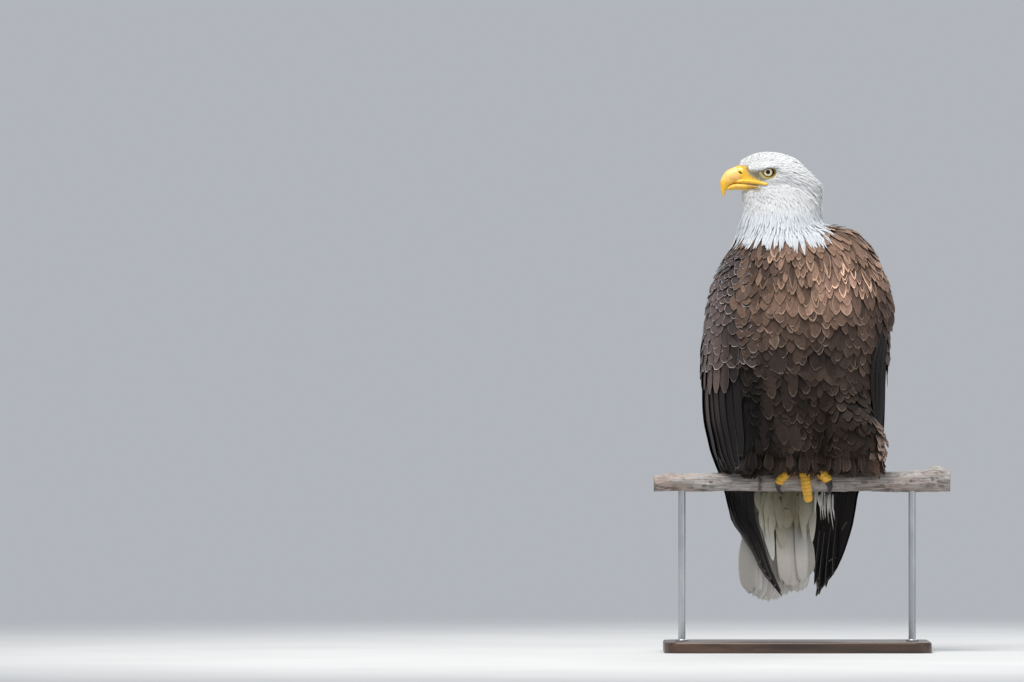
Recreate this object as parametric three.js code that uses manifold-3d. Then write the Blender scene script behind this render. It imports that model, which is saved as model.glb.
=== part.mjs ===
// A perched bald eagle, life size, on a cut length of weathered branch held by a plain display stand.
// Millimetres, +Z up. The bird faces -Y with its body turned a little towards +X, and its head turned towards -X.
// The origin is the centre of the stand's underside.
import * as THREE from "three";
import { mergeVertices } from "three/addons/utils/BufferGeometryUtils.js";
import Module from "manifold-3d";

const wasm = await Module();
wasm.setup();

// ---- driving dimensions, mm ----
const GAP = 0.35; // clearance kept between pieces that meet
const BASE_SIZE = [440, 250, 18]; // stand plate: width, depth, thickness
const BASE_CORNER = 28; // plate's corner radius
const BASE_BEVEL = 2.5; // plate's edge bevel
const ROD_RADIUS = 6; // stand rods
const ROD_X = 190; // rods stand this far each side of the middle
const PERCH_Y = -15; // branch axis, behind or in front of the plate's centre
const PERCH_Z = 280.5; // branch axis height
const PERCH_ENDS = [-236, 252]; // sawn ends of the branch along X
const BODY_TURN = 0.262; // radians the trunk is turned about +Z
const HEAD_TURN = 0.122; // radians the bill is turned from -X towards the front
const HEAD_AT = [-28, -2, 785]; // centre of the skull
const EYE = { u: 24.5, v: 30.5, z: 6.3, r: 11.6 }; // eyeball in the head's own frame
const WING_THICK = 15; // coverts and folded arm over the flank

// ---- small tools ----
const V = (x, y, z) => new THREE.Vector3(x, y, z);

// Smooth, overshoot-free curve through the rows of a table; column 0 is the key, in rising order.
function sampler(rows) {
  const k = rows.map((r) => r[0]);
  const n = rows.length;
  const slope = (c, i) => {
    const d = (j) => (rows[j + 1][c] - rows[j][c]) / (k[j + 1] - k[j]);
    if (i === 0) return d(0);
    if (i === n - 1) return d(n - 2);
    const a = d(i - 1);
    const b = d(i);
    return a * b <= 0 ? 0 : (2 * a * b) / (a + b);
  };
  return (t) => {
    const q = Math.min(k[n - 1], Math.max(k[0], t));
    let i = 0;
    while (i < n - 2 && q > k[i + 1]) i++;
    const h = k[i + 1] - k[i];
    const s = (q - k[i]) / h;
    return rows[0].slice(1).map((_, j) => {
      const c = j + 1;
      const p0 = rows[i][c];
      const p1 = rows[i + 1][c];
      const m0 = slope(c, i) * h;
      const m1 = slope(c, i + 1) * h;
      return (
        p0 * (1 + s * s * (2 * s - 3)) +
        m0 * s * (1 - s) * (1 - s) +
        p1 * s * s * (3 - 2 * s) -
        m1 * s * s * (1 - s)
      );
    });
  };
}

// Closed solid from a three.js geometry.
function solid(geometry) {
  const bare = geometry.clone();
  bare.deleteAttribute("normal");
  bare.deleteAttribute("uv");
  const g = mergeVertices(bare, 1e-4);
  const vertProperties = g.attributes.position.array;
  const triVerts = new Uint32Array(g.index.array);
  let made = new wasm.Manifold(
    new wasm.Mesh({ numProp: 3, vertProperties, triVerts }),
  );
  if (made.volume() < 0) {
    for (let i = 0; i < triVerts.length; i += 3)
      [triVerts[i + 1], triVerts[i + 2]] = [triVerts[i + 2], triVerts[i + 1]];
    made = new wasm.Manifold(
      new wasm.Mesh({ numProp: 3, vertProperties, triVerts }),
    );
  }
  return made;
}

function geometryOf(manifold) {
  const m = manifold.getMesh();
  const v = new Float32Array(m.numVert * 3);
  for (let i = 0; i < m.numVert; i++)
    v.set(m.vertProperties.subarray(i * m.numProp, i * m.numProp + 3), i * 3);
  const g = new THREE.BufferGeometry();
  g.setAttribute("position", new THREE.BufferAttribute(v, 3));
  g.setIndex(new THREE.BufferAttribute(new Uint32Array(m.triVerts), 1));
  g.computeVertexNormals();
  return g;
}

// Largest body of a boolean result, so that no stray sliver is kept.
function main(manifold) {
  const bodies = manifold.decompose();
  return bodies.sort((a, b) => b.volume() - a.volume())[0];
}

// Solid skinned over rings of points; each ring is a closed loop with the same count.
function loft(rings) {
  const n = rings[0].length;
  const pos = [];
  const idx = [];
  rings.forEach((r) => r.forEach((p) => pos.push(p.x, p.y, p.z)));
  for (let i = 0; i + 1 < rings.length; i++)
    for (let j = 0; j < n; j++) {
      const a = i * n + j;
      const b = i * n + ((j + 1) % n);
      idx.push(a, b, b + n, a, b + n, a + n);
    }
  [0, rings.length - 1].forEach((i) => {
    const c = rings[i].reduce((s, p) => s.add(p), V(0, 0, 0)).divideScalar(n);
    const at = pos.length / 3;
    pos.push(c.x, c.y, c.z);
    for (let j = 0; j < n; j++) {
      const a = i * n + j;
      const b = i * n + ((j + 1) % n);
      if (i === 0) idx.push(at, b, a);
      else idx.push(at, a, b);
    }
  });
  const g = new THREE.BufferGeometry();
  g.setAttribute("position", new THREE.Float32BufferAttribute(pos, 3));
  g.setIndex(idx);
  return solid(g);
}

// Tapered tube along a curve, grown all round by grow.
function tube(points, radius, steps, sides, grow) {
  const up = V(1, 0, 0.01);
  const path = new THREE.CatmullRomCurve3(points, false, "centripetal");
  const rings = [];
  for (let i = 0; i <= steps; i++) {
    const t = i / steps;
    const p = path.getPoint(t);
    const d = path.getTangent(t);
    const a = V(0, 0, 0).crossVectors(d, up);
    if (a.length() < 1e-3) a.set(1, 0, 0);
    a.normalize();
    const b = V(0, 0, 0).crossVectors(a, d).normalize();
    const r = radius(t) + grow;
    p.addScaledVector(d, i === 0 ? -grow : i === steps ? grow : 0);
    rings.push(
      Array.from({ length: sides }, (_, j) => {
        const w = (2 * Math.PI * j) / sides;
        return p
          .clone()
          .addScaledVector(a, r * Math.cos(w))
          .addScaledVector(b, r * Math.sin(w));
      }),
    );
  }
  return loft(rings);
}

const power = (v, n) => Math.sign(v) * Math.abs(v) ** (2 / n);
const bell = (x, w) => Math.exp(-((x / w) ** 2));

// From the trunk's own frame, which faces -Y, to the bird's.
function turned(x, y, z) {
  const c = Math.cos(BODY_TURN);
  const s = Math.sin(BODY_TURN);
  return V(x * c - y * s, x * s + y * c, z);
}

// ---- outline of body, by height: half width, front, back, middle, sideways shift ----
const HULL = sampler([
  [258, 105, 20, 92, 52, 11],
  [275, 113, -2, 98, 44, 8],
  [300, 124, -30, 105, 34, 6],
  [340, 140, -58, 111, 22, 5],
  [400, 149, -84, 117, 15, 0],
  [460, 151, -99, 121, 10, -1],
  [520, 152, -107, 122, 8, 2],
  [560, 153, -110, 119, 6, 6],
  [600, 147, -109, 113, 3, 7],
  [640, 129, -102, 101, 0, 6],
  [665, 115, -91, 87, -2, 8],
  [685, 101, -77, 71, -3, 7],
  [698, 88, -60, 55, -3, 7],
  [705, 54, -36, 34, 0, 7],
]);
const FRONT_N = 2.3;
const BACK_N = 2.5;

// Point of that outline: phi is 0 in front and grows to the bird's left.
function hull(phi, z, grow = 0, narrow = 0) {
  const [a, front, back, mid, shift] = HULL(z);
  const s = Math.sin(phi);
  const c = Math.cos(phi);
  const n = c >= 0 ? FRONT_N : BACK_N;
  const x = (a + grow - narrow) * power(s, n);
  const y =
    c >= 0
      ? mid - (mid - front + grow) * power(c, n)
      : mid + (back - mid + grow) * power(-c, n);
  return turned(x, y, z).add(V(shift, 0, 0));
}

// ---- trunk ----
const TRUNK_SIDES = 22;
const trunkLevels = [307, 314, 340, 380, 435, 500, 555, 600, 636, 664, 685, 698, 704.5];
// The belly is drawn in below, where the folded wings hang free of it.
const BELLY = sampler([
  [300, 44],
  [307, 38],
  [315, 27],
  [345, 12],
  [400, 0],
]);
const trunkWhole = loft(
  trunkLevels.map((z) =>
    Array.from({ length: TRUNK_SIDES }, (_, j) =>
      hull((2 * Math.PI * (j + 0.5)) / TRUNK_SIDES, z, z < 310 ? -12 : 0, BELLY(z)[0]),
    ),
  ),
);

// ---- thighs: the feathered trousers, by height: x, y, half width, half depth ----
// The bird stands on its right leg; the left one is drawn up into the belly feathers.
const THIGHS = {
  right: sampler([
    [301, 3, -8, 26, 20],
    [306, 1, -13, 36, 30],
    [318, -4, -21, 44, 40],
    [345, -12, -32, 50, 48],
    [380, -22, -42, 48, 48],
    [408, -30, -48, 36, 36],
    [424, -34, -50, 14, 15],
  ]),
  left: sampler([
    [306, 90, -11, 38, 24],
    [311, 91, -16, 46, 34],
    [320, 92, -20, 49.5, 43],
    [345, 92, -28, 51, 52],
    [380, 86, -36, 47, 52],
    [408, 80, -40, 36, 39],
    [424, 76, -42, 14, 16],
  ]),
};
const THIGH_STEPS = [0, 0.035, 0.12, 0.29, 0.5, 0.73, 0.91, 1];
function thigh(side, grow) {
  const low = side === "left" ? 306 : 301;
  return loft(
    THIGH_STEPS.map((t) => {
      const z = low + (424 - low) * t;
      const [x, y, a, b] = THIGHS[side](z);
      return Array.from({ length: 12 }, (_, j) => {
        const w = (2 * Math.PI * j) / 12;
        return V(
          x + (a + grow) * Math.cos(w),
          y + (b + grow) * Math.sin(w),
          z + (t === 0 ? -grow : t === 1 ? grow : 0),
        );
      });
    }),
  );
}

// ---- tail coverts and rump, in the trunk's frame, by height: x, y, half width, half depth ----
const RUMP = sampler([
  [176, -9, 103, 46, 3],
  [184, -9, 101.5, 54, 6],
  [200, -9, 97, 59, 11],
  [230, -8, 87, 61, 18],
  [262, -6, 77, 63, 27],
  [300, -3, 68, 68, 35],
  [334, 0, 62, 66, 34],
  [346, 0, 60, 40, 20],
]);
const rumpLevels = [176, 182, 194, 214, 240, 270, 302, 328, 346];
function rump(grow) {
  return loft(
    rumpLevels.map((z, i) => {
      const [x, y, a, b] = RUMP(z);
      const end = i === 0 ? -grow : i === rumpLevels.length - 1 ? grow : 0;
      return Array.from({ length: 16 }, (_, j) => {
        const w = (2 * Math.PI * j) / 16;
        return turned(
          x + (a + grow) * power(Math.cos(w), 2.4),
          y + (b + grow) * power(Math.sin(w), 2.4),
          z + end,
        );
      });
    }),
  );
}

// A thin long feather as a solid: width(t) across, curving from root to tip.
function feather(root, mid, tip, across, halfWidth, thick) {
  const path = new THREE.QuadraticBezierCurve3(root, mid, tip);
  const rings = [];
  for (const t of [0, 0.5, 0.88, 1]) {
    const p = path.getPoint(t);
    const d = path.getTangent(t);
    const n = V(0, 0, 0).crossVectors(across, d).normalize();
    const w = halfWidth * (t > 0.9 ? 0.55 : 0.62 + 0.44 * t);
    const k = thick * (1 - 0.55 * t);
    rings.push([
      p.clone().addScaledVector(across, -w),
      p.clone().addScaledVector(n, k),
      p.clone().addScaledVector(across, w),
      p.clone().addScaledVector(n, -k),
    ]);
  }
  return loft(rings);
}

// ---- tail: twelve long feathers, fanned a little, joined into one piece ----
const TAIL_COUNT = 12;
// Height of each feather's tip, from the bird's right to its left.
const TAIL_TIPS = [94, 88, 83, 81, 80, 80, 84, 89, 94, 99, 97, 92];
// Point of the tail's plane, which is square to the trunk; depth is measured behind the trunk's axis.
const onTail = (x, depth, z) =>
  V(x, x * Math.tan(BODY_TURN) + depth / Math.cos(BODY_TURN), z);
function tailFeather(i) {
  const f = i / (TAIL_COUNT - 1);
  const g = Math.abs(2 * f - 1);
  const layer = 7 * g; // outer feathers lie under the middle ones
  const root = onTail(-72 + 87 * f, 90 - layer, 226);
  const mid = onTail(-82 + 104 * f, 101 - layer, 168);
  const tip = onTail(-75 + 87 * f, 110 - layer, TAIL_TIPS[i]);
  const across = turned(1, 0.1 * (2 * f - 1), 0).normalize();
  return feather(root, mid, tip, across, 15.5, 2);
}

// ---- wings: outer surface as stations of height, each a list of points from front edge to back ----
const DEG = Math.PI / 180;
const WING = {
  // height -> front and back angles on the outline
  right: {
    arc: sampler([
      [300, 35, 154],
      [330, 34, 164],
      [380, 33, 170],
      [440, 35, 171],
      [500, 40, 169],
      [560, 46, 165],
      [620, 53, 159],
      [660, 62, 150],
      [684, 80, 138],
      [694, 96, 122],
    ]),
    sign: -1,
    // free blade beyond the trunk: height, then front, middle and back points
    blade: [
      [264, [-67, 26], [-115, 58], [-100, 98]],
      [236, [-66, 36], [-108, 60], [-98, 90]],
      [214, [-64, 44], [-101, 60], [-96, 84]],
      [190, [-60, 52], [-84, 62], [-86, 78]],
      [165, [-55, 58], [-70, 64], [-76, 75]],
      [140, [-46, 63], [-58, 67], [-62, 75]],
      [115, [-35, 68], [-42, 70], [-45, 75]],
      [98, [-26, 71], [-28, 72], [-31, 75]],
      [90, [-22.5, 72], [-24, 73], [-25.5, 74.5]],
    ],
  },
  left: {
    arc: sampler([
      [300, 72, 154],
      [330, 72, 164],
      [380, 71, 170],
      [440, 70, 171],
      [500, 68, 169],
      [560, 64, 165],
      [620, 61, 159],
      [660, 66, 150],
      [684, 80, 138],
      [694, 96, 122],
    ]),
    sign: 1,
    blade: [
      [264, [105, 46], [80, 100], [20, 129]],
      [236, [100, 60], [74, 108], [20, 131]],
      [209, [95, 73], [68, 113], [20, 132]],
      [185, [88, 83], [63, 117], [20, 132]],
      [163, [81, 91], [58, 120], [20, 132]],
      [130, [66, 104], [50, 124], [22, 132]],
      [109, [50, 116], [42, 127], [27, 132]],
      [88, [35, 126], [34, 129], [33, 132]],
    ],
  },
};
const WING_ACROSS = 7; // points from front edge to back edge
const wingLevels = [
  88, 90, 106, 132, 166, 208, 250, 290, 340, 405, 475, 540, 592, 630, 660, 680, 690,
];

// Distance from outer to inner face at height z and share v across.
const WING_DEPTH = sampler([
  [90, 2.2],
  [200, 4.5],
  [264, 8],
  [330, 12.5],
  [420, WING_THICK],
  [640, WING_THICK],
  [675, 10],
  [694, 5],
]);

function wingSurface(side) {
  const w = WING[side];
  // one curve in height for each place across the wing
  return Array.from({ length: WING_ACROSS }, (_, j) => {
    const v = j / (WING_ACROSS - 1);
    const rows = w.blade
      .map(([z, f, m, b]) => [
        z,
        ...[0, 1].map(
          (k) =>
            f[k] * (1 - v) * (1 - 2 * v) +
            m[k] * 4 * v * (1 - v) +
            b[k] * v * (2 * v - 1),
        ),
      ])
      .sort((p, q) => p[0] - q[0]);
    for (const z of [310, 330, 350, 380, 410, 440, 480, 520, 560, 600, 630, 660, 684, 694]) {
      const [a, b] = w.arc(z);
      const p = hull(w.sign * (a + (b - a) * v) * DEG, z, 3);
      rows.push([z, p.x, p.y]);
    }
    return sampler(rows);
  });
}

function wingWhole(side, grow) {
  const curves = wingSurface(side);
  const low = WING[side].blade.at(-1)[0];
  const rings = wingLevels
    .map((z) => Math.max(z, low))
    .filter((z, i, all) => i === 0 || z > all[i - 1])
    .map((z, level, all) => {
      const outer = curves.map((c) => V(c(z)[0], c(z)[1], z));
      const depth = WING_DEPTH(z)[0];
      const last = level === all.length - 1;
      const end = level === 0 ? -grow : last ? grow : 0;
      const normals = outer.map((p, j) => {
        const a = outer[Math.max(0, j - 1)];
        const b = outer[Math.min(outer.length - 1, j + 1)];
        const d = V(b.x - a.x, b.y - a.y, 0).normalize();
        return WING[side].sign > 0 ? V(d.y, -d.x, 0) : V(-d.y, d.x, 0);
      });
      // growth runs outwards along the surface at the front and back edges too
      const along = outer.map((_, j) => {
        const n = normals[j];
        const e = j === 0 ? -1 : j === outer.length - 1 ? 1 : 0;
        return V(-n.y, n.x, 0).multiplyScalar(WING[side].sign * e * grow);
      });
      const out = outer.map((p, j) =>
        p.clone().addScaledVector(normals[j], grow).add(along[j]),
      );
      const inner = outer
        .map((p, j) => {
          const v = j / (outer.length - 1);
          const edge = Math.min(1, 0.28 + 3.2 * v * (1 - v));
          return p.clone().addScaledVector(normals[j], -depth * edge - grow).add(along[j]);
        })
        .reverse();
      const ring = [...out, ...inner];
      ring.forEach((p) => (p.z += end));
      return ring;
    });
  return loft(rings);
}

// A flat slab that splits a wing: everything below the tilted plane.
function below(z, tilt, turn = 0) {
  const box = new THREE.BoxGeometry(800, 800, 800);
  box.translate(0, 0, -400);
  box.rotateX(tilt);
  box.rotateY(turn);
  box.translate(0, 0, z);
  return solid(box);
}

// ---- perch: weathered branch ----
const PERCH = sampler([
  // x, height offset, radius
  [-236, -2.5, 13.4],
  [-205, -1, 14.2],
  [-160, 0, 14.8],
  [-100, 0, 15],
  [-40, 0, 15.2],
  [30, -0.4, 15],
  [90, -0.2, 15.4],
  [140, 0.4, 16.6],
  [180, 1.2, 17.2],
  [208, 2.4, 18.6],
  [228, 4.5, 21],
  [240, 3.6, 19.4],
  [252, 1.4, 17.4],
]);
const perchStations = [
  -236, -217, -209, -201, -150, -90, -30, 30, 90, 145, 185, 212, 229, 240, 252,
];
function perch(grow) {
  return loft(
    perchStations.map((x, i) => {
      const [dz, r] = PERCH(x);
      const end = i === 0 ? -grow : i === perchStations.length - 1 ? grow : 0;
      return Array.from({ length: 12 }, (_, j) => {
        const w = (2 * Math.PI * j) / 12;
        // a side-shoot's stub near one end and the swelling of a lost limb near the other
        const stub = 4.5 * bell(x + 209, 6) * bell(w - Math.PI / 2, 0.5);
        const knot = 4 * bell(x - 231, 9) * bell(w - 1.25, 0.7);
        const rough = 0.5 * Math.sin(3 * w + x / 31) + 0.4 * Math.sin(5 * w - x / 17);
        const rr = r + grow + rough + stub + knot;
        return V(x + end, rr * Math.cos(w) * 1.02, PERCH_Z + dz + rr * Math.sin(w));
      });
    }),
  );
}

// ---- neck, by height: x, y, half width, half depth ----
const NECK = sampler([
  [648, -12, -6, 84, 78],
  [664, -15, -4, 92, 88],
  [680, -20, -3, 84, 80],
  [700, -25, -3, 73, 68],
  [712, -26, -3, 69, 61],
  [726, -25, -3, 65.5, 55],
  [746, -25, -3, 66, 50],
  [760, -27, -2, 65, 47],
  [770, -27, -2, 59, 43],
  [780, -24, -2, 46, 35],
]);
const neckLevels = [648, 662, 678, 694, 712, 734, 754, 769, 780];
function neck(grow) {
  return loft(
    neckLevels.map((z, i) => {
      const [x, y, a, b] = NECK(z);
      const end = i === 0 ? -grow : i === neckLevels.length - 1 ? grow : 0;
      return Array.from({ length: 18 }, (_, j) => {
        const w = (2 * Math.PI * j) / 18;
        return V(
          x + (a + grow) * Math.cos(w),
          y + (b + grow) * Math.sin(w),
          z + end,
        );
      });
    }),
  );
}

// ---- head, in its own frame: u forward along the bill, v sideways, z up from the skull's centre ----
const headPoint = (u, v, z) => {
  const c = Math.cos(HEAD_TURN);
  const s = Math.sin(HEAD_TURN);
  return V(HEAD_AT[0] - u * c + v * s, HEAD_AT[1] - u * s - v * c, HEAD_AT[2] + z);
};
// along u: top, bottom, half width
const HEAD = sampler([
  [-70, -17, -36, 12],
  [-64, -9, -38, 24],
  [-56, -1, -40, 33],
  [-43, 12.5, -41, 40],
  [-26, 28.5, -40, 44],
  [-8, 36, -38, 45.5],
  [10, 39.6, -34, 44.5],
  [28, 40.2, -30, 41],
  [44, 36.6, -28, 34],
  [54, 32.5, -27, 27],
  [62, 28.5, -26.5, 19],
  [68, 24, -26, 11],
]);
const headStations = [-70, -61, -47, -29, -8, 12, 28, 41, 52, 61, 68];
function headWhole() {
  return loft(
    headStations.map((u) => {
      const [top, low, half] = HEAD(u);
      return Array.from({ length: 16 }, (_, j) => {
        const w = (2 * Math.PI * j) / 16;
        const mid = (top + low) / 2;
        const z = mid + ((top - low) / 2) * power(Math.cos(w), 2.25);
        // the brow stands over a hollow that runs from the eye to the bill
        const brow = 3.6 * bell(u - 33, 20) * bell(z - 13.5, 5);
        const lore = -8.5 * bell(u - 46, 13) * bell(z + 1, 9);
        const side = Math.sin(w);
        const v = half * power(side, 2.25) + Math.sign(side) * (brow + lore) * Math.abs(side) ** 0.6;
        return headPoint(u, v, z);
      });
    }),
  );
}

// ---- bill: upper half along the culmen, lower half along the jaw; height pairs are culmen and edge ----
const UPPER = sampler([
  // t, u top, z top, u edge, z edge, half width
  [0, 54, 20, 54, -10.5, 17],
  [0.2, 66, 18.2, 66, -11.2, 15.2],
  [0.4, 80, 14, 77, -13, 12.6],
  [0.55, 89.5, 9, 84, -16.5, 10.8],
  [0.68, 96.5, 0, 88, -21, 8.4],
  [0.8, 100, -10, 90.6, -25.5, 6.2],
  [0.91, 99.6, -21, 92, -31, 3.9],
  [0.97, 97, -30, 92.4, -35, 2.2],
  [1, 94.6, -36, 93, -37, 0.8],
]);
function billUpper(grow) {
  const rings = [];
  const steps = 11;
  for (let i = 0; i <= steps; i++) {
    const [ua, za, ub, zb, half] = UPPER(i / steps);
    const n = 12;
    const end = i === 0 ? -grow : i === steps ? grow : 0;
    rings.push(
      Array.from({ length: n }, (_, j) => {
        const w = (2 * Math.PI * j) / n;
        const f = (1 - Math.cos(w)) / 2; // 0 on the culmen, 1 on the edge
        const len = Math.hypot(ua - ub, za - zb);
        const g = (grow / len) * Math.cos(w);
        const flat = 1 - 0.18 * f;
        return headPoint(
          ua + (ub - ua) * (f - g) + (i === 0 ? end : 0),
          (half + grow) * flat * power(Math.sin(w), 2.3),
          za + (zb - za) * (f - g) - (i === 0 ? 0 : end),
        );
      }),
    );
  }
  return loft(rings);
}
const LOWER = sampler([
  // u, top, bottom, half width
  [52, -11.3, -24.5, 13],
  [62, -11.6, -23.2, 12.4],
  [72, -13, -22.6, 11],
  [80, -15.6, -23, 8.8],
  [86, -18.6, -23, 6],
  [89, -20.8, -22.6, 2.6],
]);
function billLower(grow) {
  const rings = [];
  for (let i = 0; i <= 5; i++) {
    const u = 52 + (37 * i) / 5;
    const [top, low, half] = LOWER(u);
    const end = i === 0 ? -grow : i === 5 ? grow : 0;
    rings.push(
      Array.from({ length: 10 }, (_, j) => {
        const w = (2 * Math.PI * j) / 10;
        return headPoint(
          u + end,
          (half + grow) * power(Math.sin(w), 2.4),
          (top + low) / 2 + ((top - low) / 2 + grow) * power(Math.cos(w), 2.6),
        );
      }),
    );
  }
  return loft(rings);
}

// The soft yellow corners of the mouth run back along the cheeks, above and below the gape.
function gape(side, lower, grow) {
  const pts = lower
    ? [[64, 10, -16.5], [48, 22, -18], [36, 31.5, -18.5], [27, 37.5, -17.5]]
    : [[64, 12, -8.5], [48, 23.5, -10.5], [35, 33, -12.5], [24, 39, -14]];
  return tube(
    pts.map(([u, v, z]) => headPoint(u, side * v, z)),
    (t) => (lower ? 4.6 : 5.2) - (lower ? 2.8 : 3) * t,
    2,
    5,
    grow,
  );
}

function eye(side, grow) {
  const g = new THREE.SphereGeometry(EYE.r + grow, 10, 6);
  g.rotateX(Math.PI / 2);
  const p = headPoint(EYE.u, side * EYE.v, EYE.z);
  g.translate(p.x, p.y, p.z);
  return solid(g);
}
function socket(side) {
  const g = new THREE.SphereGeometry(1, 8, 4);
  g.scale(12.5, 6, 9.8);
  g.rotateZ(HEAD_TURN);
  const p = headPoint(EYE.u + 0.5, side * 44.5, EYE.z - 0.4);
  g.translate(p.x, p.y, p.z);
  return solid(g);
}

// ---- feet: each toe and its claw follow one curve ----
// The right foot grips the branch; the left is closed and drawn up beside it.
const TOES = {
  right: {
    leg: [[9, 4, 330], [11, 3, 304]],
    toes: {
      outer: [[6, 0, 305], [-6, -14, 303], [-18, -21.5, 295], [-28, -24.5, 284], [-31, -24, 277]],
      middle: [[11, -2, 306], [11.5, -19, 302], [13, -26.5, 286], [16, -28.5, 266], [18.8, -28, 247]],
      inner: [[16, 0, 305], [28, -14, 304], [40, -22.5, 296], [48, -26, 287], [51, -26, 281]],
      hind: [[11, 8, 305], [12, 20, 301], [13, 25.5, 287], [13, 23.5, 272]],
    },
    claws: {
      outer: [[-31.5, -23.5, 276], [-31, -23.5, 268], [-26, -20, 262.5], [-19, -12, 262]],
      middle: [[19, -21, 250], [19, -13, 247.5], [18.5, -5, 251], [18, -1, 257]],
      inner: [[51.5, -27, 280], [54, -28.5, 271], [51, -25, 262], [45, -16, 258]],
      hind: [[13, 22.5, 271], [12.5, 18, 260], [12, 7, 256], [12, -1, 259]],
    },
  },
  left: {
    leg: [[86, 16, 332], [88, 4, 318]],
    toes: {
      outer: [[89, 4, 318], [96, -5, 313], [101, -9, 306]],
      middle: [[88, 2, 318], [89, -9, 314], [90, -15, 307]],
      inner: [[86, 4, 318], [80, -5, 313], [76, -9, 306]],
      hind: [[88, 10, 318], [89, 18, 313], [89, 21, 307]],
    },
    claws: {
      outer: [[101, -8.5, 304], [101, -4, 301], [99.5, 1, 301]],
      middle: [[90, -14.5, 305], [90, -10, 301.5], [89.5, -4, 301.5]],
      inner: [[76, -8.5, 304], [76.5, -4, 301], [78, 1, 301]],
      hind: [[89, 20.5, 305], [89, 15, 302], [89.3, 9, 302]],
    },
  },
};
const TOE_RADIUS = { outer: 8.6, middle: 9, inner: 10.2, hind: 9.4 };
const CLAW_RADIUS = { outer: 4.2, middle: 4.6, inner: 5.4, hind: 5.8 };
const CLENCHED = 0.86; // the closed foot's toes are drawn in
function toe(side, name, grow = 0) {
  const pts = TOES[side].toes[name].map((p) => V(...p));
  const r = TOE_RADIUS[name] * (side === "left" ? CLENCHED : 1);
  const end = (t) => (t > 0.9 ? Math.sqrt(Math.max(0.2, 1 - ((t - 0.9) / 0.11) ** 2)) : 1);
  const pads = (t) => (side === "left" ? 0 : 0.7 * Math.cos(t * 6 * Math.PI));
  const steps = side === "left" ? 2 : name === "middle" ? 6 : 5;
  return tube(pts, (t) => (r * (1 - 0.1 * t) + pads(t)) * end(t), steps, 6, grow);
}
function claw(side, name, grow = 0) {
  const pts = TOES[side].claws[name].map((p) => V(...p));
  const r = CLAW_RADIUS[name] * (side === "left" ? CLENCHED : 1);
  return tube(pts, (t) => r * (1 - t) ** 0.75 + 0.35, side === "left" ? 2 : 4, 5, grow);
}
function shank(side, grow) {
  const pts = TOES[side].leg.map((p) => V(...p));
  return tube(
    [pts[0], pts[0].clone().lerp(pts[1], 0.5), pts[1]],
    () => 9,
    1,
    8,
    grow,
  );
}

// ---- join, cut and part ----
const perchSolid = perch(0);
const perchCut = perch(GAP).add(perchSolid);
const names = ["outer", "middle", "inner", "hind"];

const feet = {};
const claws = {};
for (const side of ["right", "left"]) {
  let f = shank(side, 0);
  for (const n of names) f = f.add(toe(side, n));
  for (const n of names) f = f.subtract(claw(side, n, GAP));
  feet[side] = main(f.subtract(perchCut));
  for (const n of names)
    claws[side + "_" + n] = main(claw(side, n).subtract(perchCut));
}

const wings = { right: wingWhole("right", 0), left: wingWhole("left", 0) };
const wingCuts = {
  right: wingWhole("right", GAP).add(wings.right),
  left: wingWhole("left", GAP).add(wings.left),
};

// the shape of a piece together with its clearance
const room = (make) => make(GAP).add(make(0));
const feetCut = ["right", "left"].map((side) =>
  names
    .flatMap((n) => [room((g) => toe(side, n, g)), room((g) => claw(side, n, g))])
    .reduce((s, f) => s.add(f), room((g) => shank(side, g))),
);
const lessFeet = (m) => feetCut.reduce((s, f) => s.subtract(f), m).subtract(perchCut);

const eyeCut = eye(1, GAP).add(eye(-1, GAP));
const headNeck = headWhole().add(neck(0));
const headPart = headNeck.subtract(below(736, 0.1, 0.12));
const neckPart = headNeck.intersect(below(736 - GAP, 0.1, 0.12));
const upperWhole = (grow) =>
  billUpper(grow).add(gape(1, false, grow)).add(gape(-1, false, grow));
const lowerWhole = (grow) =>
  billLower(grow).add(gape(1, true, grow)).add(gape(-1, true, grow));
const upperCut = upperWhole(GAP);
const billUpperSolid = main(upperWhole(0));
const billLowerSolid = main(lowerWhole(0).subtract(upperCut));
const headFinal = main(
  headPart
    .subtract(socket(1))
    .subtract(socket(-1))
    .subtract(eyeCut)
    .subtract(upperCut)
    .subtract(lowerWhole(GAP)),
);

const rumpCut = room(rump);
let trunk = trunkWhole
  .subtract(wingCuts.right)
  .subtract(wingCuts.left)
  .subtract(thigh("right", GAP))
  .subtract(thigh("left", GAP))
  .subtract(rumpCut)
  .subtract(neck(GAP));
trunk = main(lessFeet(trunk));

const wingParts = {};
const splits = { right: [470, 300], left: [470, 300] };
for (const side of ["right", "left"]) {
  const tilt = 0.3;
  const clear = wings[side]
    .subtract(neck(GAP))
    .subtract(rumpCut)
    .subtract(perchCut);
  const [high, low] = splits[side];
  wingParts[side] = {
    coverts: main(clear.subtract(below(high, tilt))),
    secondaries: main(clear.intersect(below(high - GAP, tilt)).subtract(below(low, -0.35))),
    primaries: main(clear.intersect(below(low - GAP, -0.35))),
  };
}

const thighs = {
  right: main(
    lessFeet(
      thigh("right", 0).subtract(wingCuts.right).subtract(rumpCut),
    ),
  ),
  left: main(
    lessFeet(
      thigh("left", 0)
        .subtract(wingCuts.left)
        .subtract(rumpCut)
        .subtract(thigh("right", GAP)),
    ),
  ),
};

let tail = tailFeather(0);
for (let i = 1; i < TAIL_COUNT; i++) tail = tail.add(tailFeather(i));
tail = main(tail.subtract(rumpCut).subtract(wingCuts.right).subtract(wingCuts.left));
const coverts = main(lessFeet(rump(0)));

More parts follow.
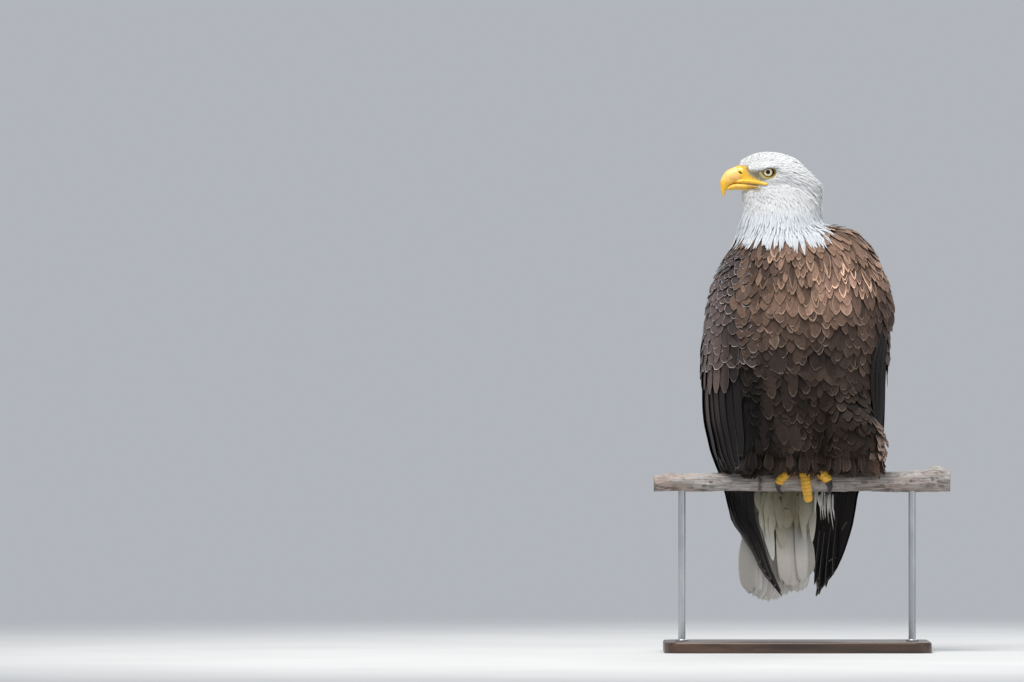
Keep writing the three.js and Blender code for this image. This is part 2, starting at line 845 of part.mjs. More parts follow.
// ---- stand ----
function plate() {
  const [w, d, h] = BASE_SIZE;
  const r = BASE_CORNER;
  const b = BASE_BEVEL;
  const x = w / 2 - b;
  const y = d / 2 - b;
  const s = new THREE.Shape();
  s.moveTo(-x + r, -y);
  s.lineTo(x - r, -y);
  s.absarc(x - r, -y + r, r, -Math.PI / 2, 0);
  s.lineTo(x, y - r);
  s.absarc(x - r, y - r, r, 0, Math.PI / 2);
  s.lineTo(-x + r, y);
  s.absarc(-x + r, y - r, r, Math.PI / 2, Math.PI);
  s.lineTo(-x, -y + r);
  s.absarc(-x + r, -y + r, r, Math.PI, 1.5 * Math.PI);
  const g = new THREE.ExtrudeGeometry(s, {
    depth: h - 2 * b,
    bevelEnabled: true,
    bevelThickness: b,
    bevelSize: b,
    bevelSegments: 1,
    curveSegments: 3,
  });
  g.translate(0, 0, b);
  return g;
}
function rod(sign) {
  const from = BASE_SIZE[2] + GAP;
  const to = PERCH_Z - 6;
  const g = new THREE.CylinderGeometry(ROD_RADIUS, ROD_RADIUS, to - from, 16);
  g.rotateX(Math.PI / 2);
  g.translate(sign * ROD_X, 0, (from + to) / 2);
  return main(solid(g).subtract(perchCut));
}

// ---- the model ----
const plumage = (color) =>
  new THREE.MeshStandardMaterial({ color, roughness: 0.85, metalness: 0 });
const MATERIALS = {
  head: plumage(0xf3f1ec),
  body: plumage(0x4b372c),
  wing: plumage(0x3a2c26),
  flight: plumage(0x231d1c),
  tail: plumage(0xe6e1d6),
  bill: new THREE.MeshStandardMaterial({ color: 0xf0a92c, roughness: 0.35, metalness: 0 }),
  foot: new THREE.MeshStandardMaterial({ color: 0xe6a41c, roughness: 0.55, metalness: 0 }),
  claw: new THREE.MeshStandardMaterial({ color: 0x17161a, roughness: 0.3, metalness: 0 }),
  eye: new THREE.MeshStandardMaterial({ color: 0xe8dca8, roughness: 0.08, metalness: 0 }),
  branch: new THREE.MeshStandardMaterial({ color: 0x9c948d, roughness: 0.8, metalness: 0 }),
  base: new THREE.MeshStandardMaterial({ color: 0x4a3427, roughness: 0.45, metalness: 0 }),
  rod: new THREE.MeshStandardMaterial({ color: 0xb9bcc0, roughness: 0.3, metalness: 1 }),
};

const model = new THREE.Group();
const bird = new THREE.Group(); // bird, branch and rods stand together over the plate
bird.position.set(0, PERCH_Y, 0);
model.add(bird);
function add(name, shape, material, parent = bird) {
  const mesh = new THREE.Mesh(
    shape.isBufferGeometry ? shape : geometryOf(shape),
    MATERIALS[material],
  );
  mesh.name = name;
  parent.add(mesh);
  return mesh;
}

add("head", headFinal, "head");
add("neck", main(neckPart), "head");
add("bill_upper", billUpperSolid, "bill");
add("bill_lower", billLowerSolid, "bill");
add("eye_left", main(eye(1, 0)), "eye");
add("eye_right", main(eye(-1, 0)), "eye");
add("trunk", trunk, "body");
add("thigh_right", thighs.right, "body");
add("thigh_left", thighs.left, "body");
for (const side of ["right", "left"]) {
  add("wing_" + side + "_coverts", wingParts[side].coverts, "wing");
  add("wing_" + side + "_secondaries", wingParts[side].secondaries, "flight");
  add("wing_" + side + "_primaries", wingParts[side].primaries, "flight");
  add("foot_" + side, feet[side], "foot");
  for (const n of names)
    add("claw_" + side + "_" + n, claws[side + "_" + n], "claw");
}
add("tail_coverts", coverts, "tail");
add("tail_feathers", tail, "tail");
add("perch_branch", perchSolid, "branch");
add("stand_rod_right", rod(-1), "rod");
add("stand_rod_left", rod(1), "rod");
add("stand_base", plate(), "base", model);

export default model;
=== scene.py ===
import math

import bpy
import numpy as np
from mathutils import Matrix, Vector
from mathutils.bvhtree import BVHTree


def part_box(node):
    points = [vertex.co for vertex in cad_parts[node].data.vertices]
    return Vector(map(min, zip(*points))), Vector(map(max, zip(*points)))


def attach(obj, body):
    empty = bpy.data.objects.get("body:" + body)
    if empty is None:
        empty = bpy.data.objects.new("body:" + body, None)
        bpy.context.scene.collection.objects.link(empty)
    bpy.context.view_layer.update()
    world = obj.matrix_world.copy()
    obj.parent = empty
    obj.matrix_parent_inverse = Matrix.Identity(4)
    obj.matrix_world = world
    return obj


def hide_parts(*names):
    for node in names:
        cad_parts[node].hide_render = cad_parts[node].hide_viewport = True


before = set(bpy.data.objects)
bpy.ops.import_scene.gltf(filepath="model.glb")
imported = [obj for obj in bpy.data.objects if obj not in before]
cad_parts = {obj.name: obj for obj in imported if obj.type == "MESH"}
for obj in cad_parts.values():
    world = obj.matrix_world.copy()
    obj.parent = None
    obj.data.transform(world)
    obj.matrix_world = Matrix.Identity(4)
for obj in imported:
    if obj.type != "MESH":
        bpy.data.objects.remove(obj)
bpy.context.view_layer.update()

# ---------------------------------------------------------------- shared sizes, mm, as in the CAD part
# Everything is worked out in the bird's own frame in millimetres; the bird stands PERCH_Y off the stand's middle.
PERCH_Y = -15.0
PERCH_Z = 280.5
BODY_TURN = 0.262
HEAD_TURN = 0.122
HEAD_AT = np.array([-28.0, -2.0, 785.0])
EYE_U, EYE_V, EYE_Z, EYE_R = 24.5, 30.5, 6.3, 11.6
DEG = math.pi / 180


def metres(p):
    return (np.asarray(p, float) + [0.0, PERCH_Y, 0.0]) / 1000.0


class Table:
    """Smooth, overshoot-free curve through the rows; column 0 is the key."""

    def __init__(self, rows):
        a = np.array(sorted(rows, key=lambda r: r[0]), float)
        self.k, self.v = a[:, 0], a[:, 1:]
        d = np.diff(self.v, axis=0) / np.diff(self.k)[:, None]
        m = np.zeros_like(self.v)
        m[0], m[-1] = d[0], d[-1]
        lo, hi = d[:-1], d[1:]
        total = np.where(lo + hi == 0, 1, lo + hi)
        m[1:-1] = np.where(lo * hi <= 0, 0, 2 * lo * hi / total)
        self.m = m

    def __call__(self, t):
        q = np.clip(np.asarray(t, float), self.k[0], self.k[-1])
        i = np.clip(np.searchsorted(self.k, q, side="right") - 1, 0, len(self.k) - 2)
        h = self.k[i + 1] - self.k[i]
        s = ((q - self.k[i]) / h)[..., None]
        h = h[..., None]
        return (
            self.v[i] * (1 + s * s * (2 * s - 3))
            + self.m[i] * h * s * (1 - s) ** 2
            + self.v[i + 1] * s * s * (3 - 2 * s)
            - self.m[i + 1] * h * s * s * (1 - s)
        )


def power(v, n):
    return np.sign(v) * np.abs(v) ** (2 / n)


def bell(x, w):
    return np.exp(-((x / w) ** 2))


def step(a, b, x):
    t = np.clip((np.asarray(x, float) - a) / (b - a), 0, 1)
    return t * t * (3 - 2 * t)


def unit(v):
    return v / np.maximum(np.linalg.norm(v, axis=-1, keepdims=True), 1e-9)


def noise(p, scale, seed=0):
    """Smooth value noise from 0 to 1."""
    q = np.asarray(p, float) / scale + 1000.0
    i = np.floor(q).astype(np.int64)
    f = q - i
    f = f * f * (3 - 2 * f)

    def at(dx, dy, dz):
        n = ((i[..., 0] + dx) * 374761393 + (i[..., 1] + dy) * 668265263 + (i[..., 2] + dz) * 1442695041 + seed * 97531) & 0xFFFFFFFF
        n = ((n ^ (n >> 13)) * 1274126177) & 0xFFFFFFFF
        n = ((n ^ (n >> 15)) * 2246822519) & 0xFFFFFFFF
        return ((n ^ (n >> 16)) & 0xFFFFFF) / 0xFFFFFF

    x, y, z = f[..., 0], f[..., 1], f[..., 2]
    low = (at(0, 0, 0) * (1 - x) + at(1, 0, 0) * x) * (1 - y) + (at(0, 1, 0) * (1 - x) + at(1, 1, 0) * x) * y
    top = (at(0, 0, 1) * (1 - x) + at(1, 0, 1) * x) * (1 - y) + (at(0, 1, 1) * (1 - x) + at(1, 1, 1) * x) * y
    return low * (1 - z) + top * z


def turned(x, y, z):
    c, s = math.cos(BODY_TURN), math.sin(BODY_TURN)
    x, y, z = np.broadcast_arrays(x, y, z)
    return np.stack([x * c - y * s, x * s + y * c, z], -1)


def unturned(p):
    c, s = math.cos(BODY_TURN), math.sin(BODY_TURN)
    return np.stack([p[..., 0] * c + p[..., 1] * s, -p[..., 0] * s + p[..., 1] * c, p[..., 2]], -1)


def head_point(u, v, z):
    c, s = math.cos(HEAD_TURN), math.sin(HEAD_TURN)
    u, v, z = np.broadcast_arrays(np.asarray(u, float), v, z)
    return np.stack([HEAD_AT[0] - u * c + v * s, HEAD_AT[1] - u * s - v * c, HEAD_AT[2] + z], -1)


def head_local(p):
    c, s = math.cos(HEAD_TURN), math.sin(HEAD_TURN)
    d = np.asarray(p, float) - HEAD_AT
    return -(d[..., 0] * c + d[..., 1] * s), d[..., 0] * s - d[..., 1] * c, d[..., 2]


HEAD_FORWARD = np.array([-math.cos(HEAD_TURN), -math.sin(HEAD_TURN), 0.0])
HEAD_SIDE = np.array([math.sin(HEAD_TURN), -math.cos(HEAD_TURN), 0.0])

HULL = Table([
    [258, 105, 20, 92, 52, 11], [275, 113, -2, 98, 44, 8], [300, 124, -30, 105, 34, 6], [340, 140, -58, 111, 22, 5],
    [400, 149, -84, 117, 15, 0], [460, 151, -99, 121, 10, -1], [520, 152, -107, 122, 8, 2], [560, 153, -110, 119, 6, 6],
    [600, 147, -109, 113, 3, 7], [640, 129, -102, 101, 0, 6], [665, 115, -91, 87, -2, 8], [685, 101, -77, 71, -3, 7],
    [698, 88, -60, 55, -3, 7], [705, 54, -36, 34, 0, 7],
])


def hull(phi, z, grow=0.0, narrow=0.0):
    """Point of the trunk's outline: phi is 0 in front and grows to the bird's left."""
    phi, z = np.broadcast_arrays(np.asarray(phi, float), np.asarray(z, float))
    a, front, back, mid, shift = np.moveaxis(HULL(z), -1, 0)
    s, c = np.sin(phi), np.cos(phi)
    n = np.where(c >= 0, 2.3, 2.5)
    x = (a + grow - narrow) * power(s, n)
    y = np.where(c >= 0, mid - (mid - front + grow) * power(np.maximum(c, 0), n), mid + (back - mid + grow) * power(np.maximum(-c, 0), n))
    return turned(x, y, z) + np.stack([shift, 0 * z, 0 * z], -1)


def hull_angle(p):
    """The angle phi at which a point lies on the trunk's outline, in radians."""
    a, front, back, mid, shift = np.moveaxis(HULL(p[..., 2]), -1, 0)
    q = unturned(np.stack([p[..., 0] - shift, p[..., 1], p[..., 2]], -1))
    x = q[..., 0] / a
    y = np.where(q[..., 1] < mid, (mid - q[..., 1]) / (mid - front), (mid - q[..., 1]) / (back - mid))
    return np.arctan2(power(x, 2 / 1.15) , power(y, 2 / 1.2))


BELLY = Table([[300, 44], [307, 38], [315, 27], [345, 12], [400, 0]])
THIGHS = {
    "right": Table([
        [301, 3, -8, 26, 20], [306, 1, -13, 36, 30], [318, -4, -21, 44, 40], [345, -12, -32, 50, 48],
        [380, -22, -42, 48, 48], [408, -30, -48, 36, 36], [424, -34, -50, 14, 15],
    ]),
    "left": Table([
        [306, 90, -11, 38, 24], [311, 91, -16, 46, 34], [320, 92, -20, 49.5, 43], [345, 92, -28, 51, 52],
        [380, 86, -36, 47, 52], [408, 80, -40, 36, 39], [424, 76, -42, 14, 16],
    ]),
}
RUMP = Table([
    [176, -9, 103, 46, 3], [184, -9, 101.5, 54, 6], [200, -9, 97, 59, 11], [230, -8, 87, 61, 18],
    [262, -6, 77, 63, 27], [300, -3, 68, 68, 35], [334, 0, 62, 66, 34], [346, 0, 60, 40, 20],
])
NECK = Table([
    [648, -12, -6, 84, 78], [664, -15, -4, 92, 88], [680, -20, -3, 84, 80], [700, -25, -3, 73, 68], [712, -26, -3, 69, 61],
    [726, -25, -3, 65.5, 55], [746, -25, -3, 66, 50], [760, -27, -2, 65, 47], [770, -27, -2, 59, 43], [780, -24, -2, 46, 35],
])
HEAD = Table([
    [-70, -17, -36, 12], [-64, -9, -38, 24], [-56, -1, -40, 33], [-43, 12.5, -41, 40], [-26, 28.5, -40, 44], [-8, 36, -38, 45.5],
    [10, 39.6, -34, 44.5], [28, 40.2, -30, 41], [44, 36.6, -28, 34], [54, 32.5, -27, 27], [62, 28.5, -26.5, 19], [68, 24, -26, 11],
])
WING_ARC = {
    "right": Table([
        [300, 35, 154], [330, 34, 164], [380, 33, 170], [440, 35, 171], [500, 40, 169], [560, 46, 165], [620, 53, 159],
        [660, 62, 150], [684, 80, 138], [694, 96, 122],
    ]),
    "left": Table([
        [300, 72, 154], [330, 72, 164], [380, 71, 170], [440, 70, 171], [500, 68, 169], [560, 64, 165], [620, 61, 159],
        [660, 66, 150], [684, 80, 138], [694, 96, 122],
    ]),
}
WING_SIGN = {"right": -1, "left": 1}
WING_BLADE = {
    "right": [
        [264, [-67, 26], [-115, 58], [-100, 98]], [236, [-66, 36], [-108, 60], [-98, 90]],
        [214, [-64, 44], [-101, 60], [-96, 84]], [190, [-60, 52], [-84, 62], [-86, 78]],
        [165, [-55, 58], [-70, 64], [-76, 75]], [140, [-46, 63], [-58, 67], [-62, 75]],
        [115, [-35, 68], [-42, 70], [-45, 75]], [98, [-26, 71], [-28, 72], [-31, 75]], [90, [-22.5, 72], [-24, 73], [-25.5, 74.5]],
    ],
    "left": [
        [264, [105, 46], [80, 100], [20, 129]], [236, [100, 60], [74, 108], [20, 131]], [209, [95, 73], [68, 113], [20, 132]],
        [185, [88, 83], [63, 117], [20, 132]], [163, [81, 91], [58, 120], [20, 132]], [130, [66, 104], [50, 124], [22, 132]],
        [109, [50, 116], [42, 127], [27, 132]], [88, [35, 126], [34, 129], [33, 132]],
    ],
}
WING_DEPTH = Table([[90, 2.2], [200, 4.5], [264, 8], [330, 12.5], [420, 15], [640, 15], [675, 10], [694, 5]])


class Wing:
    """The wing's outer face over the share across it (0 front edge, 1 back edge) and the height."""

    def __init__(self, side):
        self.side, self.sign = side, WING_SIGN[side]
        self.low = WING_BLADE[side][-1][0]
        self.vs = np.linspace(0, 1, 25)
        self.zs = np.arange(self.low, 694.1, 3.0)
        out = []
        for v in self.vs:
            rows = []
            for z, f, m, b in WING_BLADE[side]:
                rows.append([z] + [f[k] * (1 - v) * (1 - 2 * v) + m[k] * 4 * v * (1 - v) + b[k] * v * (2 * v - 1) for k in (0, 1)])
            for z in [310, 330, 350, 380, 410, 440, 480, 520, 560, 600, 630, 660, 684, 694]:
                a, b = WING_ARC[side](z)
                p = hull(self.sign * (a + (b - a) * v) * DEG, z, 3)
                rows.append([z, p[0], p[1]])
            out.append(Table(rows)(self.zs))
        self.grid = np.array(out)  # v, z, xy

    def point(self, v, z):
        v, z = np.broadcast_arrays(np.asarray(v, float), np.asarray(z, float))
        gv = v * (len(self.vs) - 1)
        gz = (z - self.zs[0]) / 3.0
        i = np.clip(np.floor(gv).astype(int), 0, len(self.vs) - 2)
        j = np.clip(np.floor(gz).astype(int), 0, len(self.zs) - 2)
        a, b = (gv - i)[..., None], (gz - j)[..., None]
        g = self.grid
        xy = (g[i, j] * (1 - a) + g[i + 1, j] * a) * (1 - b) + (g[i, j + 1] * (1 - a) + g[i + 1, j + 1] * a) * b
        return np.concatenate([xy, z[..., None]], -1)

    def across(self, v, z):
        """Step along the surface for a unit change of v."""
        e = 0.03
        return (self.point(np.minimum(v + e, 1), z) - self.point(np.maximum(v - e, 0), z)) / (
            np.minimum(v + e, 1) - np.maximum(v - e, 0))[..., None]

    def frame_at(self, v, z):
        v, z = np.broadcast_arrays(np.asarray(v, float), np.asarray(z, float))
        a = self.across(v, z)
        up = self.point(v, np.minimum(z + 5, 694)) - self.point(v, np.maximum(z - 5, self.low))
        n = np.cross(up, a) if self.sign < 0 else np.cross(a, up)
        # outwards is away from the trunk's axis
        n = unit(n)
        return a, unit(up), n


WINGS = {s: Wing(s) for s in ("right", "left")}

# ---------------------------------------------------------------- mesh tools


def make(name, verts, faces, smooth=True, in_mm=True):
    """A mesh object from vertex rows and one or more arrays of faces that each have one count of corners."""
    me = bpy.data.meshes.new(name)
    co = metres(verts) if in_mm else np.asarray(verts, float)
    me.vertices.add(len(co))
    me.vertices.foreach_set("co", co.astype(np.float32).ravel())
    faces = [np.asarray(f, np.int32) for f in faces if len(f)]
    loops = np.concatenate([f.ravel() for f in faces])
    sizes = np.concatenate([np.full(len(f), f.shape[1]) for f in faces])
    me.loops.add(len(loops))
    me.loops.foreach_set("vertex_index", loops)
    me.polygons.add(len(sizes))
    me.polygons.foreach_set("loop_start", np.concatenate([[0], np.cumsum(sizes)[:-1]]).astype(np.int32))
    me.update(calc_edges=True)
    me.validate()
    me.polygons.foreach_set("use_smooth", np.full(len(me.polygons), smooth))
    ob = bpy.data.objects.new(name, me)
    bpy.context.scene.collection.objects.link(ob)
    return ob


def loft(rings):
    """Closed skin over rings of points: vertices, quads and the two end fans."""
    rings = np.asarray(rings, float)
    r, n, _ = rings.shape
    i, j = np.meshgrid(np.arange(r - 1), np.arange(n), indexing="ij")
    a, b = i * n + j, i * n + (j + 1) % n
    quads = np.stack([a, b, b + n, a + n], -1).reshape(-1, 4)
    verts = np.concatenate([rings.reshape(-1, 3), rings[0].mean(0)[None], rings[-1].mean(0)[None]])
    j = np.arange(n)
    first = np.stack([np.full(n, r * n), (j + 1) % n, j], -1)
    last = np.stack([np.full(n, r * n + 1), (r - 1) * n + j, (r - 1) * n + (j + 1) % n], -1)
    return verts, quads, np.concatenate([first, last])


def joined(parts):
    verts, quads, tris, at = [], [], [], 0
    for v, q, t in parts:
        verts.append(v)
        quads.append(q + at)
        tris.append(t + at)
        at += len(v)
    return np.concatenate(verts), np.concatenate(quads), np.concatenate(tris)


def curve(points, n, closed_ends=True):
    """n points and tangents along a centripetal-like smooth curve through the points."""
    p = np.asarray(points, float)
    if len(p) == 2:
        p = np.array([p[0], (p[0] + p[1]) / 2, p[1]])
    k = np.concatenate([[0], np.cumsum(np.sqrt(np.linalg.norm(np.diff(p, axis=0), axis=1)))])
    k /= k[-1]
    m = np.zeros_like(p)
    for i in range(len(p)):
        if i == 0:
            m[i] = (p[1] - p[0]) / (k[1] - k[0])
        elif i == len(p) - 1:
            m[i] = (p[-1] - p[-2]) / (k[-1] - k[-2])
        else:
            a = (p[i] - p[i - 1]) / (k[i] - k[i - 1])
            b = (p[i + 1] - p[i]) / (k[i + 1] - k[i])
            w = (k[i] - k[i - 1]) / (k[i + 1] - k[i - 1])
            m[i] = a * (1 - w) + b * w
    t = np.linspace(0, 1, n)
    i = np.clip(np.searchsorted(k, t, side="right") - 1, 0, len(p) - 2)
    h = k[i + 1] - k[i]
    s = ((t - k[i]) / h)[:, None]
    h = h[:, None]
    q = p[i] * (1 + s * s * (2 * s - 3)) + m[i] * h * s * (1 - s) ** 2 + p[i + 1] * s * s * (3 - 2 * s) - m[i + 1] * h * s * s * (1 - s)
    d = np.gradient(q, axis=0)
    return q, unit(d)


def tube(points, radius, steps, sides, up=(1, 0, 0.01), shape=None):
    """Rings along a curve. radius(t) gives the half width; shape(t, w) a factor round the ring."""
    q, d = curve(points, steps)
    t = np.linspace(0, 1, steps)
    a = unit(np.cross(d, np.asarray(up, float)))
    b = unit(np.cross(a, d))
    w = 2 * np.pi * np.arange(sides) / sides
    r = radius(t)[:, None] * np.ones(sides)
    if shape is not None:
        r = r * shape(t[:, None], w[None, :])
    return q[:, None] + a[:, None] * (r * np.cos(w))[..., None] + b[:, None] * (r * np.sin(w))[..., None]


def read_mesh(me):
    co = np.empty(len(me.vertices) * 3, np.float32)
    me.vertices.foreach_get("co", co)
    return co.reshape(-1, 3).astype(float)


def remeshed(parts, size, name="work"):
    """The outer skin of overlapping closed parts, as vertices in mm and quads."""
    v, q, t = joined(parts)
    ob = make(name, v, [q, t])
    mod = ob.modifiers.new("union", "REMESH")
    mod.mode = "VOXEL"
    mod.voxel_size = size / 1000
    mod.adaptivity = 0
    dg = bpy.context.evaluated_depsgraph_get()
    me = bpy.data.meshes.new_from_object(ob.evaluated_get(dg))
    co = read_mesh(me) * 1000 - [0, PERCH_Y, 0]
    sizes = np.empty(len(me.polygons), np.int32)
    me.polygons.foreach_get("loop_total", sizes)
    idx = np.empty(len(me.loops), np.int32)
    me.loops.foreach_get("vertex_index", idx)
    assert (sizes == 4).all()
    old = ob.data
    bpy.data.objects.remove(ob)
    bpy.data.meshes.remove(old)
    bpy.data.meshes.remove(me)
    return co, idx.reshape(-1, 4)


def edges_of(faces):
    n = faces.shape[1]
    e = np.concatenate([np.stack([faces[:, i], faces[:, (i + 1) % n]], -1) for i in range(n)])
    return np.unique(np.sort(e, axis=1), axis=0)


def blurred(values, edges, rounds, keep=None):
    """Values at vertices averaged with their neighbours."""
    values = np.array(values, float)
    flat = values.ndim == 1
    if flat:
        values = values[:, None]
    n = len(values)
    count = np.bincount(edges.ravel(), minlength=n).astype(float)
    count = np.maximum(count, 1)[:, None]
    for _ in range(rounds):
        total = np.stack([
            np.bincount(edges[:, 0], values[edges[:, 1], c], n) + np.bincount(edges[:, 1], values[edges[:, 0], c], n)
            for c in range(values.shape[1])], -1)
        new = 0.5 * values + 0.5 * total / count
        values = new if keep is None else values * keep[:, None] + new * (1 - keep[:, None])
    return values[:, 0] if flat else values


def normals_of(verts, faces):
    a = verts[faces[:, 0]]
    if faces.shape[1] == 4:
        n = np.cross(verts[faces[:, 2]] - a, verts[faces[:, 3]] - verts[faces[:, 1]])
    else:
        n = np.cross(verts[faces[:, 1]] - a, verts[faces[:, 2]] - a)
    out = np.zeros_like(verts)
    for k in range(faces.shape[1]):
        for c in range(3):
            out[:, c] += np.bincount(faces[:, k], n[:, c], len(verts))
    return unit(out), unit(n)

# ---------------------------------------------------------------- the outline of the plumage, and the skin inside it


def head_rings():
    us = np.linspace(-70, 68, 56)
    w = 2 * np.pi * np.arange(64) / 64
    rings = []
    for u in us:
        top, low, half = HEAD(u)
        z = (top + low) / 2 + (top - low) / 2 * power(np.cos(w), 2.25)
        brow = 3.6 * bell(u - 33, 20) * bell(z - 13.5, 5)
        lore = -8.5 * bell(u - 46, 13) * bell(z + 1, 9)
        side = np.sin(w)
        v = half * power(side, 2.25) + np.sign(side) * (brow + lore) * np.abs(side) ** 0.6
        rings.append(head_point(np.full(64, u), v, z))
    return np.array(rings)


def level_rings(table, levels, sides, turn=False, n=2.0, narrow=0.0):
    w = 2 * np.pi * np.arange(sides) / sides
    rings = []
    for z in levels:
        x, y, a, b = table(z)
        px, py = x + (a - narrow) * power(np.cos(w), n), y + (b - narrow) * power(np.sin(w), n)
        rings.append(turned(px, py, z) if turn else np.stack([px, py, np.full(sides, z)], -1))
    return np.array(rings)


def trunk_rings():
    levels = np.concatenate([[307, 309, 312], np.arange(316, 700, 6.0), [700, 703, 704.5]])
    w = 2 * np.pi * np.arange(110) / 110
    return np.array([hull(w, z, 0, BELLY(z)[0]) for z in levels])


def wing_rings(side, low=296.0):
    wing = WINGS[side]
    rings = []
    v = np.linspace(0, 1, 33)
    for z in np.concatenate([np.arange(low, 688, 6.0), [688, 690]]):
        depth = WING_DEPTH(z)[0] * np.minimum(1, 0.28 + 3.2 * v * (1 - v))
        outer = wing.point(v, z)
        _, _, n = wing.frame_at(v, z)
        n[:, 2] = 0
        n = unit(n)
        inner = outer - n * depth[:, None]
        rings.append(np.concatenate([outer, inner[::-1]]))
    return np.array(rings)


PARTS = [
    loft(head_rings()),
    loft(level_rings(NECK, np.arange(648, 781, 4.0), 72)),
    loft(trunk_rings()),
    loft(level_rings(THIGHS["right"], np.concatenate([[301, 302.5], np.arange(305, 425, 5.0), [424]]), 48)),
    loft(level_rings(THIGHS["left"], np.concatenate([[306, 307.5], np.arange(310, 424, 5.0), [424]]), 48)),
    loft(level_rings(RUMP, np.concatenate([[176, 178], np.arange(182, 346, 6.0), [346]]), 64, turn=True, n=2.4)),
    loft(wing_rings("right")),
    loft(wing_rings("left")),
]
OUT, OUT_F = remeshed(PARTS, 3.0)
OUT_E = edges_of(OUT_F)


def smooth_shape(v, edges, rounds, keep=None):
    """Smooths a surface and gives back most of what it shrinks."""
    for _ in range(rounds):
        v = blurred(v, edges, 1, keep)
        v = v + (v - blurred(v, edges, 1, keep)) * 0.92
    return v


OUT = smooth_shape(OUT, OUT_E, 14)


def refine(v, f, inside):
    """Splits the faces that inside() picks into four; the faces beside them stay whole but share the new corners."""
    centre = v[f].mean(1)
    pick = inside(centre)
    sel = f[pick]
    e = np.stack([sel, np.roll(sel, -1, 1)], -1).reshape(-1, 2)
    key = np.sort(e, axis=1)
    ue, inv = np.unique(key, axis=0, return_inverse=True)
    inv = inv.reshape(-1)
    mid = v[ue].mean(1)
    at = len(v)
    cen = v[sel].mean(1)
    new_v = np.concatenate([v, mid, cen])
    m = at + inv.reshape(-1, 4)
    c = at + len(ue) + np.arange(len(sel))
    quads = np.concatenate([
        np.stack([sel[:, k], m[:, k], c, m[:, k - 1]], -1) for k in range(4)])
    # neighbours with a split edge become fans of triangles
    rest = f[~pick]
    lookup = {(int(a), int(b)): at + i for i, (a, b) in enumerate(ue)}
    whole, tris = [], []
    touched = np.isin(rest, ue).sum(1) >= 2
    for face in rest[touched]:
        ring = []
        for k in range(4):
            a, b = int(face[k]), int(face[(k + 1) % 4])
            ring.append(a)
            hit = lookup.get((min(a, b), max(a, b)))
            if hit is not None:
                ring.append(hit)
        if len(ring) == 4:
            whole.append(ring)
        else:
            start = next(k for k in range(len(ring)) if ring[k] >= at)
            ring = ring[start:] + ring[:start]
            for k in range(1, len(ring) - 1):
                tris.append([ring[0], ring[k], ring[k + 1]])
    quads = np.concatenate([rest[~touched], np.array(whole, int).reshape(-1, 4), quads])
    return new_v, quads, np.array(tris, int).reshape(-1, 3)


def near_face(p, grow=0.0):
    u, v, z = head_local(p)
    return (u > -2 - grow) & (u < 76) & (z > -32 - grow) & (z < 40 + grow)


def both_edges(q, t):
    parts = [edges_of(q)]
    if len(t):
        parts.append(edges_of(t))
    return np.unique(np.concatenate(parts), axis=0)


OUT, OUT_F, OUT_T = refine(OUT, OUT_F, lambda c: near_face(c, 6))
OUT, more, extra = refine(OUT, OUT_F, lambda c: near_face(c, -3) & (np.abs(head_local(c)[1]) > 9) & (head_local(c)[2] < 30))
OUT_F, OUT_T = more, np.concatenate([OUT_T, extra])
OUT_E = both_edges(OUT_F, OUT_T)
face_part = near_face(OUT, 8).astype(float)
OUT = blurred(OUT, OUT_E, 2, 1 - face_part)
# the thigh runs on from the flank without a step
OUT = blurred(OUT, OUT_E, 70, 1 - np.clip(1.3 * bell(OUT[:, 0] - 96, 46) * bell(OUT[:, 2] - 412, 30), 0, 1) * (1 - step(0, 30, OUT[:, 1])))

BROW_LINE = Table([[2, 8.6], [8, 10.8], [14.5, 12.9], [20, 13.5], [26, 13.2], [31, 11.8], [36, 10.2], [43, 8.6], [48, 8.2], [54, 9.6], [60, 12.8], [66, 16]])


def sculpt(p):
    """The brow's overhang, the hollow of the lore and the seat of each eye, in the head's own frame."""
    u, v, z = head_local(p)
    side = np.sign(v)
    reach = step(12, 24, np.abs(v))
    line = BROW_LINE(u)[..., 0]
    t = z - line
    along = step(3, 16, u) * (1 - step(50, 64, u))
    shelf = step(-1.6, 1.4, t) * np.exp(-(np.maximum(t - 1.5, 0) / 8.5) ** 2)
    out = 3.8 * shelf * along * reach
    below = -1.6 * bell(t + 4.0, 3.2) * step(24, 36, u) * (1 - step(54, 64, u)) * reach
    rho = np.sqrt(((u - EYE_U) / 12.8) ** 2 + ((z - EYE_Z + 0.6) / 10.4) ** 2)
    seat = -7.0 * (1 - step(0.66, 1.0, rho)) * reach * (1 - step(-1.4, 0.6, t))
    cheek = 1.0 * bell(u - 22, 14) * bell(z + 12, 6) * reach
    shift = side * (out + below + cheek + seat)
    return p + shift[..., None] * HEAD_SIDE


OUT = sculpt(OUT)
OUT = blurred(OUT, OUT_E, 1, 1 - face_part * 0.6)
OUT_N, _ = normals_of(OUT, OUT_F)


def white_line(p):
    """Height of the points of the white feathers, round the neck."""
    a = np.arctan2(p[..., 0] + 20, -(p[..., 1] + 3)) / DEG
    return np.interp(a, [-180, -135, -100, -70, -40, 0, 20, 45, 62, 80, 110, 150, 180], [684, 680, 673, 669, 666, 663, 658, 668, 687, 704, 704, 692, 684])


def masks(p):
    """Soft shares of a place: head frame, white of the head, white of the rump."""
    u, v, z = head_local(p)
    white = step(6, 30, p[..., 2] - white_line(p))
    q = unturned(p)
    x0, y0, a, b = np.moveaxis(RUMP(p[..., 2]), -1, 0)
    near = 1 - step(1.12, 1.3, np.sqrt(((q[..., 0] - x0) / (a + 4)) ** 2 + ((q[..., 1] - y0) / (b + 6)) ** 2))
    rump = (1 - step(300, 314, p[..., 2] - 16 * step(85, 100, p[..., 1]))) * near
    return u, v, z, white, rump


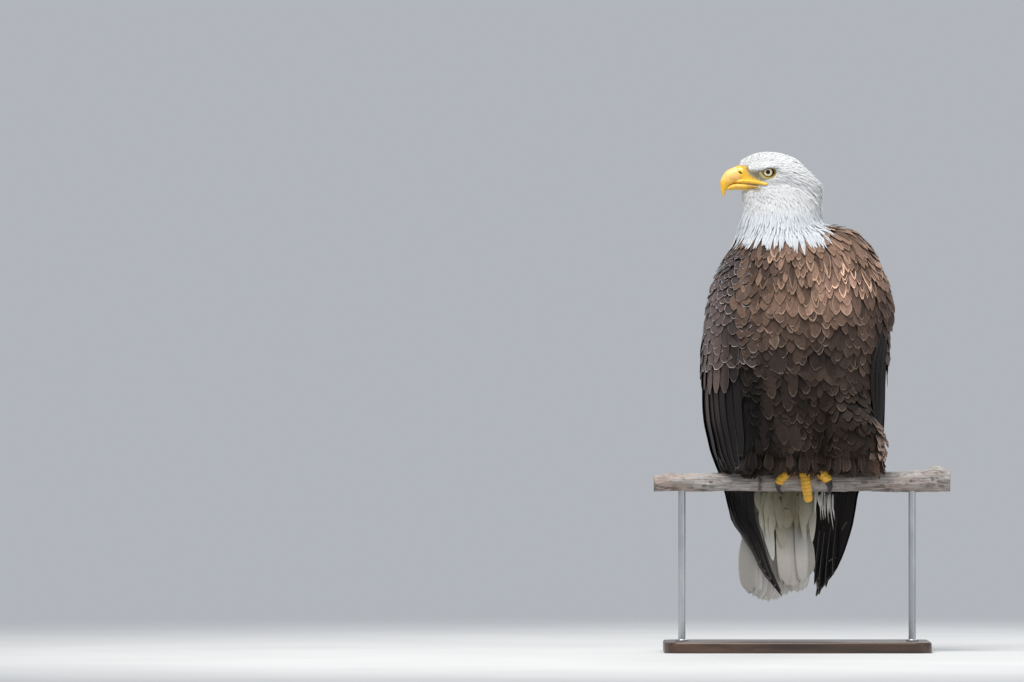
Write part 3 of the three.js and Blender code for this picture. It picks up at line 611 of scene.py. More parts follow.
def wing_share(p, side):
    phi = hull_angle(p) * WING_SIGN[side] / DEG
    a, b = np.moveaxis(WING_ARC[side](p[..., 2]), -1, 0)
    return (phi - a) / (b - a)


def coat_depth(p):
    u, v, z, white, rump = masks(p)
    body = 6.0 + 0 * u
    head = 1.8 + 1.3 * step(10, -45, u) + 0.9 * step(-20, -50, z)
    near = np.sqrt((np.maximum(np.abs(u - 42) - 12, 0)) ** 2 + (np.maximum(np.abs(z - 0) - 8, 0)) ** 2)
    head = head * (0.42 + 0.58 * step(2, 20, near))
    on_head = step(-75, -50, z)
    depth = body * (1 - on_head) + head * on_head
    return depth


depth = blurred(coat_depth(OUT), OUT_E, 6)
soft_n = unit(blurred(OUT_N, OUT_E, 6))
face_weight = step(-4, 10, head_local(OUT)[0]) * step(-45, -30, head_local(OUT)[2])
soft_n = unit(soft_n * (1 - face_weight[:, None]) + OUT_N * face_weight[:, None])
SKIN = OUT - soft_n * depth[:, None]
SKIN = blurred(SKIN, OUT_E, 2, np.clip(face_weight, 0, 1))


class Surface:
    """Nearest points, normals and fields on the plumage's outline."""

    def __init__(self, verts, quads, tris):
        faces = [list(map(int, f)) for f in quads] + [list(map(int, f)) for f in tris]
        self.tree = BVHTree.FromPolygons([Vector(v) for v in verts], faces)
        n, _ = normals_of(verts, quads)
        n = unit(blurred(n, OUT_E, 3))
        fn = n[quads].mean(1)
        if len(tris):
            fn = np.concatenate([fn, n[tris].mean(1)])
        self.normals = unit(fn)
        self.depths = np.concatenate([depth[quads].mean(1), depth[tris].mean(1) if len(tris) else np.zeros(0)])
        a, b, c, d = (verts[quads[:, k]] for k in range(4))
        self.area = np.concatenate([
            np.linalg.norm(np.cross(c - a, d - b), axis=1) / 2,
            np.linalg.norm(np.cross(verts[tris[:, 1]] - verts[tris[:, 0]], verts[tris[:, 2]] - verts[tris[:, 0]]), axis=1) / 2 if len(tris) else np.zeros(0)])
        self.verts, self.quads, self.tris = verts, quads, tris

    def nearest(self, p):
        loc = np.empty_like(p)
        idx = np.empty(len(p), int)
        find = self.tree.find_nearest
        for i, q in enumerate(p):
            l, _, k, _ = find(q)
            loc[i] = l
            idx[i] = k
        return loc, self.normals[idx], self.depths[idx]

    def samples(self, count, rng, keep):
        """Random places on the surface, evenly by area, where keep() holds. Only faces near such places are tried."""
        if not hasattr(self, "centres"):
            self.centres = self.verts[self.quads].mean(1)
        near = keep(self.centres)
        corner = np.zeros(len(self.verts), bool)
        corner[self.quads[near].ravel()] = True
        near = corner[self.quads].any(1)
        share = np.cumsum(self.area[: len(self.quads)] * near)
        at = np.searchsorted(share, rng.random(count) * share[-1])
        at = at[at < len(self.quads)]
        f = self.quads[at]
        s, t = rng.random(len(at))[:, None], rng.random(len(at))[:, None]
        v = self.verts
        p = (v[f[:, 0]] * (1 - s) + v[f[:, 1]] * s) * (1 - t) + (v[f[:, 3]] * (1 - s) + v[f[:, 2]] * s) * t
        ok = keep(p)
        return p[ok], self.normals[at][ok]


COAT = Surface(OUT, OUT_F, OUT_T)


def lie(p, n):
    """Which way the coat lies at places with normals n."""
    u, v, z = head_local(p)
    on_head = step(-72, -46, z)
    down = 0.32 + 1.0 * step(12, -34, z) + 3.2 * step(-30, -58, z)
    back = step(-72, -40, z)
    head = -HEAD_FORWARD * 1.0 * back[..., None] + np.array([0, 0, -1.0]) * down[..., None]
    radial = p - (HEAD_AT + np.array([0, 0, 0.0]))
    out = unit(np.stack([p[..., 0] + 20, p[..., 1] + 3, np.zeros(len(p))], -1))
    body = np.array([0, 0, -1.0]) + out * (0.75 * step(0.35, 0.95, n[..., 2]))[..., None]
    under = step(-0.4, -0.95, n[..., 2])
    body = body + np.array([0, 1.0, 0]) * (under * 1.2)[..., None]
    # over the wings the coat runs a little backwards
    back_way = np.array([0.0, 1.0, 0.0])
    for side in ("right", "left"):
        w = wing_share(p, side)
        on = step(-0.05, 0.08, w) * (1 - step(0.95, 1.05, w)) * step(300, 330, p[..., 2])
        body = body + back_way * (0.16 * on)[..., None]
    d = head * on_head[..., None] + body * (1 - on_head[..., None])
    d = d - n * (d * n).sum(-1, keepdims=True)
    return unit(d)


def scatter(points, along, across, dirs, sides, rng):
    """Picks places so that no two are closer than along and across the coat's lie."""
    n = len(points)
    cell = float(max(along.max(), across.max()))
    keys = np.floor(points / cell).astype(int)
    grid = {}
    taken = []
    P = points.tolist()
    D = dirs.tolist()
    T = sides.tolist()
    A = (1.0 / along).tolist()
    B = (1.0 / across).tolist()
    K = keys.tolist()
    around = [(a, b, c) for a in (-1, 0, 1) for b in (-1, 0, 1) for c in (-1, 0, 1)]
    for i in range(n):
        x, y, z = P[i]
        kx, ky, kz = K[i]
        dx, dy, dz = D[i]
        tx, ty, tz = T[i]
        ia, ib = A[i], B[i]
        free = True
        for a, b, c in around:
            for j in grid.get((kx + a, ky + b, kz + c), ()):
                qx, qy, qz = P[j]
                ex, ey, ez = qx - x, qy - y, qz - z
                s = (ex * dx + ey * dy + ez * dz) * ia
                t = (ex * tx + ey * ty + ez * tz) * ib
                if s * s + t * t < 1.0 and ex * ex + ey * ey + ez * ez < cell * cell:
                    free = False
                    break
            if not free:
                break
        if free:
            grid.setdefault((kx, ky, kz), []).append(i)
            taken.append(i)
    return np.array(taken, int)


def n_front(q):
    """Places on the front and sides, not beneath."""
    return q[:, 2] > 306


def plant(count, keep, spacing, seed):
    """Rooted places: points, normals and lie, spaced by spacing(points) -> along, across."""
    rng = np.random.default_rng(seed)
    p, n = COAT.samples(count, rng, keep)
    d = lie(p, n)
    t = unit(np.cross(n, d))
    a, b = spacing(p)
    pick = scatter(p, a, b, d, t, rng)
    return p[pick], n[pick], d[pick]


# ---------------------------------------------------------------- feathers


def unwrap(p):
    """Where a place lies on the skin's own unwrap, round the body's axis and up it."""
    k = step(600, 720, p[..., 2])
    low = 1 - step(190, 330, p[..., 2])
    cx = 8 * (1 - k) - 25 * k - 20 * low
    cy = 10 * (1 - k) - 3 * k + 60 * low
    a = np.arctan2(p[..., 0] - cx, -(p[..., 1] - cy)) / (2 * np.pi) + 0.5
    v = (p[..., 2] - 165) / 670.0
    return np.stack([0.02 + 0.95 * a, 0.02 + 0.96 * v], -1)


def outline(t, wide, tip, pe, qe, root=0.25):
    rise = root + (1 - root) * np.sin(np.pi / 2 * np.minimum(t / wide, 1))
    x = np.clip((t - wide) / (1 - wide), 0, 1)
    fall = tip + (1 - tip) * np.maximum(1 - x ** pe, 0) ** qe
    return np.where(t < wide, rise, fall)


def arr(x, n):
    return np.broadcast_to(np.asarray(x, float), (n,)).copy()


def build_vanes(C, N, D, W, L, t, H, rng, nu, camber, roll, tip_round, rag, split, thick, tint, fringe, band, strength, root_uv, droop=0.0, asym=0.0, shade=0.5, fray=None, rim_side=1.0, rim_fade=0.0):
    """Closed thin vanes. C, N, D: centre line, normal and run, each (n, nv, 3); W: half width (n, nv); H: lift (n, nv)."""
    n, nv, _ = C.shape
    s = np.linspace(-1, 1, nu)
    T = unit(np.cross(N, D))
    c, sn = np.cos(roll)[:, None, None], np.sin(roll)[:, None, None]
    T2 = T * c + N * sn
    N2 = N * c - T * sn
    w = W[..., None] * (1 + asym * s)  # (n, nv, nu)
    P = C[:, :, None] + N[:, :, None] * H[..., None, None] + T2[:, :, None] * (w * s)[..., None]
    P = P - N2[:, :, None] * (arr(camber, n)[:, None, None] * s ** 2 * W[..., None])[..., None]
    end = (arr(tip_round, n)[:, None, None] * np.abs(s) ** 2.2 * W[..., None] * (t ** 3)[None, :, None])
    blunt = np.clip(W[:, -1] / (0.34 * W.max(1)), 0, 1)[:, None, None] ** 1.5  # a narrow tip has no room for a torn edge
    jag = rng.random((n, 1, nu)) * arr(rag, n)[:, None, None] * (t ** 5)[None, :, None] * blunt
    zig = ((np.arange(nu) % 2)[None, None, :]) * arr(split, n)[:, None, None] * (t ** 6)[None, :, None] * blunt
    P = P - D[:, :, None] * (end + jag + zig)[..., None]
    if fray is not None:
        P = P + N2[:, :, None] * ((rng.random((n, 1, nu)) - 0.3) * arr(fray, n)[:, None, None] * (t ** 3)[None, :, None])[..., None]
    mid = (nu - 1) // 2
    B = (P[:, :, mid] - N2 * (thick * (1 - 0.5 * t))[None, :, None])[:, :-1]  # the spine beneath stops one step short of the tip
    verts = np.concatenate([P.reshape(n, nv * nu, 3), B], 1)
    k, j = np.meshgrid(np.arange(nv - 1), np.arange(nu - 1), indexing="ij")
    a = k * nu + j
    top = np.stack([a, a + nu, a + nu + 1, a + 1], -1).reshape(-1, 4)
    k = np.arange(nv - 2)
    left, right, b = k * nu, k * nu + nu - 1, nv * nu + k
    under = np.concatenate([
        np.stack([left, b, b + 1, left + nu], -1),
        np.stack([b, right, right + nu, b + 1], -1)])
    last, row, end = nv * nu + nv - 2, (nv - 2) * nu, (nv - 1) * nu
    j = np.arange(nu - 1)
    tips = np.concatenate([np.stack([end + j + 1, end + j, 0 * j + last], -1), [[row, last, end], [last, row + nu - 1, end + nu - 1]]])
    root_face = np.concatenate([np.arange(nu), [nv * nu]])[::-1][None]
    size = nv * nu + nv - 1
    off = (np.arange(n) * size)[:, None, None]
    quads = (np.concatenate([top, under])[None] + off).reshape(-1, 4)
    caps = (root_face[None] + off).reshape(-1, nu + 1)
    tips = (tips[None] + off).reshape(-1, 3)
    along = (L[:, None] * t)[..., None] * np.ones(nu)
    across = w * s
    end_way = (1 - t)[None, :, None] * L[:, None, None]
    rim = np.minimum((1 - np.abs(s)) * W[..., None] * arr(rim_side, n)[:, None, None] + end_way * arr(rim_fade, n)[:, None, None], end_way)
    vane = np.stack([across, along, rim], -1).reshape(n, nv * nu, 3)
    under_vane = np.stack([0 * H, L[:, None] * t, W * 0.6], -1)[:, :-1]
    vane = np.concatenate([vane, under_vane], 1)
    # painted shade: each vane darker towards its root, where it lies under the ones above, and its underside darker
    # still
    root_shade = (1 - shade) + shade * np.clip(t * 1.25, 0, 1)
    col = tint[:, None, :] * np.concatenate([np.repeat(root_shade, nu), root_shade[:-1] * 0.85])[None, :, None]
    fr = np.broadcast_to(fringe[:, None, :], col.shape)
    trait = np.stack([arr(rng.random(n), n), arr(band, n), arr(strength, n)], -1)
    trait = np.broadcast_to(trait[:, None, :], (n, size, 3))
    uv = np.stack([np.tile(s * 0.5, nv), np.repeat(t - 0.5, nu)], -1)
    uv = np.concatenate([uv, np.stack([0 * t, t - 0.5], -1)[:-1]])
    uv = root_uv[:, None, :] + 0.003 * uv[None]
    rim_flag = np.zeros(size, bool)
    rim_flag[np.arange(nv) * nu] = True
    rim_flag[np.arange(nv) * nu + nu - 1] = True
    rim_flag[(nv - 1) * nu:nv * nu] = True
    rim_flag[nv * nu + nv - 2] = True
    return {
        "verts": verts.reshape(-1, 3), "quads": quads, "caps": caps, "tips": tips, "vane": vane.reshape(-1, 3), "tint": col.reshape(-1, 3),
        "fringe": fr.reshape(-1, 3), "trait": trait.reshape(-1, 3), "uv": uv.reshape(-1, 2), "rim": np.tile(rim_flag, n),
        "tris": len(quads) * 2 + len(caps) * (nu - 1) + len(tips), "count": n,
    }


def feathers(p, n, d, L, W, seed, nu=5, nv=6, tip=0.3, wide=0.6, pe=2.0, qe=0.5, h0=None, h1=0.0, stick=1.0, loose=0.0, roll=0.1, bend=0.15,
             camber=0.12, tip_round=0.5, rag=1.0, split=0.0, thick=0.4, tint=None, fringe=None, band=1.2, strength=1.0, turn=0.0, shade=0.5, root=0.25, flow=0.25, fray=None, lift_power=1.0, rim_side=1.0, rim_fade=0.0, cling=(0.5, 2.5, 0.25)):
    rng = np.random.default_rng(seed)
    m = len(p)
    L, W = arr(L, m), arr(W, m)
    t = np.linspace(0, 1, nv) ** 0.85
    side = np.cross(n, d)
    a = (rng.random(m) - 0.5) * 2 * bend + turn
    dd = unit(d * np.cos(a)[:, None] + side * np.sin(a)[:, None])
    q, nn = p.copy(), n.copy()
    _, _, dep = COAT.nearest(p)
    C, NN, DD = [], [], []
    for k in range(nv):
        if k:
            cand = q + dd * (L * (t[k] - t[k - 1]))[:, None]
            loc, ln, _ = COAT.nearest(cand)
            diff = loc - cand
            far = np.linalg.norm(diff, axis=1)
            hold = np.where((far < cling[0] * L * (t[k] - t[k - 1]) + cling[1]) & ((ln * nn).sum(-1) > cling[2]), 1.0, 0.0) * arr(stick, m) * (1 - arr(loose, m) * t[k] ** 2)
            q = cand + diff * hold[:, None]
            nn = unit(nn * (1 - 0.85 * hold[:, None]) + ln * 0.85 * hold[:, None])
            f = lie(q, nn)
            dd = dd * (1 - flow * hold[:, None]) + f * flow * hold[:, None]
            dd = unit(dd - nn * (dd * nn).sum(-1, keepdims=True))
        C.append(q.copy())
        NN.append(nn.copy())
        DD.append(dd.copy())
    C, NN, DD = (np.stack(x, 1) for x in (C, NN, DD))
    base = -dep - 0.4 if h0 is None else arr(h0, m)
    H = base[:, None] + (arr(h1, m) - base)[:, None] * (t ** lift_power)[None]
    Wp = W[:, None] * outline(t[None], arr(wide, m)[:, None], arr(tip, m)[:, None], arr(pe, m)[:, None], arr(qe, m)[:, None], root)
    rolls = (rng.random(m) - 0.5) * 2 * roll
    return build_vanes(C, NN, DD, Wp, L, t, H, rng, nu, camber, rolls, tip_round, rag, split, thick, tint, fringe, band, strength, unwrap(p), shade=shade, fray=fray,
                       rim_side=rim_side, rim_fade=rim_fade)


def graded(batch, gain):
    """Change a set's colours by a gain that depends on the place."""
    g = gain(batch["verts"])
    batch["tint"], batch["fringe"] = batch["tint"] * g, batch["fringe"] * g
    return batch


TOTAL = {"coat": 0}


def coat_piece(name, batches, material, replaces=()):
    verts, quads, at = [], [], 0
    caps = {}
    for b in batches:
        verts.append(b["verts"])
        quads.append(b["quads"] + at)
        caps.setdefault(b["caps"].shape[1], []).append(b["caps"] + at)
        caps.setdefault(3, []).append(b["tips"] + at)
        at += len(b["verts"])
    ob = make(name, np.concatenate(verts), [np.concatenate(quads)] + [np.concatenate(c) for c in caps.values()])
    me = ob.data

    def add(key, kind, field, size):
        values = np.concatenate([b[key] for b in batches]).astype(np.float32)
        if kind == "FLOAT_COLOR":
            values = np.concatenate([values, np.ones((len(values), 1), np.float32)], 1)
        att = me.attributes.new(key, kind, "POINT")
        att.data.foreach_set(field, values.ravel())

    add("vane", "FLOAT_VECTOR", "vector", 3)
    add("trait", "FLOAT_VECTOR", "vector", 3)
    add("tint", "FLOAT_COLOR", "color", 4)
    add("fringe", "FLOAT_COLOR", "color", 4)
    rim = np.concatenate([b["rim"] for b in batches])
    e = np.empty(len(me.edges) * 2, np.int32)
    me.edges.foreach_get("vertices", e)
    e = e.reshape(-1, 2)
    att = me.attributes.new("sharp_edge", "BOOLEAN", "EDGE")
    att.data.foreach_set("value", rim[e].all(1))
    uv = np.concatenate([b["uv"] for b in batches])
    loops = np.empty(len(me.loops), np.int32)
    me.loops.foreach_get("vertex_index", loops)
    layer = me.uv_layers.new(name="OFBake")
    layer.uv.foreach_set("vector", uv[loops].astype(np.float32).ravel())
    tris = sum(b["tris"] for b in batches)
    TOTAL["coat"] += tris
    print(f"coat {name}: {sum(b['count'] for b in batches)} feathers, {tris} triangles")
    assert tris < 200000, name
    me.materials.append(material)
    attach(ob, "root")
    if replaces:
        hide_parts(*replaces)
    return ob


# ---------------------------------------------------------------- materials


class Nodes:
    """Short calls for a material's node tree."""

    def __init__(self, name):
        self.mat = bpy.data.materials.new(name)
        self.mat.use_nodes = True
        self.tree = self.mat.node_tree
        self.tree.nodes.clear()
        self.out = self.tree.nodes.new("ShaderNodeOutputMaterial")
        self.bsdf = self.tree.nodes.new("ShaderNodeBsdfPrincipled")
        self.link(self.bsdf.outputs[0], self.out.inputs[0])

    def link(self, a, b):
        self.tree.links.new(a, b)

    def put(self, socket, value):
        if isinstance(value, bpy.types.NodeSocket):
            self.link(value, socket)
        else:
            if socket.type == "RGBA" and len(value) == 3:
                value = (*value, 1.0)
            socket.default_value = value

    def set(self, **kw):
        for key, value in kw.items():
            self.put(self.bsdf.inputs[key.replace("_", " ")], value)

    def attribute(self, name, out="Vector"):
        n = self.tree.nodes.new("ShaderNodeAttribute")
        n.attribute_name = name
        return n.outputs[out]

    def split(self, v):
        n = self.tree.nodes.new("ShaderNodeSeparateXYZ")
        self.put(n.inputs[0], v)
        return n.outputs[0], n.outputs[1], n.outputs[2]

    def join(self, x, y, z):
        n = self.tree.nodes.new("ShaderNodeCombineXYZ")
        for s, v in zip(n.inputs, (x, y, z)):
            self.put(s, v)
        return n.outputs[0]

    def math(self, op, a, b=None, c=None, clamp=False):
        n = self.tree.nodes.new("ShaderNodeMath")
        n.operation = op
        n.use_clamp = clamp
        self.put(n.inputs[0], a)
        if b is not None:
            self.put(n.inputs[1], b)
        if c is not None:
            self.put(n.inputs[2], c)
        return n.outputs[0]

    def ramp(self, x, a, b, lo=0.0, hi=1.0, smooth=True):
        n = self.tree.nodes.new("ShaderNodeMapRange")
        n.interpolation_type = "SMOOTHSTEP" if smooth else "LINEAR"
        self.put(n.inputs["Value"], x)
        self.put(n.inputs["From Min"], a)
        self.put(n.inputs["From Max"], b)
        self.put(n.inputs["To Min"], lo)
        self.put(n.inputs["To Max"], hi)
        return n.outputs["Result"]

    def mix(self, f, a, b, blend="MIX"):
        n = self.tree.nodes.new("ShaderNodeMix")
        n.data_type = "RGBA"
        n.blend_type = blend
        self.put(n.inputs["Factor"], f)
        self.put(n.inputs["A"], a)
        self.put(n.inputs["B"], b)
        # the colour sockets are the typed ones
        return n.outputs["Result"]

    def noise(self, vector, scale, detail=2.0, rough=0.5, kind="3D", out="Fac", distort=0.0):
        n = self.tree.nodes.new("ShaderNodeTexNoise")
        n.noise_dimensions = kind
        if vector is not None:
            self.put(n.inputs["Vector"], vector)
        n.inputs["Scale"].default_value = scale
        n.inputs["Detail"].default_value = detail
        n.inputs["Roughness"].default_value = rough
        n.inputs["Distortion"].default_value = distort
        return n.outputs[out]

    def voronoi(self, vector, scale, feature="F1", out="Distance", random=1.0):
        n = self.tree.nodes.new("ShaderNodeTexVoronoi")
        n.feature = feature
        self.put(n.inputs["Vector"], vector)
        n.inputs["Scale"].default_value = scale
        n.inputs["Randomness"].default_value = random
        return n.outputs[out]

    def coords(self):
        """The object's own coordinates, in metres."""
        return self.tree.nodes.new("ShaderNodeTexCoord").outputs["Object"]

    def scaled(self, v, x, y, z, move=(0, 0, 0)):
        n = self.tree.nodes.new("ShaderNodeMapping")
        self.put(n.inputs["Vector"], v)
        n.inputs["Scale"].default_value = (x, y, z)
        n.inputs["Location"].default_value = move
        return n.outputs[0]

    def bump(self, height, strength=0.3, distance=0.001, normal=None):
        n = self.tree.nodes.new("ShaderNodeBump")
        n.inputs["Strength"].default_value = strength
        n.inputs["Distance"].default_value = distance
        self.put(n.inputs["Height"], height)
        if normal is not None:
            self.link(normal, n.inputs["Normal"])
        return n.outputs[0]


def color_mix(n, f, a, b, blend="MIX"):
    """Mix node's colour sockets by type, since the node has several of each name."""
    node = n.tree.nodes.new("ShaderNodeMix")
    node.data_type = "RGBA"
    node.blend_type = blend
    node.clamp_result = False
    fac = [s for s in node.inputs if s.name == "Factor" and s.type == "VALUE"][0]
    ca = [s for s in node.inputs if s.name == "A" and s.type == "RGBA"][0]
    cb = [s for s in node.inputs if s.name == "B" and s.type == "RGBA"][0]
    n.put(fac, f)
    n.put(ca, a)
    n.put(cb, b)
    return [s for s in node.outputs if s.type == "RGBA"][0]


Nodes.mix = color_mix


def vane_material(name, rough=0.62, streak=0.22, shaft=0.35, shaft_color=(0.02, 0.013, 0.01), sheen=0.15, bump=0.25, fine=1.1, worn=1.6, gloss=0.3):
    m = Nodes(name)
    across, along, rim = m.split(m.attribute("vane"))
    rand, band, strength = m.split(m.attribute("trait"))
    tint, fringe = m.attribute("tint", "Color"), m.attribute("fringe", "Color")
    far = m.math("ABSOLUTE", across)
    # barbs run out from the shaft and forwards, so their lines are slanted
    slant = m.math("MULTIPLY_ADD", far, -0.9, along)
    grain = m.join(m.math("MULTIPLY", slant, fine), m.math("MULTIPLY", across, 0.14), m.math("MULTIPLY", rand, 37.0))
    barbs = m.noise(grain, 1.0, 2.0, 0.6)
    broad = m.noise(m.join(m.math("MULTIPLY", slant, 0.22), m.math("MULTIPLY", across, 0.1), m.math("MULTIPLY", rand, 91.0)), 1.0, 1.0)
    # pale worn edge, its inner border broken along the barbs
    reach = m.math("MULTIPLY_ADD", m.math("SUBTRACT", barbs, 0.5), worn, rim)
    edge = m.ramp(reach, m.math("MULTIPLY", band, 1.25), m.math("MULTIPLY", band, 0.1))
    edge = m.math("MULTIPLY", edge, strength, clamp=True)
    lift = m.math("MULTIPLY_ADD", m.math("SUBTRACT", barbs, 0.5), streak * 2, 1.0)
    lift = m.math("MULTIPLY_ADD", m.math("SUBTRACT", broad, 0.5), streak * 2.2, lift)
    base = m.mix(1.0, tint, m.join(lift, lift, lift), "MULTIPLY")
    base = m.mix(edge, base, fringe)
    if shaft:
        line = m.math("MULTIPLY", m.ramp(far, 0.55, 0.15), shaft)
        base = m.mix(line, base, shaft_color)
    m.set(Base_Color=base, Roughness=rough, Normal=m.bump(barbs, bump, 0.0004))
    m.bsdf.inputs["Sheen Weight"].default_value = sheen
    m.bsdf.inputs["Sheen Roughness"].default_value = 0.5
    m.bsdf.inputs["Specular IOR Level"].default_value = gloss
    return m.mat


M_WHITE = vane_material("white_vanes", rough=0.7, streak=0.04, shaft=0.08, shaft_color=(0.66, 0.66, 0.65), sheen=0.1, bump=0.3, fine=1.6)
M_WHITE.node_tree.nodes["Principled BSDF"].inputs["Subsurface Weight"].default_value = 0.45
M_WHITE.node_tree.nodes["Principled BSDF"].inputs["Subsurface Radius"].default_value = (1.0, 1.0, 1.0)
M_WHITE.node_tree.nodes["Principled BSDF"].inputs["Subsurface Scale"].default_value = 0.004
M_BODY = vane_material("brown_vanes", rough=0.7, streak=0.34, shaft=0.35, sheen=0.04, bump=0.45, fine=1.3, worn=2.2, gloss=0.14)
M_WING = vane_material("covert_vanes", rough=0.55, streak=0.2, shaft=0.5, sheen=0.05, bump=0.4, fine=1.4, worn=1.2)
M_FLIGHT = vane_material("flight_vanes", rough=0.55, streak=0.28, shaft=0.3, shaft_color=(0.05, 0.04, 0.035), sheen=0.0, bump=0.5, fine=1.6, gloss=0.2)
M_TAIL = vane_material("tail_vanes", rough=0.62, streak=0.07, shaft=0.22, shaft_color=(0.42, 0.37, 0.30), sheen=0.05, bump=0.3, fine=1.6, worn=3.0)

# ---------------------------------------------------------------- markings and painted light and shade, the same for skin and coat

WHITE = np.array([0.82, 0.823, 0.825])
DARK = np.array([0.027, 0.0180, 0.0150])
MIDB = np.array([0.084, 0.0545, 0.0405])
PALE = np.array([0.44, 0.325, 0.245])
TAN = np.array([0.30, 0.20, 0.138])
BLACK = np.array([0.0125, 0.0095, 0.0095])
WINGC = np.array([0.034, 0.024, 0.021])


def lerp(a, b, f):
    f = np.asarray(f)[..., None]
    return a * (1 - f) + b * f


def painted_toplight_gain(p):
    """Painted light and shade on the brown: dark in painted shade by the legs, brighter in painted light up to the
    breast.
    """
    return np.interp(p[..., 2], [300, 400, 450, 500, 560], [0.34, 0.36, 0.48, 0.80, 1.02]) * painted_light_gain(p)


def fold_shade(p):
    """Share of the painted shade in the fold between the right wing and the belly."""
    return bell(p[..., 0] + 70, 31) * step(532, 494, p[..., 2]) * (1 - step(30, 75, p[..., 1]))


def painted_light_gain(p):
    # painted light and shade on the front of the body: pools of painted light and patches of painted shade, and painted
    # shade in the fold by the right wing
    x, z = p[..., 0], p[..., 2]
    front = 1 - step(40, 95, p[..., 1])
    g = 1 + front * (1.25 * bell(x - 74, 40) * bell(z - 630, 27) - 0.45 * bell(x + 66, 30) * bell(z - 634, 20) + 0.45 * bell(x + 8, 24) * bell(z - 366, 22))
    g = g * (1 + front * (0.35 * bell(x + 40, 50) * bell(z - 596, 20) - 0.25 * bell(x - 4, 24) * bell(z - 556, 18) - 0.35 * step(112, 136, x) * bell(z - 585, 45)))
    g = g * (1 - 0.52 * front * step(650, 668, z) * step(-34, -52, x)) * (1 + 0.35 * front * bell(x - 86, 26) * bell(z - 640, 24))
    return g * (1 - 0.86 * fold_shade(p))


def body_tint(p, rnd):
    """Brown of the body: in blotches and warmer on the breast; darker low down and brighter up the breast by painted
    shade and light from above.
    """
    big = noise(p, 46, 3)
    small = noise(p, 14, 5)
    f = np.clip(0.15 + 0.75 * big + 0.5 * (small - 0.5) + 0.35 * (rnd - 0.5), 0, 1)
    c = lerp(DARK * 1.05, MIDB * 1.15, f)
    # warmer and brighter on the breast: partly the feathers' own tan, partly painted light from above
    warm = step(500, 650, p[..., 2]) * (1 - 0.45 * step(40, 90, p[..., 1]))
    c = c * lerp(np.ones(3), np.array([2.35, 2.2, 2.1]), warm)
    return c * painted_toplight_gain(p)[..., None]


def rump_tint(p, rnd):
    stain = np.clip(step(215, 262, p[..., 2]) * 0.9 + 0.4 * (noise(p, 30, 11) - 0.5), 0, 1)
    c = lerp(np.array([0.62, 0.58, 0.50]), np.array([0.36, 0.31, 0.20]), stain)
    return c * (0.85 + 0.25 * rnd)[..., None]


def head_tint(p, rnd):
    u, v, z = head_local(p)
    # faint grey streaks behind the eye and along the cheek
    streak = noise(np.stack([u * 0.35 + z * 0.35, z * 1.0 - u * 0.25, np.sign(v) * 40], -1), 6.0, 21)
    cheek = bell(u + 2, 22) * bell(z + 6, 18) * step(15, 25, np.abs(v))
    back = 0.5 * step(700, 640, p[..., 2])
    grey = np.clip((streak - 0.48) * 2.6, 0, 1) * np.clip(cheek + 0.12, 0, 1)
    c = lerp(WHITE, np.array([0.50, 0.51, 0.56]), grey * 0.75)
    # painted shade: bluish grey under the jaw
    under = bell(u - 38, 16) * bell(z + 30, 7)
    c = lerp(c, np.array([0.62, 0.63, 0.66]), under * 0.5)
    corner = bell(u - 45, 7.5) * bell(z + 19, 3.4) * step(6, 12, np.abs(v))
    c = lerp(c, np.array([0.27, 0.21, 0.12]), np.clip(corner * 1.1, 0, 0.9))
    return c * (0.95 + 0.06 * rnd)[..., None]


FLANK_Z = np.linspace(350, 560, 43)
FLANK_PHI = []
for z in FLANK_Z:
    phi = np.linspace(15, 80, 131)
    FLANK_PHI.append(np.interp(np.interp(z, [372, 400, 440, 470, 500, 520], [133, 127, 123, 124, 130, 138]), np.maximum.accumulate(hull(phi * DEG, np.full(131, z))[:, 0]), phi))
FLANK_PHI = np.array(FLANK_PHI)


def far_wing(p, grow=0.0):
    """Share of a place beside the left flank where the closed wing's long feathers show."""
    z = p[..., 2]
    phi = hull_angle(p) / DEG
    on = step(-1.5, 1.5, phi - np.interp(z, FLANK_Z, FLANK_PHI)) * (1 - step(7, 10, phi - WING_ARC["left"](z)[..., 0]))
    return on * step(396 - 60 * step(58, 68, phi), 412 - 60 * step(58, 68, phi), z + grow) * (1 - step(510, 528, z - grow))


def skin_tint(p):
    u, v, z, white, rump = masks(p)
    c = lerp(body_tint(p, 0.5 + 0 * white) * 0.6, head_tint(p, 0.4 + 0 * white), white)
    c = lerp(c, rump_tint(p, 0.4 + 0 * white) * 0.8, rump)
    for side in ("right", "left"):
        w = wing_share(p, side)
        on = step(-0.03, 0.05, w) * (1 - step(0.97, 1.03, w)) * step(300, 312, p[..., 2]) * (1 - step(600, 690, p[..., 2]) * 0.5)
        c = lerp(c, np.broadcast_to(WINGC * 0.7, c.shape), on * (1 - white))
    return lerp(c, np.broadcast_to(BLACK, c.shape), far_wing(p))


def mouth_share(p):
    """Soft bare skin between the two halves of the gape."""
    u, v, z = head_local(p)
    low = np.interp(u, [34, 44, 56, 62], [-13.2, -15.6, -18.6, -19.4])
    return step(33, 37, u) * (1 - step(60, 64, u)) * step(-1.4, 0.4, z - low) * (1 - step(-11.5, -9.5, z)) * step(8, 14, np.abs(v))


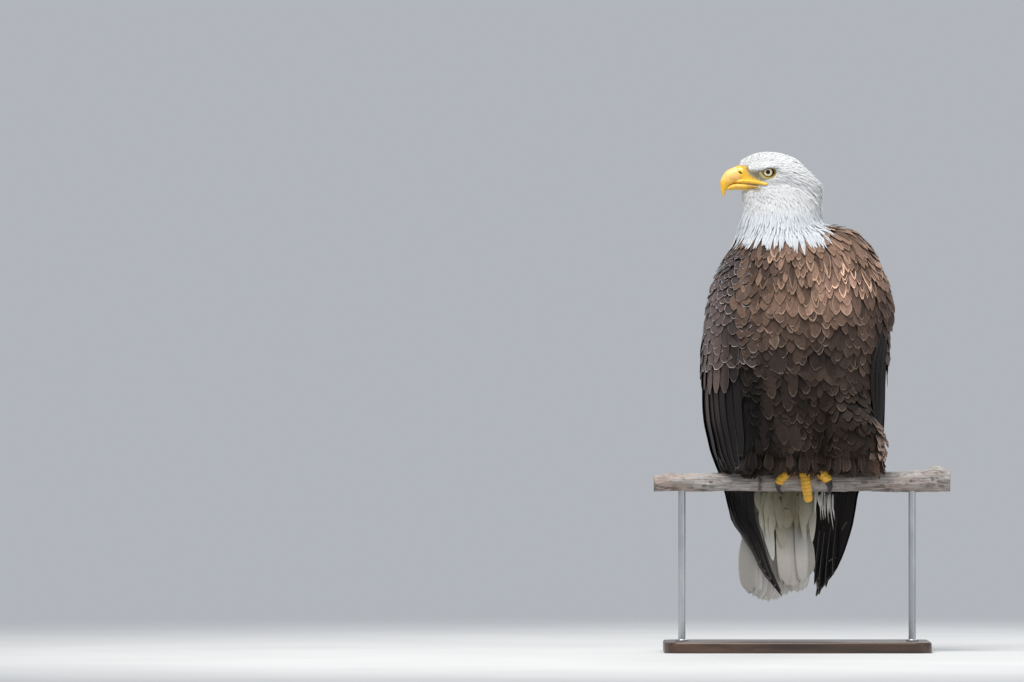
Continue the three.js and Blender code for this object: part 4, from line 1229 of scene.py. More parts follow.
def lore_share(p):
    """Bare skin between the eye and the bill, and round the eye."""
    u, v, z = head_local(p)
    side = step(12, 20, np.abs(v))
    line = BROW_LINE(u)[..., 0]
    patch = step(30, 36, u + 0.25 * (z - 2)) * step(-12.5, -9.0, z + 0.10 * (u - 45)) * (1 - step(-2.5, 0.5, z - line))
    base = step(54.5, 57.5, u) * step(-26, -22, z) * (1 - step(16.5, 19.5, z))
    rear = np.where(u < EYE_U, 10.9, 12.8)
    ring = 1 - step(0.94, 1.10, np.sqrt(((u - EYE_U) / rear) ** 2 + ((z - EYE_Z + 1) / 9.6) ** 2))
    ring = ring * (1 - step(-1.5, 1.0, z - line))
    return np.clip(np.maximum(np.maximum(patch, ring) * side, np.maximum(base, mouth_share(p))), 0, 1)


# ---- head: crown, cheeks and chin in small tufts
def on_white(p):
    return p[..., 2] > white_line(p) + 22


def head_zone(p):
    u, v, z = head_local(p)
    return (z > -50) & (lore_share(p) < 0.3) & ~((u > 54.5) & (z < 16.5) & (z > -24)) & (u < 71)


def head_scale(p):
    """0 by the bill and the eye, 1 on the nape and lower neck."""
    u, v, z = head_local(p)
    return np.clip(step(52, -30, u) * 0.75 + step(-10, -60, z) * 0.45 + step(-35, -60, u) * 0.2, 0, 1)


p, n, d = plant(90000, head_zone, lambda q: (2.1 + 4.4 * head_scale(q), 0.95 + 1.15 * head_scale(q)), 101)
rng = np.random.default_rng(102)
sc = head_scale(p)
u, v, z = head_local(p)
nape = step(-26, -50, u) * step(-48, -12, z)
chin = bell(u - 48, 14) * step(-18, -26, z)
L = (5.4 + 17.0 * sc + 5 * nape + 3 * chin) * (0.75 + 0.5 * rng.random(len(p)))
W = (0.95 + 1.15 * sc) * (0.8 + 0.4 * rng.random(len(p)))
stand = np.where(rng.random(len(p)) < 0.05 + 0.10 * nape + 0.2 * chin, 1.0, 0.0)
lift = 0.15 + 0.55 * rng.random(len(p)) * (0.25 + sc) + stand * (0.2 + 0.9 * nape + 1.0 * chin) * rng.random(len(p))
small = sc < 0.36
head_sets = []
for mask, nu, nv in ((small, 3, 4), (~small, 5, 6)):
    q = np.where(mask)[0]
    tint = head_tint(p[q], rng.random(len(q)))
    head_sets.append(feathers(
        p[q], n[q], d[q], L[q], W[q], 103 + nu, nu=nu, nv=nv, tip=0.05, wide=0.36, pe=1.25, qe=0.9, h1=lift[q], loose=0.08 + 0.7 * stand[q],
        roll=0.1, bend=0.13, camber=0.12, tip_round=0.2, rag=1.3, split=1.3, thick=0.22, tint=tint, fringe=tint * 1.02, band=0.3, strength=0.2, shade=0.04, lift_power=0.6))

# the brow's own row of short feathers, over the top of the eye
brow_u = np.concatenate([np.arange(1.0, 59.0, 1.35), np.arange(1.6, 57.0, 1.9)])
row = np.concatenate([np.zeros(len(np.arange(1.0, 59.0, 1.35))), np.ones(len(np.arange(1.6, 57.0, 1.9)))])
line = BROW_LINE(brow_u)[..., 0]
slope = (BROW_LINE(brow_u - 1.5)[..., 0] - BROW_LINE(brow_u + 1.5)[..., 0]) / 3.0
for sgn in (1, -1):
    q = head_point(brow_u, sgn * 44.0, line + 0.7 + 2.2 * row)
    loc, nn, _ = COAT.nearest(q)
    way = -HEAD_FORWARD + np.array([0, 0, 1.0]) * (slope - 0.26)[:, None]
    way = unit(way - nn * (way * nn).sum(-1, keepdims=True))
    tint = head_tint(loc, rng.random(len(loc)))
    thin = 1 - 0.35 * step(44, 58, brow_u)
    head_sets.append(feathers(loc, nn, way, (7.0 + 3.0 * rng.random(len(loc))) * thin, (1.25 + 0.4 * rng.random(len(loc))) * thin, 109 + sgn, nu=3, nv=5, tip=0.08, wide=0.4, pe=1.4, qe=0.8, h0=-0.9, h1=0.5 + 0.5 * rng.random(len(loc)),
                              stick=0.75, loose=0.3, roll=0.12, bend=0.07, camber=0.15, rag=1.0, split=0.6, thick=0.3, flow=0.0, tint=tint, fringe=tint, band=0.3, strength=0.2, shade=0.04, lift_power=0.6))

# lance-shaped nape feathers whose tips stand off the neck
p, n, d = plant(5000, lambda q: (head_local(q)[0] < -36) & (head_local(q)[2] > -40) & (head_local(q)[2] < 30), lambda q: (11.5 + 0 * q[:, 0], 7.5 + 0 * q[:, 0]), 115)
m = len(p)
tint = head_tint(p, rng.random(m))
head_sets.append(feathers(p, n, d, 15 + 9 * rng.random(m), 2.3 + 1.0 * rng.random(m), 117, nu=5, nv=8, tip=0.03, wide=0.35, pe=1.15, qe=0.95,
                          h1=1.0 + 4.2 * rng.random(m) ** 1.8, loose=0.5 + 0.5 * rng.random(m), roll=0.25, bend=0.2, camber=0.2, rag=1.2, split=1.6, thick=0.35, tint=tint, fringe=tint, band=0.3, strength=0.2, shade=0.05, lift_power=1.5))
COATS = {"coat_head": ([graded(b, lambda q: np.full((len(q), 1), 1.045)) for b in head_sets], M_WHITE, "head_feathers")}

# ---- neck: long white lance-shaped feathers that end in a jagged line over the brown
def round_neck(p):
    return np.arctan2(p[:, 0] + 22, -(p[:, 1] + 3))


LOCK = 11.5 * DEG


def lock_offset(p):
    """Angle from the middle of the lock of feathers that a place belongs to."""
    a = round_neck(p)
    a = a + 0.5 * LOCK * np.sin(a * 5.0 + 0.7) * 0.6 + 0.3 * LOCK * np.sin(a * 13.0 + 2.0)
    return a - LOCK * np.round(a / LOCK)


p, n, d = plant(60000, lambda q: on_white(q) & (head_local(q)[2] < -40) & (head_local(q)[2] > -140), lambda q: (7.6 + 0 * q[:, 0], 3.0 + 0 * q[:, 0]), 111)
rng = np.random.default_rng(112)
room = p[:, 2] - white_line(p)
off = lock_offset(p)
free_tip = np.clip(1 - np.abs(off) / (0.5 * LOCK), 0, 1)
L = 30 + 16 * rng.random(len(p))
low = room < 50
L = np.where(low, np.clip(room + 1 + 13 * free_tip ** 1.3 - 5 * rng.random(len(p)), 15, 60), L)
L = np.where(~low, np.minimum(L, room - 4), L)
turn = -off * 60.0 / np.maximum(L, 20) * (0.75 * low + 0.35)
W = 2.3 + 1.1 * rng.random(len(p))
tint = head_tint(p, rng.random(len(p)))
behind = step(-10, 40, p[:, 1])
lift = 0.2 + 0.9 * rng.random(len(p)) + 0.8 * behind * rng.random(len(p)) + 0.8 * free_tip * low
neck_sets = [feathers(
    p, n, d, L, W, 113, nu=7, nv=9, tip=0.05, wide=0.42, pe=1.25, qe=0.88, h1=lift, loose=0.1 * rng.random(len(p)) + 0.2 * behind * rng.random(len(p)), roll=0.14, bend=0.07, turn=turn, flow=0.12, camber=0.16,
    tip_round=0.15, rag=2.6, split=2.2, thick=0.32, tint=tint, fringe=tint * 1.02, band=0.4, strength=0.2, shade=0.04, lift_power=0.55, cling=(1.1, 4.0, -0.3))]
# painted shade: the neck turns a darker, bluish grey below the head
COATS["coat_neck"] = ([graded(b, lambda q: lerp(np.array([1.03, 1.03, 1.03]), np.array([0.80, 0.835, 0.885]) * (1 + 0.07 * step(0, 45, q[:, 0:1])), step(760, 716, q[:, 2]) * (1 - 0.5 * step(676, 650, q[:, 2])))) for b in neck_sets], M_WHITE, "head_feathers")


# ---- brown body
def on_wing(p, margin=0.0):
    out = np.zeros(len(p), bool)
    for side in ("right", "left"):
        w = wing_share(p, side)
        out |= (w > margin) & (w < 1 - margin) & (p[:, 2] > 306) & (p[:, 2] < 676)
    return out


def body_zone(p):
    u, v, z, white, rump = masks(p)
    return (p[:, 2] < white_line(p) + 30) & (rump < 0.5) & (~on_wing(p, 0.02)) & (p[:, 2] > 302) & (far_wing(p) < 0.4)


def body_style(p, rng):
    """Length, half width, pointedness and edge of a body feather by its place."""
    z = p[:, 2]
    front = 1 - step(30, 80, p[:, 1])
    breast = step(585, 640, z) * front
    mid = step(455, 500, z) * (1 - step(570, 630, z)) * front
    belly = (1 - step(440, 490, z)) * front
    leg = (1 - step(325, 385, z)) * front
    back = 1 - front
    L = 42 * breast + 44 * mid + 36 * belly + 4 * leg + 50 * back
    W = 7.6 * breast + 11.0 * mid + 8.8 * belly + 1.6 * leg + 13.0 * back
    total = breast + mid + belly + back
    L, W = L / np.maximum(total, 0.2), W / np.maximum(total, 0.2)
    r = rng.random(len(p))
    return L * (0.85 + 0.3 * r), W * (0.8 + 0.4 * rng.random(len(p))), breast, mid, belly, leg, back


def body_spacing(q):
    L, W, *_ = body_style(q, np.random.default_rng(0))
    _, _, breast, mid, belly, leg, back = body_style(q, np.random.default_rng(0))
    k = 0.82 + 0.36 * noise(q, 24, 15)
    return (12.0 + 2.0 * mid - 0.5 * leg + 3.5 * back) * k, (8.0 + 3.0 * mid + 1.6 * belly + 1.0 * leg + 6 * back) * k


p, n, d = plant(40000, body_zone, body_spacing, 121)
rng = np.random.default_rng(122)
L, W, breast, mid, belly, leg, back = body_style(p, rng)
uneven = 0.72 + 0.56 * noise(p, 24, 15)
L, W = L * uneven, W * uneven * (0.9 + 0.3 * (rng.random(len(p)) < 0.2))
room = p[:, 2] - 300
L = np.where(p[:, 2] < 345, np.clip(L, 10, np.maximum(room * 1.02 + 5, 14)), L)
tint = body_tint(p, rng.random(len(p)))
odd = rng.random(len(p))
tint = tint * np.where(odd < 0.16, 0.55, np.where(odd > 0.86, 1.55, 1.0))[:, None]
bright = np.clip(0.15 + 1.0 * noise(p, 30, 9) + 0.5 * (rng.random(len(p)) - 0.5) - 0.25 * leg, 0, 1)
fringe = lerp(TAN * 0.7, PALE, bright)
fringe = lerp(fringe, np.broadcast_to(np.array([0.42, 0.27, 0.17]), fringe.shape), breast * 0.7)
# the pale edges fade lower down and brighten up the breast: painted shade and light from above, with the same painted
# light gain
fringe = lerp(fringe, tint * 2.4, 0.3 + 0.3 * leg) * np.interp(p[:, 2], [300, 420, 500, 560, 620], [0.34, 0.42, 0.85, 1.1, 1.25])[:, None] * painted_light_gain(p)[:, None]
patchy = noise(p, 18, 17)
band = 1.5 + 3.0 * breast * rng.random(len(p)) + 1.0 * rng.random(len(p)) * (patchy > 0.5) + 0.8 * leg
round_edge = rng.random(len(p)) < 0.62 - 0.35 * breast
side_of = np.where(round_edge, 1.0 + 0.25 * rng.random(len(p)), 1.7)
fade_of = np.where(round_edge, 0.02 + 0.04 * rng.random(len(p)), 0.10 + 0.16 * rng.random(len(p)))
strength = np.clip(0.95 * step(0.28, 0.62, patchy + 0.25 * (rng.random(len(p)) - 0.5)) + 0.2 * breast + 0.08, 0, 1) * (0.55 + 0.45 * rng.random(len(p)))
body_sets = {"front": [], "low": [], "back": []}
for key, mask in (("front", (back < 0.5) & (p[:, 2] > 455)), ("low", (back < 0.5) & (p[:, 2] <= 455)), ("back", back >= 0.5)):
    for pointed in (True, False):
        q = np.where(mask & ((breast > 0.35) == pointed))[0]
        if not len(q):
            continue
        r = rng.random(len(q))
        body_sets[key].append(feathers(
            p[q], n[q], d[q], L[q], W[q], 123 + pointed, nu=11, nv=8,
            tip=(0.06 if pointed else 0.22) + 0.14 * rng.random(len(q)), wide=0.5 if pointed else 0.62, pe=1.7 if pointed else 1.9 + 0.6 * rng.random(len(q)), qe=0.8 if pointed else 0.55,
            h1=(0.1 + 1.1 * rng.random(len(q)) + 1.0 * leg[q] * rng.random(len(q)) + 1.2 * (rng.random(len(q)) < 0.1)), loose=0.1 + 0.3 * rng.random(len(q)) * (1 + leg[q]) / 2, roll=0.16, bend=0.27,
            camber=0.06 + 0.12 * rng.random(len(q)), tip_round=0.55 if not pointed else 0.3, rag=(1.6 + 2.6 * leg[q] * r + 2.4 * breast[q]) * (1 - 0.5 * back[q]), split=(0.7 + (2.4 + 2.5 * leg[q]) * (r < 0.28 + 0.4 * leg[q]) + 2.6 * breast[q] * (r < 0.6)) * (1 - 0.6 * back[q]),
            thick=0.4, tint=tint[q], fringe=fringe[q], band=band[q], strength=strength[q], shade=0.5, rim_side=side_of[q], rim_fade=fade_of[q], lift_power=0.75))
COATS["coat_breast"] = (body_sets["front"], M_BODY, "body_feathers")
COATS["coat_belly"] = (body_sets["low"], M_BODY, "body_feathers")
COATS["coat_back"] = (body_sets["back"], M_BODY, "body_feathers")


# ---- wing coverts
def covert_zone(side):
    def zone(p):
        w = wing_share(p, side)
        return (w > -0.02) & (w < 1.03) & (p[:, 2] > 500 + 14 * step(0.7, 0.2, w)) & (p[:, 2] < 690) & (p[:, 2] < white_line(p) + 12)
    return zone


def covert_style(p):
    z = p[:, 2]
    f = 1 - step(450, 668, z)
    return 30 + 26 * f ** 1.2, 10.0 + 6.0 * f, 10.5 + 8.0 * f, 10.0 + 5.5 * f


for side in ("right", "left"):
    p, n, d = plant(60000, covert_zone(side), lambda q: covert_style(q)[2:], 131 + (side == "left"))
    rng = np.random.default_rng(133 + (side == "left"))
    L, W, _, _ = covert_style(p)
    L = L * (0.85 + 0.3 * rng.random(len(p)))
    W = W * (0.88 + 0.24 * rng.random(len(p)))
    rnd = rng.random(len(p))
    tint = lerp(WINGC * 0.85, np.array([0.062, 0.041, 0.033]), np.clip(0.2 + 0.6 * noise(p, 40, 13) + 0.5 * (rnd - 0.5), 0, 1))
    fringe = lerp(np.array([0.22, 0.17, 0.15]), np.array([0.52, 0.45, 0.41]), rng.random(len(p)))
    strength = 0.75 + 0.25 * rng.random(len(p))
    if side == "right":
        # painted reflection: the outer coverts paler and bluish, as if they caught the sky
        painted_sky_sheen = 1 + 1.1 * step(-106, -130, p[:, 0:1])
        tint = tint * np.array([0.95, 0.98, 1.1]) * painted_sky_sheen
        fringe = fringe * np.array([1.15, 1.18, 1.25]) * (0.6 + 0.4 * painted_sky_sheen)
    if side == "left":
        warm = (1 - step(0.30, 0.8, wing_share(p, side)))
        tint = lerp(tint, body_tint(p, rnd) * 1.5, 0.9 * warm)
        fringe = lerp(fringe, np.array([0.46, 0.33, 0.245]), 0.7 * warm)
        strength = strength * (1 - 0.45 * warm)
    batch = feathers(
        p, n, d, L, W, 135 + (side == "left"), nu=9, nv=9, tip=0.34, wide=0.66, pe=2.5, qe=0.5, h1=0.6 + 0.7 * rng.random(len(p)) + 2.4 * (1 - step(510, 560, p[:, 2])), loose=0.12, roll=0.06, bend=0.1,
        camber=0.12, tip_round=0.4, rag=0.8, split=0.2, thick=0.45, tint=tint, fringe=fringe, band=1.0 + 0.5 * rng.random(len(p)), strength=strength, shade=0.5, rim_side=1.15, rim_fade=0.02)
    COATS["coat_wing_" + side] = ([batch], M_WING, "wing_feathers")


# ---- flight feathers and the long coverts over their roots, laid along the wing's own face
def along_wing(side, v0, z0, v1, z1, half, h0, h1, tilt, seed, nu=7, nv=22, tip=0.2, wide=0.55, pe=3.0, qe=0.6, bow=0.0, rag=1.2, split=0.6, camber=0.05,
               tint=None, fringe=None, band=0.9, strength=0.6, tip_round=0.5, asym=0.0, shade=0.3, thick=0.5, limit=0.8, rim_side=1.4, rim_fade=0.01, inner=False):
    wing = WINGS[side]
    rng = np.random.default_rng(seed)
    v0, z0, v1, z1, half = (np.atleast_1d(np.asarray(x, float)) for x in (v0, z0, v1, z1, half))
    m = len(v0)
    t = np.linspace(0, 1, nv)
    z = z0[:, None] + (z1 - z0)[:, None] * t
    v = v0[:, None] + (v1 - v0)[:, None] * (t ** 1.2)[None] + np.asarray(bow) * np.sin(np.pi * t)[None]
    C = wing.point(v, z)
    a, up, N = wing.frame_at(v, z)
    D = unit(np.gradient(C, axis=1))
    N = unit(N - D * (N * D).sum(-1, keepdims=True)) * (-1 if inner else 1)
    L = np.abs(z0 - z1)
    W = half[:, None] * outline(t[None], wide, tip, pe, qe, 0.45)
    wide_here = np.linalg.norm(wing.point(1.0, z) - wing.point(0.0, z), axis=-1)
    W = np.minimum(W, np.maximum(limit * wide_here, 1.5))
    H = (arr(h0, m)[:, None] + (arr(h1, m) - arr(h0, m))[:, None] * t[None]) * (-1 if inner else 1)
    roll = arr(tilt, m)
    root = C[:, 0]
    return build_vanes(C, N, D, W, L, t, H, rng, nu, camber, roll, tip_round, rag, split, thick, tint, fringe, band, strength, unwrap(root), asym=asym, shade=shade, rim_side=rim_side, rim_fade=rim_fade)


def flight_tints(m, rng, base, pale, lo=0.3, hi=0.9, calm=0.0):
    f = rng.random(m)
    pale = np.asarray(pale)
    tint = base[None] * (0.75 + 0.6 * f)[:, None]
    fringe = pale[None] * (0.5 + 0.6 * rng.random(m))[:, None] * np.where(rng.random(m) < 0.35, 2.6, 1.0)[:, None]
    fringe = lerp(fringe, tint * 1.9, np.asarray(calm) * np.ones(m))
    return dict(tint=tint, fringe=fringe, strength=lo + (hi - lo) * rng.random(m))


PALE_EDGE = np.array([0.17, 0.145, 0.13])
for side in ("right", "left"):
    rng = np.random.default_rng(151 + (side == "left"))
    sg = WING_SIGN[side]
    sets = []
    right = side == "right"
    # primaries: the free blade. They lie like shingles, each one's front edge over the one before it.
    k = 10
    f = np.linspace(0, 1, k)
    tips = np.array([91, 98, 107, 118, 131, 146, 162, 178, 192, 204]) if right else np.array([108, 101, 95, 91, 89, 90, 94, 100, 108, 120])
    sets.append(along_wing(side, 0.06 + 0.86 * f, np.full(k, 420.0), np.array([0.45, 0.40, 0.38, 0.36, 0.36, 0.40, 0.48, 0.60, 0.74, 0.88]) if right else np.linspace(0.16, 0.80, k), tips,
                           np.linspace(11.5, 13.5, k), -5.4 - 0.25 * f, -0.6 + 0.5 * f, -sg * 0.10, 153, tip=0.12, pe=2.4, qe=0.8, rag=1.5, split=0.8,
                           band=1.0, rim_side=1.6, **flight_tints(k, rng, BLACK * 0.9, PALE_EDGE * 1.7, 0.5, 1.0, calm=0.0 * f + (0.7 * step(0.3, 0.6, f) if right else 0.15))))
    # inner layer that closes the blade from behind
    near = (1 - f) if right else f
    under = flight_tints(k, rng, BLACK * 1.1, PALE_EDGE * 1.5, 0.4, 0.95)
    under["tint"] = under["tint"] * lerp(np.array([1.15, 0.95, 0.9]), np.array([0.85, 1.05, 1.45]), rng.random(k))
    sets.append(along_wing(side, 0.05 + 0.88 * f, np.full(k, 400.0), np.linspace(0.2, 0.78, k), tips + np.array([6, -1, 9, 2, 10, 0, 7, 3, 9, 2]), np.full(k, 11.0), -6.4 + 0.4 * near, -2.4 + 1.3 * f, sg * 0.14, 154, tip=0.16, wide=0.6, pe=2.2, qe=0.75,
                           rag=2.5, split=2.0, band=1.1, rim_side=1.5, rim_fade=0.004, inner=True, **under))
    # secondaries
    k = 15
    f = np.linspace(0, 1, k)
    tips = (np.interp(f, [0, 0.25, 0.55, 0.8, 1], [318, 282, 240, 214, 232]) if right else np.interp(f, [0, 0.3, 0.6, 1], [262, 244, 232, 240])) + rng.uniform(-5, 5, k)
    v_at = (0.13 if right else 0.08) + (0.81 if right else 0.86) * f
    sets.append(along_wing(side, v_at, np.full(k, 500.0), v_at, tips, np.full(k, 12.5), -5.0, 0.6, -sg * 0.12, 155, tip=0.28, pe=2.6, qe=0.6,
                           band=1.0, rim_side=1.5, **flight_tints(k, rng, BLACK, PALE_EDGE * 1.8, 0.45, 1.0, calm=step(0.25, 0.55, v_at))))
    # tertials: broad, browner, over the rear half
    k = 6
    f = np.linspace(0, 1, k)
    sets.append(along_wing(side, 0.40 + 0.55 * f, np.full(k, 520.0), 0.42 + 0.52 * f, 262 + 58 * (1 - f) + rng.uniform(-8, 8, k), np.full(k, 16.0), -4.8, 1.6, -sg * 0.10, 157, tip=0.32, wide=0.6, pe=2.4, qe=0.55,
                           band=1.1, **flight_tints(k, rng, WINGC * 0.8, PALE_EDGE * 1.2, 0.4, 0.9, calm=0.8)))
    # greater coverts
    k = 13
    f = np.linspace(0, 1, k)
    v_at = (0.12 if right else 0.06) + (0.85 if right else 0.91) * f
    sets.append(along_wing(side, v_at, 548 + 0 * f, v_at, 441 - 16 * f + rng.uniform(-17, 17, k), np.full(k, 12.0), -4.6 if right else -7.0, 1.9 if right else 1.2, -sg * (0.12 if right else 0.08), 159, nv=16, tip=0.30, wide=0.62, pe=2.3, qe=0.5,
                           band=1.0, **flight_tints(k, rng, WINGC, PALE_EDGE * 1.7, 0.6, 1.0, calm=step(0.25, 0.55, v_at) * 0.8)))
    k = 14
    f = np.linspace(0, 1, k)
    v_at = (0.11 if right else 0.05) + (0.86 if right else 0.92) * f
    sets.append(along_wing(side, v_at, 552 + 0 * f, v_at, 476 - 8 * f + rng.uniform(-15, 15, k), np.full(k, 11.0), -4.2 if right else -8.0, 2.4 if right else 1.7, -sg * (0.12 if right else 0.08), 161, nv=12, tip=0.30, wide=0.62, pe=2.3, qe=0.5,
                           band=1.0, **flight_tints(k, rng, WINGC * 1.1, PALE_EDGE * 1.8, 0.6, 1.0, calm=step(0.25, 0.55, v_at) * 0.8)))
    if right:
        # painted shade in the fold by the belly, and a painted bluish sheen on the outer edge of the wing
        sets = [graded(b, lambda q: (1 - 0.62 * fold_shade(q))[:, None] * (1 + 2.4 * step(-114, -136, q[:, 0:1]) * step(350, 395, q[:, 2:3]) * np.array([1.0, 0.98, 1.0]))) for b in sets]
        for b in sets:
            b["fringe"] = np.minimum(b["fringe"], 0.30)
    COATS["flight_" + side] = (sets, M_FLIGHT, "flight_feathers")

# ---- tail coverts, above and below the tail
p, n, d = plant(30000, lambda q: (masks(q)[4] > 0.5) & (q[:, 2] > 186) & (q[:, 2] < 316) & (q[:, 1] > -20) & ~((q[:, 2] > 292) & (np.abs(q[:, 0] + 8) > 44)), lambda q: (15.0 + 0 * q[:, 0], 9.5 + 0 * q[:, 0]), 171)
rng = np.random.default_rng(172)
L = np.clip(48 + 30 * rng.random(len(p)), 20, (p[:, 2] - 150) * 0.95)
tint = rump_tint(p, rng.random(len(p)))
batch = feathers(p, n, d, L, 7.5 + 3.5 * rng.random(len(p)), 173, nu=7, nv=9, tip=0.12, wide=0.5, pe=1.6, qe=0.7, h1=0.5 + 2.0 * rng.random(len(p)), loose=0.5 * rng.random(len(p)),
                 roll=0.2, bend=0.14, camber=0.15, tip_round=0.3, rag=3.5, split=2.5, thick=0.45, tint=tint, fringe=tint * 1.25, band=1.2, strength=0.5, shade=0.2)
COATS["coat_tail"] = ([batch], M_TAIL, "tail_feathers")


# ---- free vanes along given curves
def free_vanes(curves, normals, half, seed, nu=7, nv=16, tip=0.2, wide=0.5, pe=2.0, qe=0.6, camber=0.1, roll=0.0, tip_round=0.4, rag=1.5, split=1.0, thick=0.45, root=0.3, **look):
    rng = np.random.default_rng(seed)
    m = len(curves)
    C = np.stack([curve(c, nv)[0] for c in curves])
    D = unit(np.gradient(C, axis=1))
    N = np.broadcast_to(np.asarray(normals, float).reshape(-1, 1, 3), C.shape)
    N = unit(N - D * (N * D).sum(-1, keepdims=True))
    t = np.linspace(0, 1, nv)
    L = np.linalg.norm(np.diff(C, axis=1), axis=-1).sum(1)
    W = arr(half, m)[:, None] * outline(t[None], wide, tip, pe, qe, root)
    for key, value in (("tint", (0.5, 0.5, 0.5)), ("fringe", (0.5, 0.5, 0.5))):
        look[key] = np.broadcast_to(np.asarray(look.get(key, value), float), (m, 3))
    return build_vanes(C, N, D, W, L, t, 0 * W, rng, nu, camber, arr(roll, m), tip_round, rag, split, thick, look["tint"], look["fringe"],
                       look.get("band", 1.0), look.get("strength", 0.5), unwrap(C[:, 0]), shade=look.get("shade", 0.2))


def on_tail(x, depth, z):
    return [x, x * math.tan(BODY_TURN) + depth / math.cos(BODY_TURN), z]


TIPS = [93, 88, 83, 80, 79, 80, 84, 88, 92, 101, 94, 99, 118]
rng = np.random.default_rng(181)
paths, tints, norms = [], [], []
for i in range(13):
    f = i / 12
    g = abs(2 * f - 1)
    layer = 9 * g + 1.2 * (i % 2)
    x0, x1, x2 = -60 + 64 * f, -80 + 98 * f, -77 + 98 * f
    paths.append([on_tail(x0, 94 - layer, 246), on_tail(x1, 101 - layer, 165), on_tail(x2, 111 - layer, TIPS[i])])
    tints.append((np.array([0.69, 0.68, 0.645]) if i % 3 else np.array([0.60, 0.57, 0.52])) * (0.86 + 0.22 * rng.random()))
    norms.append(turned(0.35 * (2 * f - 1), -1, 0))
tints = np.array(tints)
tail_set = free_vanes(paths, np.array(norms), 14.5 + 1.5 * rng.random(13), 183, nu=11, nv=30, tip=0.55, wide=0.7, pe=3.0, qe=0.5, camber=0.14, roll=0.10, tip_round=0.42, rag=7.0, split=2.2, thick=0.8, root=0.35,
                      tint=tints, fringe=np.array([0.84, 0.81, 0.75]), band=2.0, strength=0.8, shade=0.25)
front = free_vanes([[on_tail(-12, 66, 268), on_tail(-8, 75, 180), on_tail(-2, 89, 104)], [on_tail(-24, 64, 268), on_tail(-20, 71, 190), on_tail(-16, 85, 107)], [on_tail(2, 63, 268), on_tail(8, 70, 190), on_tail(12, 83, 111)]],
                   turned(0.05, -1, 0)[None], np.array([21.0, 14.0, 11.0]), 184, nu=15, nv=30, tip=0.42, wide=0.62, pe=2.6, qe=0.55, camber=0.12,
                   tip_round=0.45, rag=3.6, split=1.8, thick=0.8, root=0.5, tint=np.array([[0.66, 0.63, 0.58], [0.61, 0.575, 0.51], [0.64, 0.615, 0.565]]), fringe=np.array([0.56, 0.50, 0.42]), band=3.4, strength=0.55, shade=0.3)
# lance-shaped feathers beneath the tail
LANCES = [
    (-46, 270, -48, 218, -38, 149, 9.5, 62), (-74, 262, -78, 220, -72, 172, 8.0, 70), (-60, 268, -64, 220, -58, 160, 9.0, 67), (-26, 272, -28, 226, -20, 168, 10.0, 56),
    (18, 266, 15, 226, 10.5, 188, 4.5, 54), (26, 262, 27, 222, 27, 180, 6.0, 60), (6, 270, 4, 232, 0, 200, 8.0, 50), (-12, 272, -12, 236, -10, 206, 10.0, 48), (-36, 272, -38, 240, -34, 206, 9.0, 52)]
rng = np.random.default_rng(186)
lance_tint = np.array([[0.66, 0.65, 0.60], [0.66, 0.64, 0.58], [0.60, 0.575, 0.49], [0.50, 0.465, 0.375], [0.70, 0.69, 0.65], [0.62, 0.60, 0.54], [0.47, 0.435, 0.335], [0.45, 0.41, 0.31], [0.51, 0.475, 0.385]])
lances = free_vanes([[on_tail(a, g, b), on_tail(c, g + 5, d), on_tail(e, g + 14, f)] for a, b, c, d, e, f, _, g in LANCES], turned(0.0, -1, 0)[None], np.array([k[6] for k in LANCES]) * 1.12, 188, nu=11, nv=16,
                    tip=0.10, wide=0.45, pe=1.6, qe=0.7, camber=0.10, roll=0.08, rag=5.0, split=4.0, thick=0.5, root=0.5, tint=lance_tint * 0.97, fringe=lance_tint * 1.08, band=3.0, strength=0.6, shade=0.2)
# soft down over their roots
rng = np.random.default_rng(211)
down, dn_tint = [], []
for k in range(26):
    x = -66 + 92 * (k + 0.8 * rng.random()) / 26
    z = 274 - 10 * rng.random() - 14 * (k % 3)
    drop = 30 + 26 * rng.random()
    lean = rng.uniform(-4, 4) + 6 * math.sin(k * 0.7)
    g = 46 + 3.0 * (k % 3) + 4 * rng.random()
    down.append([on_tail(x, g, z), on_tail(x + 0.6 * lean, g + 3, z - 0.5 * drop), on_tail(x + lean, g + 9, z - drop)])
    dn_tint.append(lerp(np.array([0.42, 0.385, 0.285]), np.array([0.60, 0.575, 0.50]), np.clip((274 - z + 0.4 * drop) / 52 + 0.3 * (rng.random() - 0.5), 0, 1)))
down_set = free_vanes(down, turned(0.05, -1, 0)[None], 5.0 + 3.5 * rng.random(26), 213, nu=9, nv=10, tip=0.12, wide=0.5, pe=1.7, qe=0.7, camber=0.12, roll=(rng.random(26) - 0.5) * 0.3, rag=4.5, split=4.5, thick=0.4, root=0.5,
                      tint=np.array(dn_tint), fringe=np.array(dn_tint) * 1.1, band=2.5, strength=0.5, shade=0.15)


def tail_gain(q):
    """Olive stain and painted shade from the branch and body towards the root in the middle, clear further down."""
    z = q[:, 2]
    mid, side_part = np.interp(z, [120, 155, 185, 205, 222, 262], [1.18, 1.22, 0.86, 0.52, 0.36, 0.30]), np.interp(z, [120, 155, 195, 230, 262], [1.12, 1.14, 0.95, 0.66, 0.42])
    w = bell(q[:, 0] + 14, 30)
    side_part = side_part * (1 - 0.30 * step(-52, -74, q[:, 0]))
    mid = mid * (1 - 0.42 * bell(q[:, 0] - 8, 15) * bell(z - 188, 22))
    olive = (step(178, 228, z) * (0.35 + 0.65 * w))[:, None]
    return (side_part * (1 - w) + mid * w)[:, None] * lerp(np.ones(3), np.array([1.0, 0.96, 0.74]), olive[:, 0])


COATS["tail"] = ([graded(b, tail_gain) for b in (tail_set, front, lances, down_set)], M_TAIL, "tail_feathers")



